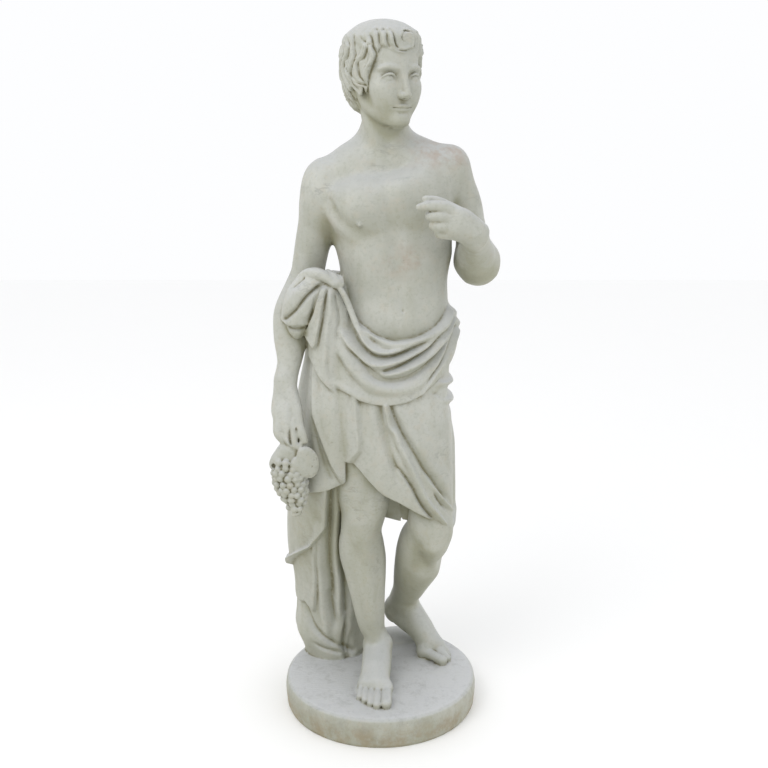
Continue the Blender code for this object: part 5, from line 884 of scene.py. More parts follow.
def right_hand(block):
    palm = [
        (-0.035, 0, 0, 0.012, 0.008, 0.009), (-0.01, 0, 0, 0.0235, 0.017, 0.018),
        (0.02, 0.0, 0, 0.028, 0.017, 0.019), (0.05, 0, 0, 0.0328, 0.016, 0.018),
        (0.075, 0, 0, 0.031, 0.015, 0.016), (0.088, 0, 0, 0.022, 0.01, 0.012),
    ]
    block.add(
        Column(palm, start=(-0.2205, -0.062, 0.845), end=(-0.217, -0.09, 0.765), front=(0.1, -1, -0.2)),
        0.012,
    )
    block.add(Egg((-0.205, -0.092, 0.742), (0.028, 0.014, 0.036)), 0.008)
    # little and ring finger, curled in, and the middle finger across under them
    block.add(Bar([
        (-0.235, -0.082, 0.79, 0.0115), (-0.236, -0.098, 0.757, 0.0112), (-0.2345, -0.105, 0.735, 0.0112),
        (-0.221, -0.105, 0.716, 0.0098),
    ]), 0.01)
    block.add(Bar([
        (-0.214, -0.086, 0.79, 0.0125), (-0.214, -0.104, 0.757, 0.011), (-0.21, -0.112, 0.738, 0.0095),
    ]), 0.012)
    block.add(Bar([
        (-0.222, -0.106, 0.733, 0.0095), (-0.206, -0.117, 0.718, 0.0095), (-0.189, -0.117, 0.706, 0.008),
    ]), 0.0025)
    # arched hollow with the index finger in it
    block.cut(Egg((-0.2, -0.1215, 0.735), (0.012, 0.0115, 0.026)), 0.003)
    block.add(Bar([
        (-0.2005, -0.102, 0.766, 0.0075), (-0.2005, -0.11, 0.75, 0.0075), (-0.199, -0.1135, 0.735, 0.0078),
        (-0.1965, -0.118, 0.712, 0.0074),
    ]), 0.0015)
    # thumb
    block.add(Bar([
        (-0.206, -0.072, 0.825, 0.0135), (-0.193, -0.088, 0.79, 0.0125), (-0.187, -0.103, 0.757, 0.0108),
        (-0.179, -0.112, 0.735, 0.0102), (-0.1745, -0.114, 0.72, 0.0085),
    ]), 0.008)
    block.cut(Bar([
        (-0.193, -0.112, 0.75, 0.0015), (-0.19, -0.124, 0.735, 0.0025), (-0.186, -0.128, 0.716, 0.0025),
    ]), 0.004)
    # web between thumb and index finger
    block.add(Egg((-0.189, -0.104, 0.724), (0.01, 0.0065, 0.02)), 0.003)


def left_arm(block):
    block.add(Egg((0.168, 0.018, 1.308), (0.039, 0.052, 0.062), turned(roll=-8)), 0.04)
    upper = [
        (-0.05, 0, 0, 0.012, 0.016, 0.016), (-0.02, -0.001, 0, 0.031, 0.038, 0.038),
        (0.03, -0.004, 0, 0.04, 0.046, 0.046), (0.07, -0.006, 0, 0.04, 0.045, 0.043),
        (0.11, -0.005, 0, 0.0375, 0.042, 0.042), (0.14, -0.004, 0, 0.038, 0.04, 0.04),
        (0.165, -0.001, 0, 0.041, 0.04, 0.041), (0.2, 0, 0, 0.045, 0.04, 0.042),
        (0.225, 0, 0, 0.026, 0.026, 0.026),
    ]
    block.add(Column(upper, start=L_SHOULDER, end=L_ELBOW, front=(0, -1, 0)), 0.011)
    block.add(Egg((0.229, 0.018, 1.11), (0.047, 0.044, 0.049)), 0.02)
    block.cut(Bar([
        (0.162, -0.058, 1.306, 0.001), (0.161, -0.068, 1.287, 0.003), (0.156, -0.074, 1.262, 0.003),
    ]), 0.012)
    lower = [
        (-0.035, 0, 0, 0.016, 0.016, 0.016), (-0.01, 0, 0, 0.034, 0.034, 0.034),
        (0.04, 0, 0, 0.043, 0.042, 0.043), (0.08, 0, 0, 0.042, 0.041, 0.041),
        (0.13, 0, 0, 0.034, 0.033, 0.033), (0.18, 0, 0, 0.027, 0.024, 0.024),
        (0.21, 0, 0, 0.024, 0.019, 0.019), (0.23, 0, 0, 0.016, 0.012, 0.012),
    ]
    block.add(Column(lower, start=L_ELBOW, end=L_WRIST, front=(0.2, -0.4, 1)), 0.03)


def left_hand(block):
    # wrist, running smoothly from the forearm into the back of the hand
    block.add(Bar([
        (0.214, -0.092, 1.166, 0.012), (0.209, -0.122, 1.182, 0.02), (0.203, -0.148, 1.196, 0.0235),
        (0.19, -0.168, 1.208, 0.0235), (0.172, -0.182, 1.222, 0.0235),
    ]), 0.03)
    palm = [
        (-0.022, 0, 0, 0.016, 0.01, 0.01), (0.0, 0, 0, 0.0235, 0.017, 0.017),
        (0.02, 0, 0, 0.0285, 0.02, 0.018), (0.043, 0, 0, 0.034, 0.02, 0.018),
        (0.058, 0, 0, 0.0335, 0.016, 0.015), (0.072, 0, 0, 0.022, 0.006, 0.008),
    ]
    block.add(
        Column(palm, start=(0.196, -0.166, 1.206), end=(0.148, -0.2, 1.23), front=(-0.25, -1, 0.1)),
        0.025,
    )
    block.add(Egg((0.138, -0.19, 1.229), (0.034, 0.016, 0.035), turned(yaw=15, roll=-10)), 0.01)
    # thumb behind, then the four fingers from the index down
    block.add(Bar([
        (0.186, -0.165, 1.235, 0.014), (0.15, -0.176, 1.256, 0.0115), (0.118, -0.186, 1.271, 0.0098),
        (0.096, -0.194, 1.275, 0.0078),
    ]), 0.005)
    for finger in (
        [
            (0.16, -0.19, 1.247, 0.0135), (0.132, -0.203, 1.2598, 0.0126), (0.102, -0.205, 1.262, 0.0104),
            (0.083, -0.199, 1.2585, 0.0078),
        ],
        [
            (0.158, -0.191, 1.232, 0.0135), (0.128, -0.205, 1.2405, 0.0121), (0.108, -0.201, 1.24, 0.0104),
            (0.106, -0.183, 1.239, 0.0095), (0.118, -0.168, 1.238, 0.008),
        ],
        [
            (0.158, -0.19, 1.216, 0.0135), (0.133, -0.201, 1.22, 0.012), (0.116, -0.196, 1.2195, 0.0102),
            (0.113, -0.18, 1.219, 0.009), (0.124, -0.166, 1.22, 0.008),
        ],
        [
            (0.162, -0.184, 1.201, 0.0125), (0.14, -0.193, 1.202, 0.0112), (0.127, -0.189, 1.2005, 0.0092),
            (0.124, -0.175, 1.202, 0.0082), (0.134, -0.162, 1.204, 0.007),
        ],
    ):
        block.add(Bar(finger), 0.0035)


SKIRT = [
    (0.43, 0.0505, 0.0, 0.121, 0.118, 0.11), (0.5, 0.05, -0.004, 0.1245, 0.123, 0.112),
    (0.55, 0.045, -0.004, 0.1295, 0.125, 0.116), (0.65, 0.032, 0.0, 0.1405, 0.124, 0.124),
    (0.75, 0.019, 0.004, 0.1505, 0.122, 0.13), (0.82, 0.013, 0.008, 0.149, 0.12, 0.138),
    (0.9, 0.013, 0.01, 0.152, 0.114, 0.138), (0.96, 0.018, 0.01, 0.15, 0.108, 0.126),
    (1.02, 0.026, 0.01, 0.13, 0.095, 0.104), (1.06, 0.03, 0.01, 0.12, 0.088, 0.092),
]


def skirt(block):
    cloth = Column(SKIRT, square=2.35)
    folds = Relief(0.42, 1.07, 0.9)
    folds.trim(bottom=[
        (-180, 0.487), (-110, 0.49), (-75, 0.55), (-58, 0.64), (-52, 0.652), (-42, 0.663), (-34, 0.646),
        (-26, 0.621), (-17, 0.596), (-9, 0.583), (1, 0.571), (10, 0.558), (20, 0.543), (31, 0.528),
        (40, 0.518), (54, 0.496), (71, 0.484), (90, 0.486), (120, 0.49), (180, 0.487),
    ], top=[
        (-180, 1.03), (-90, 1.05), (-60, 1.03), (-30, 0.95), (0, 0.9), (30, 0.9), (60, 0.96), (90, 1.0),
        (180, 1.03),
    ])
    # folds from under the middle of the overfold down to the wearer's lower left
    folds.fold([
        (-1, 0.82), (0, 0.771), (5, 0.739), (8, 0.71), (13, 0.674), (19, 0.63), (26, 0.581), (38, 0.538),
        (54, 0.492),
    ], 0.0085, 0.013, lean=1.3, fade=(0.05, 0.05))
    folds.fold([
        (-6, 0.82), (-5, 0.758), (-3, 0.723), (-2, 0.694), (0, 0.662), (3, 0.626), (8, 0.596),
    ], 0.01, -0.009, fade=(0.15, 0.3))
    folds.fold([
        (0, 0.7), (2, 0.665), (6, 0.65), (11, 0.631), (17, 0.604), (22, 0.574), (31, 0.541), (42, 0.514),
        (54, 0.486),
    ], 0.0045, -0.011, fade=(0.25, 0.02), keen=1.4)
    folds.fold([
        (2, 0.82), (7, 0.775), (12, 0.739), (18, 0.707), (24, 0.677), (29, 0.651), (37, 0.624), (45, 0.594),
        (57, 0.566), (76, 0.53),
    ], 0.0065, -0.011, fade=(0.1, 0.1), keen=1.5)
    folds.fold([
        (8, 0.81), (14, 0.765), (22, 0.72), (32, 0.672), (46, 0.62), (64, 0.575),
    ], 0.012, 0.006, fade=(0.1, 0.2))
    folds.fold([(28, 0.63), (40, 0.595), (55, 0.555), (76, 0.516)], 0.006, 0.006, fade=(0.3, 0.1))
    folds.fold([(35, 0.6), (45, 0.564), (59, 0.531), (78, 0.5)], 0.0045, -0.008, fade=(0.2, 0.1), keen=1.4)
    folds.fold([(20, 0.8), (32, 0.76), (48, 0.72), (66, 0.69)], 0.01, -0.003, fade=(0.3, 0.3))
    folds.fold([(44, 0.69), (60, 0.64), (80, 0.6)], 0.009, -0.004, fade=(0.3, 0.2))
    # pleats gathered at the hip, under the overfold
    folds.fold([
        (38, 0.848), (60, 0.842), (80, 0.838), (100, 0.836), (135, 0.845),
    ], 0.0075, 0.012, fade=(0.2, 0.3))
    folds.fold([
        (36, 0.826), (60, 0.819), (85, 0.817), (110, 0.82), (135, 0.83),
    ], 0.005, -0.009, fade=(0.2, 0.3), keen=1.4)
    folds.fold([
        (44, 0.806), (62, 0.799), (85, 0.794), (110, 0.795), (135, 0.8),
    ], 0.0075, 0.011, fade=(0.3, 0.3))
    folds.fold([(60, 0.78), (85, 0.774), (110, 0.778)], 0.006, -0.005, fade=(0.3, 0.3), keen=1.4)
    # rolled corner of the hem
    folds.fold([(56, 0.5), (68, 0.488), (84, 0.5), (96, 0.53)], 0.01, 0.01, fade=(0.3, 0.4))
    # side and back
    folds.fold([(104, 0.76), (97, 0.68), (92, 0.45)], 0.014, 0.009, fade=(0.3, 0.02))
    for a0, a1, k in (
        (122, 112, -1), (145, 135, 1), (165, 158, -1), (-172, -180, 1), (-150, -160, -1), (-128, -138, 1),
    ):
        folds.fold([(a0, 0.95), ((a0 + a1) / 2 - 2, 0.7), (a1, 0.45)], 0.014, 0.008 * k, fade=(0.15, 0.02))
    # short flap in front of the thigh
    folds.patch([
        (-54, 0.862), (-46, 0.656), (-40, 0.662), (-33, 0.68), (-27, 0.695), (-25, 0.72), (-24, 0.768),
        (-24, 0.838),
    ], 0.009, 0.004)
    block.clothe(cloth, folds, 0.003)
    # hem behind the left knee
    block.add(Bar([(0.04, 0.012, 0.502, 0.014), (0.078, 0.02, 0.502, 0.014)]), 0.004)


SWAG = [
    (0.78, 0.006, 0.008, 0.15, 0.128, 0.142), (0.84, 0.006, 0.01, 0.155, 0.128, 0.15),
    (0.9, 0.009, 0.01, 0.167, 0.122, 0.15), (0.96, 0.014, 0.01, 0.168, 0.114, 0.138),
    (1.0, 0.02, 0.01, 0.15, 0.104, 0.124), (1.02, 0.024, 0.01, 0.136, 0.099, 0.11),
    (1.06, 0.03, 0.01, 0.12, 0.091, 0.1), (1.1, 0.032, 0.01, 0.12, 0.088, 0.094),
    (1.13, 0.032, 0.01, 0.12, 0.088, 0.092),
]


def swag(block):
    cloth = Column(SWAG, square=2.5)
    folds = Relief(0.77, 1.13, 0.9)
    upper = [
        (-180, 1.05), (-120, 1.08), (-80, 1.1), (-64, 1.08), (-50, 1.038), (-38, 1.014), (-26, 0.99),
        (-17, 0.976), (-10, 0.964), (-3, 0.957), (7, 0.95), (14, 0.952), (24, 0.957), (34, 0.968),
        (42, 0.98), (54, 1.004), (69, 1.022), (100, 1.03), (130, 1.04), (180, 1.05),
    ]
    lower = [
        (-180, 0.94), (-120, 0.9), (-84, 0.89), (-60, 0.864), (-45, 0.846), (-34, 0.835), (-27, 0.827),
        (-21, 0.817), (-11, 0.808), (2, 0.804), (15, 0.807), (23, 0.812), (31, 0.821), (39, 0.836),
        (47, 0.851), (55, 0.868), (64, 0.888), (90, 0.93), (130, 0.95), (180, 0.94),
    ]
    folds.trim(upper, lower)
    # rolled upper edge and the fold that leaves it at the knot
    folds.fold([
        (-30, 1.0), (-17, 0.976), (-8, 0.96), (2, 0.945), (12, 0.945), (24, 0.952), (35, 0.963),
        (46, 0.982), (60, 1.004), (80, 1.014),
    ], 0.0065, 0.007, fade=(0.3, 0.1))
    folds.fold([
        (-68, 1.068), (-57, 1.052), (-45, 1.032), (-31, 1.006), (-21, 0.976), (-14, 0.947), (-8, 0.932),
        (0, 0.926), (8, 0.93), (18, 0.94), (30, 0.953),
    ], 0.0065, 0.013, fade=(0.05, 0.25), lean=1.3)
    folds.fold([(-21, 0.984), (-12, 0.957), (0, 0.94)], 0.0055, -0.005, fade=(0.4, 0.4))
    # sunk valley and the deep creases on both sides of it
    folds.fold([
        (-60, 1.04), (-48, 1.022), (-36, 1.0), (-27, 0.972), (-19, 0.948),
    ], 0.007, -0.01, fade=(0.1, 0.3))
    folds.fold([(-60, 1.046), (-50, 1.033), (-40, 1.012)], 0.0035, -0.008, fade=(0.2, 0.2), keen=1.4)
    folds.fold([
        (-58, 1.03), (-45, 1.005), (-34, 0.981), (-25, 0.957), (-18, 0.938), (-13, 0.926), (-7, 0.917),
        (1, 0.915), (11, 0.921), (20, 0.932), (31, 0.946), (42, 0.962),
    ], 0.0055, -0.014, fade=(0.1, 0.25), keen=1.4)
    # middle folds
    folds.fold([
        (-50, 1.0), (-39, 0.985), (-31, 0.961), (-25, 0.938), (-19, 0.915), (-13, 0.903), (-5, 0.897),
        (5, 0.901), (14, 0.91), (23, 0.924), (31, 0.937), (38, 0.953), (45, 0.972), (56, 0.996),
        (76, 1.006),
    ], 0.0075, 0.01, fade=(0.1, 0.1), lean=1.2)
    folds.fold([
        (-7, 0.881), (3, 0.885), (12, 0.895), (21, 0.909), (29, 0.923), (35, 0.938), (41, 0.957),
        (50, 0.98),
    ], 0.005, -0.012, fade=(0.15, 0.2), keen=1.4)
    folds.fold([
        (-5, 0.874), (6, 0.877), (16, 0.886), (25, 0.899), (34, 0.916), (41, 0.936), (49, 0.955),
        (60, 0.98), (80, 0.992),
    ], 0.0065, 0.011, fade=(0.2, 0.1), lean=1.2)
    folds.fold([
        (-34, 0.948), (-25, 0.925), (-20, 0.91), (-14, 0.893), (-9, 0.878), (-3, 0.866), (5, 0.861),
        (14, 0.863), (22, 0.87), (31, 0.885), (39, 0.904), (46, 0.926), (52, 0.944), (60, 0.968),
        (78, 0.98),
    ], 0.006, -0.015, fade=(0.15, 0.1), keen=1.4)
    folds.fold([(-16, 0.89), (-7, 0.872), (2, 0.862)], 0.009, -0.006, fade=(0.4, 0.4))
    # broad lower field
    folds.fold([
        (-50, 0.985), (-40, 0.955), (-33, 0.925), (-26, 0.895), (-14, 0.862), (1, 0.843), (14, 0.841),
        (26, 0.85), (36, 0.868), (44, 0.892),
    ], 0.012, 0.007, fade=(0.2, 0.2))
    folds.fold([
        (-46, 0.945), (-36, 0.915), (-30, 0.885), (-22, 0.855), (-12, 0.832), (4, 0.823), (18, 0.826),
    ], 0.007, -0.004, fade=(0.3, 0.4))
    # hem standing out over the front of the skirt
    folds.fold([
        (-44, 0.862), (-34, 0.844), (-26, 0.832), (-18, 0.82), (-8, 0.813),
    ], 0.008, 0.005, fade=(0.2, 0.4))
    # narrow folds drawn up to the hip
    folds.fold([
        (84, 0.965), (66, 0.944), (58, 0.918), (50, 0.894), (43, 0.867), (37, 0.845), (31, 0.823),
    ], 0.0045, 0.007, fade=(0.1, 0.05))
    folds.fold([
        (80, 0.975), (62, 0.955), (53, 0.926), (47, 0.899), (41, 0.871), (35, 0.845),
    ], 0.0035, -0.007, fade=(0.1, 0.15), keen=1.4)
    folds.fold([
        (80, 0.984), (60, 0.966), (53, 0.943), (47, 0.914), (42, 0.89), (36, 0.864),
    ], 0.0045, 0.006, fade=(0.1, 0.2))
    for a, za, zb in ((110, 1.0, 0.985), (112, 0.975, 0.96)):
        folds.fold([
            (75, za), (a, za - 0.005), (150, zb), (180, zb), (210, zb + 0.01), (250, zb + 0.03),
        ], 0.01, 0.009, fade=(0.1, 0.1))
    block.clothe(cloth, folds, 0.003)


SIDE = [
    (0.05, -0.118, 0.118, 0.078, 0.075, 0.062), (0.09, -0.121, 0.12, 0.083, 0.075, 0.066),
    (0.13, -0.129, 0.126, 0.092, 0.079, 0.072), (0.185, -0.124, 0.129, 0.094, 0.08, 0.078),
    (0.25, -0.122, 0.125, 0.093, 0.08, 0.085), (0.32, -0.124, 0.115, 0.095, 0.085, 0.088),
    (0.36, -0.127, 0.108, 0.095, 0.092, 0.09), (0.486, -0.125, 0.085, 0.095, 0.105, 0.095),
    (0.57, -0.12, 0.06, 0.092, 0.118, 0.1), (0.65, -0.115, 0.045, 0.09, 0.12, 0.105),
    (0.75, -0.108, 0.04, 0.086, 0.11, 0.11), (0.83, -0.1, 0.038, 0.08, 0.095, 0.11),
    (0.9, -0.093, 0.035, 0.073, 0.088, 0.105), (0.97, -0.098, 0.03, 0.068, 0.085, 0.09),
    (1.03, -0.112, 0.025, 0.066, 0.076, 0.078), (1.06, -0.118, 0.02, 0.056, 0.064, 0.066),
    (1.08, -0.12, 0.018, 0.038, 0.045, 0.048), (1.09, -0.12, 0.018, 0.016, 0.02, 0.02),
]


def side_drape(block):
    cloth = Column(SIDE)
    folds = Relief(0.04, 1.08, 0.56)
    # long folds down to the plinth
    folds.fold([
        (1, 0.75), (1, 0.536), (1, 0.366), (-2, 0.267), (7, 0.175), (12, 0.14),
    ], 0.007, -0.012, fade=(0.05, 0.1))
    folds.fold([
        (-14, 0.5), (-15, 0.366), (-16, 0.267), (-10, 0.18), (4, 0.125),
    ], 0.01, 0.008, fade=(0.1, 0.1))
    folds.fold([
        (12, 0.55), (9, 0.368), (9, 0.274), (20, 0.198), (36, 0.135),
    ], 0.009, 0.007, fade=(0.1, 0.1))
    folds.fold([(24, 0.75), (22, 0.45), (22, 0.28), (36, 0.16)], 0.008, -0.01, fade=(0.05, 0.1))
    folds.fold([
        (-60, 0.25), (-37, 0.178), (-14, 0.142), (19, 0.11), (45, 0.088),
    ], 0.008, -0.01, fade=(0.3, 0.05))
    folds.fold([(-40, 0.125), (-25, 0.111), (-2, 0.1), (24, 0.09)], 0.006, -0.006, fade=(0.3, 0.3))
    for a in (-150, -128, -108, 60, 84, 108, 130, 152, 174):
        folds.fold([(a, 0.08), (a + 4, 0.3), (a - 2, 0.6), (a - 6, 0.95)], 0.011, 0.009, fade=(0.02, 0.1))
    # layers that end on the way down
    folds.patch([
        (-290, 1.2), (-290, 0.37), (-200, 0.34), (-130, 0.335), (-100, 0.312), (-88, 0.314), (-70, 0.342),
        (-41, 0.386), (-25, 0.41), (-15, 0.434), (-3, 0.472), (-3, 1.2),
    ], 0.014, 0.008)
    folds.patch([
        (-100, 0.335), (-95, 0.255), (-73, 0.226), (-58, 0.222), (-48, 0.23), (-42, 0.224), (-36, 0.216),
        (-29, 0.206), (-26, 0.26), (-22, 0.316), (-18, 0.425), (-41, 0.393), (-70, 0.352),
    ], 0.007, 0.003)
    block.clothe(cloth, folds, 0.004)


PANEL = [
    (0.54, -0.125, 0, 0.062, 0.092, 0.06), (0.65, -0.125, 0, 0.062, 0.098, 0.06),
    (0.75, -0.12, 0, 0.06, 0.095, 0.06), (0.79, -0.118, 0, 0.059, 0.09, 0.06),
    (0.83, -0.115, 0, 0.056, 0.082, 0.058), (0.88, -0.112, 0, 0.053, 0.077, 0.056),
    (0.93, -0.11, 0, 0.048, 0.072, 0.055), (0.97, -0.11, 0, 0.042, 0.06, 0.05),
]


def panels(block):
    cloth = Column(PANEL, square=2.6)
    folds = Relief(0.53, 1.01, 0.42)
    folds.trim(bottom=[
        (-180, 0.6), (-90, 0.585), (-50, 0.575), (-30, 0.583), (-11, 0.587), (7, 0.593), (22, 0.6),
        (34, 0.603), (60, 0.62), (90, 0.66), (180, 0.65),
    ])
    folds.patch([
        (-44, 1.02), (-44, 0.853), (-39, 0.807), (-34, 0.771), (-25, 0.744), (-14, 0.716), (-2, 0.683),
        (9, 0.653), (20, 0.629), (28, 0.613), (34, 0.606), (38, 0.614), (37, 0.712), (35, 0.825),
        (35, 1.02),
    ], 0.009, 0.003)
    folds.patch([(40, 1.02), (40, 0.5), (90, 0.5), (90, 1.02)], -0.012, 0.008)
    folds.fold([
        (-42, 0.78), (-31, 0.74), (-20, 0.7), (-5, 0.655), (14, 0.612),
    ], 0.006, -0.006, fade=(0.2, 0.1))
    folds.fold([(-34, 0.95), (-28, 0.85), (-18, 0.76), (2, 0.69)], 0.009, -0.004, fade=(0.1, 0.3))
    folds.fold([(8, 0.95), (8, 0.85), (14, 0.75), (24, 0.66)], 0.012, 0.003, fade=(0.1, 0.3))
    block.clothe(cloth, folds, 0.003)


MANTLE = [
    (0.8, -0.126, 0, 0.043, 0.104, 0.06), (0.88, -0.125, 0, 0.045, 0.103, 0.06),
    (0.94, -0.12, 0, 0.05, 0.101, 0.06), (1.0, -0.116, 0, 0.052, 0.096, 0.06),
    (1.04, -0.12, -0.004, 0.042, 0.088, 0.06), (1.065, -0.118, -0.008, 0.033, 0.076, 0.055),
    (1.085, -0.112, -0.012, 0.024, 0.06, 0.05),
]


def mantle(block):
    cloth = Column(MANTLE, square=2.6)
    folds = Relief(0.79, 1.1, 0.42)
    folds.trim(bottom=[
        (-180, 0.95), (-90, 0.93), (-66, 0.908), (-39, 0.894), (-25, 0.874), (-3, 0.851), (12, 0.84),
        (24, 0.832), (40, 0.82), (70, 0.81), (180, 0.81),
    ])
    # the pleat that ends in a corner beside the forearm
    folds.patch([
        (-26, 1.07), (-26, 1.049), (-35, 1.014), (-51, 0.978), (-70, 0.957), (-48, 0.944), (-34, 0.93),
        (-27, 0.945), (-22, 0.98), (-15, 1.02), (-6, 1.05), (-5, 1.07),
    ], 0.007, 0.003)
    folds.fold([
        (-5, 1.069), (-6, 1.043), (-15, 1.003), (-22, 0.953), (-26, 0.9),
    ], 0.005, -0.006, fade=(0.1, 0.4), keen=1.5)
    folds.fold([
        (13, 1.069), (7, 1.021), (-4, 0.965), (-3, 0.908), (6, 0.856),
    ], 0.009, 0.006, fade=(0.1, 0.3))
    folds.fold([
        (27, 1.064), (30, 1.036), (27, 1.002), (23, 0.97), (26, 0.935), (37, 0.902),
    ], 0.006, -0.006, fade=(0.1, 0.3), keen=1.6)
    folds.fold([(50, 1.06), (48, 1.03), (45, 0.99), (42, 0.95)], 0.007, 0.005, fade=(0.1, 0.3))
    folds.fold([(2, 0.919), (11, 0.885), (25, 0.848)], 0.007, -0.003, fade=(0.3, 0.3))
    block.clothe(cloth, folds, 0.01)


SLING = [
    (0.948, -0.191, -0.026, 0.01, 0.036, 0.02), (0.956, -0.19, -0.028, 0.0185, 0.042, 0.024),
    (0.968, -0.189, -0.03, 0.0255, 0.047, 0.03), (0.985, -0.188, -0.03, 0.031, 0.052, 0.034),
    (1.0, -0.186, -0.03, 0.034, 0.054, 0.036), (1.02, -0.181, -0.03, 0.036, 0.054, 0.036),
    (1.04, -0.176, -0.03, 0.035, 0.052, 0.036), (1.06, -0.168, -0.03, 0.034, 0.048, 0.034),
    (1.08, -0.154, -0.034, 0.033, 0.04, 0.03), (1.095, -0.148, -0.038, 0.028, 0.03, 0.026),
]


def forearm_drape(block):
    # the cloth that hangs over the forearm
    cloth = Column(SLING, square=2.2)
    folds = Relief(0.94, 1.1, 0.27)
    folds.patch([
        (-100, 1.12), (-100, 0.992), (-70, 0.985), (-30, 0.981), (30, 0.982), (60, 0.985), (75, 1.0),
        (75, 1.12),
    ], 0.007, 0.003, soft=0.004)
    folds.fold([
        (-75, 0.979), (-40, 0.975), (-10, 0.974), (20, 0.975), (45, 0.98),
    ], 0.0045, -0.009, fade=(0.2, 0.2), keen=1.5)
    folds.fold([
        (34, 1.08), (24, 1.062), (8, 1.046), (-14, 1.019), (-41, 1.001), (-76, 0.989),
    ], 0.006, -0.012, fade=(0.1, 0.15), keen=1.6)
    folds.fold([(-32, 1.092), (-45, 1.08), (-62, 1.06)], 0.004, -0.006, fade=(0.1, 0.3), keen=1.5)
    folds.fold([(40, 1.07), (36, 1.04), (24, 1.01), (8, 0.992)], 0.01, 0.004, fade=(0.2, 0.3))
    folds.fold([(-20, 1.07), (-35, 1.05), (-52, 1.03), (-70, 1.015)], 0.01, 0.004, fade=(0.2, 0.3))
    block.clothe(cloth, folds, 0.004)
    # roll along its upper edge, ending in the knot at the waist
    block.add(Bar([
        (-0.184, -0.04, 1.086, 0.006), (-0.17, -0.054, 1.095, 0.011), (-0.15, -0.066, 1.1, 0.0135),
        (-0.13, -0.072, 1.096, 0.0135), (-0.114, -0.076, 1.087, 0.011), (-0.102, -0.082, 1.078, 0.009),
    ]), 0.002)
    block.add(Bar([
        (-0.118, -0.062, 1.1, 0.009), (-0.104, -0.072, 1.092, 0.009), (-0.094, -0.08, 1.08, 0.008),
    ]), 0.003)
    block.add(Bar([
        (-0.098, -0.062, 1.09, 0.007), (-0.09, -0.07, 1.089, 0.007), (-0.086, -0.078, 1.078, 0.006),
    ]), 0.003)
    # the fold that runs from the knot into the overfold, with the crease beside it
    block.add(Bar([
        (-0.098, -0.078, 1.078, 0.006), (-0.084, -0.082, 1.058, 0.0065), (-0.073, -0.086, 1.036, 0.007),
        (-0.062, -0.092, 1.008, 0.007), (-0.048, -0.099, 0.976, 0.006),
    ]), 0.005)
    block.cut(Bar([
        (-0.097, -0.096, 1.066, 0.002), (-0.088, -0.1, 1.046, 0.003), (-0.08, -0.102, 1.03, 0.003),
        (-0.072, -0.103, 1.014, 0.001),
    ]), 0.004)


# height, middle and half-width of the bunch
BUNCH = [
    (0.536, -0.198, 0.012), (0.55, -0.199, 0.021), (0.567, -0.199, 0.0265), (0.581, -0.2005, 0.034),
    (0.598, -0.206, 0.039), (0.622, -0.21, 0.043), (0.646, -0.2115, 0.0425), (0.672, -0.212, 0.038),
]


def grapes(block):
    rng = np.random.default_rng(3)
    bunch = np.array(BUNCH)
    size = 0.0083
    for row, height in enumerate(np.arange(0.541, 0.672, 0.0128)):
        middle, half = glide(bunch[:, 0], bunch[:, 1:], [height])[0]
        ring = half - size
        block.add(Egg((middle, -0.104, height), (ring, 0.8 * ring, 0.011)), 0.002)
        count = max(int(2 * math.pi * ring / (2 * size)), 3)
        for i in range(count):
            around = math.radians((i + 0.5 * (row % 2) + rng.uniform(-0.18, 0.18)) * 360 / count)
            out = ring + rng.uniform(-0.0015, 0.0015)
            high = height + rng.uniform(-0.003, 0.003)
            round_size = size * rng.uniform(0.93, 1.1)
            place = (middle + out * math.cos(around), -0.104 + 0.8 * out * math.sin(around), high)
            block.add(Egg(place, (round_size, round_size, 1.05 * round_size)), 0.0008)
    # leaf under the hand, folded over the top of the bunch, with a curled tip
    block.add(Egg((-0.208, -0.11, 0.692), (0.03, 0.014, 0.028), turned(pitch=-15, roll=-10)), 0.004)
    block.add(Egg((-0.233, -0.107, 0.682), (0.015, 0.013, 0.034), turned(pitch=-15, roll=36)), 0.008)
    block.add(Egg((-0.2465, -0.11, 0.663), (0.0095, 0.01, 0.012)), 0.004)
    block.cut(Egg((-0.2465, -0.121, 0.66), (0.005, 0.009, 0.007)), 0.003)
    # leaf on the other side of the stem, with a toothed edge and drill holes
    leaf, wide, tall = np.array((-0.167, -0.124, 0.669)), 0.0265, 0.0375
    axes = turned(yaw=14, roll=-8)
    block.add(Egg(tuple(leaf), (wide, 0.008, tall), axes), 0.003)
    block.add(Egg((-0.173, -0.123, 0.69), (0.019, 0.008, 0.019), axes), 0.004)
    block.add(Egg((-0.189, -0.126, 0.668), (0.016, 0.008, 0.018), axes), 0.004)
    for around, deep in (
        (-96, 0.8), (-78, 0.9), (-60, 0.84), (-42, 0.92), (-24, 0.82), (-6, 0.9), (12, 0.84), (30, 0.92),
        (48, 0.86), (66, 0.94),
    ):
        out = np.array(
            (wide * math.cos(math.radians(around)), -0.004, tall * math.sin(math.radians(around)))
        )
        block.cut(Bar([(*(1.12 * out), 0.0045), (*(deep * out), 0.0016)], 1, axes, leaf), 0.0015)
    for side, up in (
        (0.01, 0.012), (0.015, 0.005), (0.017, -0.003), (0.011, -0.001), (0.014, -0.013), (0.012, 0.019),
        (0.017, 0.012), (0.008, -0.008),
    ):
        block.cut(
            Egg(tuple(leaf + np.array((side, -0.0075, up)) @ axes), (0.0017, 0.004, 0.0014), axes), 0.001,
        )
    # stem
    block.add(Bar([
        (-0.18, -0.114, 0.722, 0.004), (-0.185, -0.12, 0.704, 0.0045), (-0.184, -0.12, 0.685, 0.0045),
    ]), 0.002)


PARTS = [
    plinth, torso, neck, collar, head, hair, right_leg, left_leg, right_foot, left_foot, right_arm,
    left_arm, right_hand, left_hand, skirt, side_drape, panels, swag, mantle, forearm_drape, grapes,
]


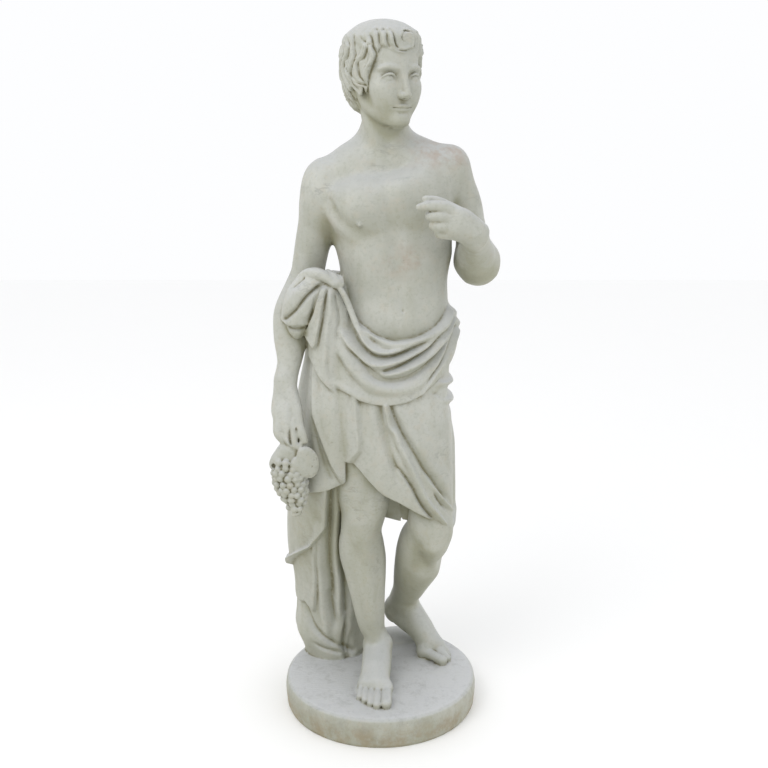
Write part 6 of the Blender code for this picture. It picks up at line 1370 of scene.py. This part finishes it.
def hollowness(block, points, reach, step):
    """The share of marble in a small cube round each point: a half on a flat face, more in a hollow."""
    ticks = [np.arange(axis[0], axis[-1], step) for axis in block.axes]
    picks = [np.searchsorted(axis, tick).clip(0, len(axis) - 1) for axis, tick in zip(block.axes, ticks)]
    share = np.clip(0.5 - block.field[np.ix_(*picks)] / step, 0, 1).astype(np.float32)
    width = int(round(reach / step))
    for axis in range(3):
        pad = [(0, 0)] * 3
        pad[axis] = (width + 1, width)
        total = np.cumsum(np.pad(share, pad, mode="edge"), axis=axis, dtype=np.float64)
        count = share.shape[axis]
        after = np.take(total, np.arange(count) + 2 * width + 1, axis=axis)
        before = np.take(total, np.arange(count), axis=axis)
        share = ((after - before) / (2 * width + 1)).astype(np.float32)
    at = [np.interp(points[:, i], tick, np.arange(len(tick))) for i, tick in enumerate(ticks)]
    low = [np.floor(a).astype(int).clip(0, n - 2) for a, n in zip(at, share.shape)]
    part = [a - b for a, b in zip(at, low)]
    value = np.zeros(len(points))
    for corner in np.ndindex(2, 2, 2):
        weight = np.prod([p if c else 1 - p for p, c in zip(part, corner)], axis=0)
        value += weight * share[tuple(b + c for b, c in zip(low, corner))]
    return value


def creases(mesh, rounds):
    """How sharply the surface is folded inwards at each vertex, smoothed over a few neighbours."""
    count = len(mesh.vertices)
    points = np.empty(count * 3, np.float32)
    normals = np.empty(count * 3, np.float32)
    ends = np.empty(len(mesh.edges) * 2, np.int32)
    mesh.vertices.foreach_get("co", points)
    mesh.vertex_normals.foreach_get("vector", normals)
    mesh.edges.foreach_get("vertices", ends)
    points, normals, ends = points.reshape(-1, 3), normals.reshape(-1, 3), ends.reshape(-1, 2)
    a, b = ends[:, 0], ends[:, 1]
    gap = points[b] - points[a]
    length = np.linalg.norm(gap, axis=1) + 1e-9
    bend = ((normals[b] - normals[a]) * gap).sum(axis=1) / length**2
    value = -(np.bincount(a, bend, count) + np.bincount(b, bend, count))
    value /= np.maximum(np.bincount(a, minlength=count) + np.bincount(b, minlength=count), 1)
    for _ in range(rounds):
        total = np.bincount(a, value[b], count) + np.bincount(b, value[a], count)
        number = np.bincount(a, minlength=count) + np.bincount(b, minlength=count)
        value = 0.5 * value + 0.5 * total / np.maximum(number, 1)
    return value


def add_values(mesh, name, values):
    """Keeps a number at each vertex for the material to read."""
    attribute = mesh.attributes.new(name, "FLOAT", "POINT")
    attribute.data.foreach_set("value", np.float32(values))


def mesh_object(name, points, faces):
    """A new object with the given points and faces."""
    mesh = bpy.data.meshes.new(name)
    mesh.vertices.add(len(points))
    mesh.vertices.foreach_set("co", np.float32(points).ravel())
    mesh.loops.add(faces.size)
    mesh.loops.foreach_set("vertex_index", np.int32(faces).ravel())
    mesh.polygons.add(len(faces))
    mesh.polygons.foreach_set("loop_start", np.arange(0, faces.size, faces.shape[1], dtype=np.int32))
    mesh.update(calc_edges=True)
    mesh.validate()
    thing = bpy.data.objects.new(name, mesh)
    bpy.context.scene.collection.objects.link(thing)
    return thing


def make_active(thing):
    """Selects one object and nothing else."""
    bpy.ops.object.select_all(action="DESELECT")
    thing.select_set(True)
    bpy.context.view_layer.objects.active = thing


def thin_out(thing, faces):
    """Leaves about the given number of triangles on a mesh of quads."""
    fewer = thing.modifiers.new("fewer", "DECIMATE")
    fewer.ratio = min(faces / (2 * len(thing.data.polygons)), 1.0)
    make_active(thing)
    bpy.ops.object.modifier_apply(modifier=fewer.name)


def saw_flat(thing):
    """Saws the underside flat at height 0, closes it and drops crumbs that hang on nothing."""
    shape = bmesh.new()
    shape.from_mesh(thing.data)
    everything = shape.verts[:] + shape.edges[:] + shape.faces[:]
    bmesh.ops.bisect_plane(shape, geom=everything, plane_co=(0, 0, 0), plane_no=(0, 0, 1), clear_inner=True)
    rim = [edge for edge in shape.edges if edge.is_boundary]
    bmesh.ops.edgeloop_fill(shape, edges=rim)
    bmesh.ops.triangulate(shape, faces=shape.faces[:])
    shape.verts.index_update()
    groups = np.arange(len(shape.verts))
    ends = np.array([[v.index for v in edge.verts] for edge in shape.edges])
    while True:
        least = groups.copy()
        np.minimum.at(least, ends[:, 0], groups[ends[:, 1]])
        np.minimum.at(least, ends[:, 1], groups[ends[:, 0]])
        least = least[least]
        if (least == groups).all():
            break
        groups = least
    main_group = np.bincount(groups).argmax()
    crumbs = [v for v in shape.verts if groups[v.index] != main_group]
    bmesh.ops.delete(shape, geom=crumbs, context="VERTS")
    bmesh.ops.recalc_face_normals(shape, faces=shape.faces[:])
    shape.to_mesh(thing.data)
    shape.free()


class Value:
    """A number that varies over the surface: Python arithmetic on it adds Math nodes."""

    def __init__(self, nodes, socket):
        self.nodes, self.socket = nodes, socket

    def maths(self, operation, *others):
        """The result of a Math node on this number and others."""
        sockets = {i: other for i, other in enumerate((self, *others))}
        return self.nodes.add("ShaderNodeMath", {"operation": operation}, sockets).value()

    def __add__(self, other):
        return self.maths("ADD", other)

    def __radd__(self, other):
        return self.maths("ADD", other)

    def __sub__(self, other):
        return self.maths("SUBTRACT", other)

    def __rsub__(self, other):
        return (self * -1).maths("ADD", other)

    def __mul__(self, other):
        return self.maths("MULTIPLY", other)

    def __rmul__(self, other):
        return self.maths("MULTIPLY", other)

    def __truediv__(self, other):
        return self.maths("DIVIDE", other)

    def __pow__(self, other):
        return self.maths("POWER", other)

    def larger(self, other):
        return self.maths("MAXIMUM", other)

    def smaller(self, other):
        return self.maths("MINIMUM", other)

    def ramp(self, low, high):
        """0 below low, 1 above high and smooth between; low may be the larger of the two."""
        sockets = {"Value": self, "From Min": low, "From Max": high}
        settings = {"interpolation_type": "SMOOTHSTEP"}
        return self.nodes.add("ShaderNodeMapRange", settings, sockets).value("Result")


class Node:
    """One node of a material."""

    def __init__(self, nodes, node):
        self.nodes, self.node = nodes, node

    def out(self, name=0):
        return self.node.outputs[name]

    def value(self, name=0):
        return Value(self.nodes, self.node.outputs[name])


class Nodes:
    """The node tree of a new material."""

    def __init__(self, name):
        self.material = bpy.data.materials.new(name)
        self.material.use_nodes = True
        self.tree = self.material.node_tree
        self.shader = self.tree.nodes["Principled BSDF"]

    def add(self, kind, settings=None, sockets=None):
        """A node of a kind, with its settings, then the values or links of its sockets."""
        node = self.tree.nodes.new(kind)
        for key, setting in (settings or {}).items():
            setattr(node, key, setting)
        for key, given in (sockets or {}).items():
            self.feed(node.inputs[key], given)
        return Node(self, node)

    def feed(self, socket, given):
        """Links a value or a socket to a socket, or sets a plain number on it."""
        if isinstance(given, Value):
            given = given.socket
        if isinstance(given, bpy.types.NodeSocket):
            self.tree.links.new(given, socket)
        else:
            socket.default_value = given

    def mix(self, share, first, second, blend="MIX"):
        """A colour between two."""
        settings = {"data_type": "RGBA", "blend_type": blend}
        return self.add("ShaderNodeMix", settings, {0: share, 6: first, 7: second}).out(2)

    def noise(self, place, scale, detail=4.0, rough=0.55):
        """A cloudy pattern from 0 to 1."""
        sockets = {"Vector": place, "Scale": scale, "Detail": detail, "Roughness": rough}
        return self.add("ShaderNodeTexNoise", None, sockets).value("Fac")

    def stretch(self, place, scale, turn=(0.0, 0.0, 0.0)):
        """Places turned and scaled, for a pattern drawn out along one direction."""
        return self.add("ShaderNodeMapping", None, {"Vector": place, "Rotation": turn, "Scale": scale}).out()

    def kept(self, name):
        """A number kept at each vertex."""
        return self.add("ShaderNodeAttribute", {"attribute_name": name}).value("Fac")

    def near(self, place, centre, reach):
        """1 at a spot of the block, falling to 0 at the reach."""
        shift = self.add("ShaderNodeVectorMath", {"operation": "SUBTRACT"}, {0: place, 1: centre}).out()
        squash = self.add("ShaderNodeVectorMath", {"operation": "DIVIDE"}, {0: shift, 1: reach}).out()
        length = self.add("ShaderNodeVectorMath", {"operation": "LENGTH"}, {0: squash}).value("Value")
        return length.ramp(1.0, 0.2)


def colour(value):
    """A panel's colour as a shader takes it."""
    return (*value, 1.0)


def weathered_marble(look):
    """Veined off-white marble with dirt and painted shade in its hollows, olive film and painted shade under
    overhangs and on faces that look down, painted light on faces that look up, stains, specks and fine
    pitting.
    """
    nodes = Nodes("weathered marble")
    place = nodes.add("ShaderNodeTexCoord").out("Object")
    facing = nodes.add("ShaderNodeNewGeometry").out("Normal")
    z = nodes.add("ShaderNodeSeparateXYZ", None, {0: place}).value(2)
    up = nodes.add("ShaderNodeSeparateXYZ", None, {0: facing}).value(2)
    crease, hollow, shelter = (nodes.kept(name) for name in ("crease", "hollow", "shelter"))

    cloud = nodes.noise(place, 7.0, 5.0, 0.6)
    mottle = nodes.noise(place, 38.0, 5.0, 0.65)
    grain = nodes.noise(place, 420.0, 3.0, 0.6)
    clouds = (cloud * 0.75 + mottle * 0.25).ramp(0.36, 0.64)
    stone = nodes.mix(clouds, colour(look.stone), colour(look.stone_light))
    stone = nodes.mix(mottle.ramp(0.50, 0.70) * 0.38, stone, colour(look.stone_warm))
    flecks = nodes.noise(place, 125.0, 5.0, 0.72)
    stone = nodes.mix(flecks.ramp(0.50, 0.64) * 0.26, stone, colour(look.fleck))

    # veins: thin bent lines where a slow noise crosses its middle value
    drift = nodes.add("ShaderNodeTexNoise", None, {"Vector": place, "Scale": 5.0, "Detail": 3.0}).out("Color")
    slanted = nodes.stretch(nodes.mix(0.12, place, drift, "ADD"), (1.0, 1.0, 2.6), (0.35, 0.5, 0.2))
    vein_noise = nodes.noise(slanted, 4.2, 6.0, 0.6)
    vein = (vein_noise - 0.5).maths("ABSOLUTE").ramp(0.016, 0.0) * nodes.noise(place, 9.0).ramp(0.48, 0.66)
    stone = nodes.mix(vein * look.veining, stone, colour(look.vein))
    fine_noise = nodes.noise(slanted, 13.0, 4.0, 0.6)
    fine = (fine_noise - 0.5).maths("ABSOLUTE").ramp(0.012, 0.0) * nodes.noise(place, 14.0).ramp(0.52, 0.68)
    stone = nodes.mix(fine * look.veining * 0.5, stone, colour(look.vein))

    # painted top light: faces that look up are made paler and bluer
    painted_top_light = up.ramp(0.15, 0.95) * (0.65 + 0.35 * mottle)
    stone = nodes.mix(painted_top_light * 0.54, stone, colour(look.painted_top_light))
    tooled = z.ramp(0.085, 0.070)
    # painted top light on the upper face of the plinth, paler still
    painted_plinth_top_light = tooled * up.ramp(0.80, 0.97)
    stone = nodes.mix(painted_plinth_top_light * 0.70, stone, colour(look.painted_plinth_top_light))
    worn = nodes.noise(place, 34.0, 6.0, 0.75).ramp(0.48, 0.66)
    stone = nodes.mix(tooled * worn * 0.32, stone, colour(look.vein))

    # stains: left collar and shoulder, right flank, ribs, and the lower edge of the plinth
    stain = nodes.near(place, (0.135, -0.03, 1.37), (0.13, 0.12, 0.07)) * 0.55
    stain = stain.larger(nodes.near(place, (-0.115, -0.02, 1.16), (0.05, 0.10, 0.12)) * 0.30)
    stain = stain.larger(nodes.near(place, (0.055, -0.10, 1.13), (0.10, 0.08, 0.06)) * 0.40)
    stain = stain * nodes.noise(place, 26.0, 6.0, 0.7).ramp(0.42, 0.66)
    stone = nodes.mix(stain, stone, colour(look.stain))
    rim = z.ramp(0.072, 0.018) * nodes.noise(place, 18.0, 6.0, 0.72).ramp(0.38, 0.62)
    stone = nodes.mix(rim * 0.80, stone, colour(look.earth))

    # olive film mixed with painted shade: under overhangs, on faces that look down, and low on the figure
    # where faces don't look up; the film also runs down in streaks
    film_and_shade = shelter.ramp(0.50, 0.78) * (0.75 + 0.25 * mottle) * (0.5 + 0.5 * z.ramp(0.15, 0.45))
    film_and_shade = film_and_shade + up.ramp(0.15, -0.65) * 0.45
    film_and_shade = film_and_shade + z.ramp(0.80, 0.45) * up.ramp(0.45, 0.05) * 0.36
    runs = nodes.noise(nodes.stretch(place, (1.0, 1.0, 0.22)), 30.0, 4.0, 0.6)
    film_and_shade = film_and_shade + runs.ramp(0.50, 0.70) * up.ramp(0.60, 0.10) * 0.22
    # painted shade and film in spots: more on the throat, elbow, forearm and front panel, less at the foot of
    # the cloth
    film_and_shade = film_and_shade + nodes.near(place, (0.03, -0.05, 1.43), (0.10, 0.11, 0.11)) * 0.42
    film_and_shade = film_and_shade + nodes.near(place, (0.235, -0.01, 1.09), (0.08, 0.10, 0.09)) * 0.70
    film_and_shade = film_and_shade + nodes.near(place, (-0.20, -0.05, 0.95), (0.09, 0.11, 0.14)) * 0.15
    film_and_shade = film_and_shade + nodes.near(place, (-0.13, -0.10, 0.72), (0.08, 0.07, 0.12)) * 0.30
    film_and_shade = (film_and_shade - nodes.near(place, (-0.14, 0.03, 0.30), (0.13, 0.16, 0.27)) * 0.32).larger(0.0)
    stone = nodes.mix(film_and_shade.smaller(1.0) * look.film_and_shade, stone, colour(look.film_and_shade_colour))
    # dirt and painted shade in the hollows and creases, broken up by noise
    broken = nodes.noise(place, 70.0, 5.0, 0.7)
    dirt_and_shade_mask = (hollow.ramp(0.55, 0.80) * 0.75 + crease.ramp(18.0, 130.0) * 0.65) * broken.ramp(0.22, 0.60)
    stone = nodes.mix(dirt_and_shade_mask.smaller(1.0) * look.dirt_and_shade, stone, colour(look.dirt_and_shade_colour))

    # specks and a few pores
    cells = nodes.add("ShaderNodeTexVoronoi", None, {"Vector": place, "Scale": 95.0, "Randomness": 1.0})
    chosen = nodes.add("ShaderNodeSeparateColor", None, {0: cells.out("Color")}).value(0)
    speck = cells.value("Distance").ramp(0.16, 0.07) * chosen.ramp(0.92, 0.95)
    stone = nodes.mix(speck * 0.30, stone, colour(look.speck))
    stone = nodes.mix(grain.ramp(0.35, 0.65) * 0.10, stone, colour(look.grain), "MULTIPLY")

    # finish: softly polished on the skin, rougher in the hollows and on the plinth
    rough = look.roughness + dirt_and_shade_mask.smaller(1.0) * 0.22 + tooled * 0.12
    rough = rough - painted_top_light * 0.04 + (mottle - 0.5) * 0.15
    relief = grain * 0.35 + mottle * 0.9 + nodes.noise(place, 150.0, 4.0, 0.6) * 0.6 - speck * 1.2
    chisel = nodes.noise(nodes.stretch(place, (1.0, 3.0, 1.0)), 70.0, 2.0, 0.5)
    relief = relief + chisel * tooled * 3.5 + flecks * 0.5
    bump = nodes.add("ShaderNodeBump", None, {"Strength": 0.5, "Distance": 0.0009, "Height": relief}).out()
    nodes.feed(nodes.shader.inputs["Base Color"], stone)
    nodes.feed(nodes.shader.inputs["Roughness"], rough)
    nodes.feed(nodes.shader.inputs["Normal"], bump)
    nodes.shader.inputs["Specular IOR Level"].default_value = 0.42
    nodes.shader.inputs["Subsurface Weight"].default_value = look.glow
    nodes.shader.inputs["Subsurface Radius"].default_value = (0.9, 0.8, 0.6)
    nodes.shader.inputs["Subsurface Scale"].default_value = 0.004
    return nodes.material


def floor_material(tone):
    """Plain matt paint, with a very faint unevenness."""
    nodes = Nodes("studio floor")
    place = nodes.add("ShaderNodeTexCoord").out("Object")
    uneven = nodes.noise(place, 3.0).ramp(0.3, 0.7) * 0.04
    paint = nodes.mix(uneven, colour(tone), colour([0.95 * c for c in tone]))
    nodes.feed(nodes.shader.inputs["Base Color"], paint)
    nodes.shader.inputs["Roughness"].default_value = 0.9
    return nodes.material


def tint(name, description, default):
    """A colour that the panel shows."""
    return bpy.props.FloatVectorProperty(
        name=name, description=description, default=default, subtype="COLOR", size=3, min=0, max=1
    )


class StatueCarving(bpy.types.PropertyGroup):
    """How finely the block is carved."""

    cell: bpy.props.FloatProperty(
        name="Cell", description="Spacing of the block's grid", default=0.0023, min=0.001, unit="LENGTH"
    )
    head_cell: bpy.props.FloatProperty(
        name="Head Cell", description="Spacing round the head", default=0.0014, min=0.001, unit="LENGTH"
    )
    triangles: bpy.props.IntProperty(
        name="Triangles", description="Triangles that the carved surface keeps", default=192000, min=20000
    )


class MarbleLook(bpy.types.PropertyGroup):
    """Colours and wear of the stone, with the colours of its painted light and shade."""

    stone: tint("Stone", "Main colour of the marble", (0.390, 0.396, 0.345))
    stone_light: tint("Light Stone", "Paler clouds in the marble", (0.470, 0.476, 0.430))
    stone_warm: tint("Warm Stone", "Warmer mottling", (0.42, 0.385, 0.305))
    fleck: tint("Fleck", "Fine grey-green flecks", (0.255, 0.265, 0.205))
    # painted top light: the paler, bluer colour given to faces that look up
    painted_top_light: tint("Washed", "Tops that rain keeps clean", (0.525, 0.545, 0.585))
    # painted top light on the plinth's upper face
    painted_plinth_top_light: tint("Trodden", "Upper face of the plinth", (0.60, 0.61, 0.635))
    vein: tint("Vein", "Grey veins", (0.23, 0.235, 0.215))
    stain: tint("Stain", "Rust-brown stains", (0.36, 0.265, 0.20))
    earth: tint("Earth", "Earth stains on the foot of the plinth", (0.32, 0.25, 0.165))
    # olive film, which also paints shade under overhangs and on faces that look down
    film_and_shade_colour: tint("Film", "Olive film on sheltered faces", (0.25, 0.245, 0.140))
    # dirt colour, which also paints shade into the hollows and creases
    dirt_and_shade_colour: tint("Dirt", "Dirt in the creases", (0.160, 0.145, 0.076))
    speck: tint("Speck", "Dark specks", (0.16, 0.15, 0.12))
    grain: tint("Grain", "Crystal grain", (0.82, 0.83, 0.84))
    veining: bpy.props.FloatProperty(
        name="Veining", description="Depth of the veins", default=0.45, min=0, max=1
    )
    # strength of the olive film and its painted shade
    film_and_shade: bpy.props.FloatProperty(name="Film", description="Depth of the film", default=0.62, min=0, max=1)
    # strength of the dirt and painted shade in the hollows and creases
    dirt_and_shade: bpy.props.FloatProperty(name="Dirt", description="Strength of the dirt", default=0.84, min=0, max=1)
    glow: bpy.props.FloatProperty(
        name="Glow", description="Share of light that enters the stone", default=0.12, min=0, max=1
    )
    roughness: bpy.props.FloatProperty(
        name="Roughness", description="Roughness of the rubbed skin", default=0.46, min=0, max=1
    )


class StageLook(bpy.types.PropertyGroup):
    """The floor and the lights."""

    floor: tint("Floor", "Colour of the floor", (0.97, 0.97, 0.967))
    sky: bpy.props.FloatProperty(name="Sky", description="Light from all round", default=1.0, min=0)
    key: bpy.props.FloatProperty(name="Key", description="Key light", default=26.5, min=0, unit="POWER")
    fill: bpy.props.FloatProperty(name="Fill", description="Fill light", default=6.0, min=0, unit="POWER")


class StatueOperator(bpy.types.Operator):
    """Carves the statue out of one block of marble"""

    bl_idname = "statue.carve"
    bl_label = "Carve Statue"

    def execute(self, context):
        carving = context.scene.statue_carving
        fine = (*NEAR_HEAD, carving.head_cell)
        block = Block(*BLOCK, carving.cell, fine)
        for carve in PARTS:
            carve(block)
        points, faces = block.mesh()
        statue = mesh_object("marble_statue", points, faces)
        thin_out(statue, carving.triangles)
        saw_flat(statue)
        mesh = statue.data
        mesh.shade_smooth()
        points = np.empty(len(mesh.vertices) * 3, np.float32)
        mesh.vertices.foreach_get("co", points)
        points = points.reshape(-1, 3).astype(float)
        # creases, hollows and cover from above, which the material paints with dirt, film and painted shade
        add_values(mesh, "crease", creases(mesh, 2))
        add_values(mesh, "hollow", hollowness(block, points, *HOLLOW))
        above = points + np.array((0, 0, SHELTER_RISE))
        add_values(mesh, "shelter", hollowness(block, above, *SHELTER))
        mesh.materials.append(weathered_marble(context.scene.marble_look))
        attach(statue, "root")
        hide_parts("statue")
        return {"FINISHED"}


class StageOperator(bpy.types.Operator):
    """Sets up the floor, the lights and the camera"""

    bl_idname = "statue.stage"
    bl_label = "Set the Stage"

    def execute(self, context):
        look = context.scene.stage_look
        bpy.ops.object.select_all(action="DESELECT")
        bpy.ops.mesh.primitive_plane_add(size=FLOOR_SIZE, location=(0, 0, 0))
        floor = context.active_object
        floor.name = "floor"
        floor.data.materials.append(floor_material(look.floor))
        self.light(context, "key", look.key, 1.8, (-1.5, -1.7, 3.0), (1.0, 0.99, 0.97))
        self.light(context, "fill", look.fill, 2.2, (2.4, -1.6, 1.5), (0.96, 0.98, 1.0))
        world = bpy.data.worlds.new("studio")
        world.use_nodes = True
        background = world.node_tree.nodes["Background"]
        background.inputs["Color"].default_value = (0.985, 0.99, 1.0, 1.0)
        background.inputs["Strength"].default_value = look.sky
        context.scene.world = world
        lens = bpy.data.cameras.new("camera")
        lens.sensor_width = SENSOR
        lens.lens = FOCAL_LENGTH
        camera = bpy.data.objects.new("camera", lens)
        camera.location = CAMERA_PLACE
        camera.rotation_euler = (math.radians(90 - CAMERA_DIP), 0, 0)
        context.scene.collection.objects.link(camera)
        context.scene.camera = camera
        context.scene.view_settings.view_transform = "Standard"
        return {"FINISHED"}

    def light(self, context, name, power, size, place, shade):
        """A square soft light that looks at the middle of the statue."""
        lamp = bpy.data.lights.new(name, "AREA")
        lamp.energy, lamp.size, lamp.color = power, size, shade
        thing = bpy.data.objects.new(name, lamp)
        thing.location = place
        aim = Vector(LAMPS_AIM) - Vector(place)
        thing.rotation_euler = aim.to_track_quat("-Z", "Y").to_euler()
        context.scene.collection.objects.link(thing)


class StatuePanel(bpy.types.Panel):
    """Sizes, colours and steps of the statue"""

    bl_idname = "VIEW3D_PT_statue"
    bl_label = "Marble Statue"
    bl_space_type = "VIEW_3D"
    bl_region_type = "UI"
    bl_category = "Statue"

    def draw(self, context):
        for group in (context.scene.statue_carving, context.scene.marble_look, context.scene.stage_look):
            box = self.layout.box()
            for name in group.bl_rna.properties.keys():
                if name not in ("rna_type", "name"):
                    box.prop(group, name)
        self.layout.operator(StatueOperator.bl_idname)
        self.layout.operator(StageOperator.bl_idname)


CLASSES = (StatueCarving, MarbleLook, StageLook, StatueOperator, StageOperator, StatuePanel)
GROUPS = {"statue_carving": StatueCarving, "marble_look": MarbleLook, "stage_look": StageLook}


def register():
    for item in CLASSES:
        bpy.utils.register_class(item)
    for name, group in GROUPS.items():
        setattr(bpy.types.Scene, name, bpy.props.PointerProperty(type=group))


def unregister():
    for name in GROUPS:
        delattr(bpy.types.Scene, name)
    for item in reversed(CLASSES):
        bpy.utils.unregister_class(item)


def main():
    register()
    bpy.ops.statue.carve()
    bpy.ops.statue.stage()


if __name__ == "__main__":
    main()
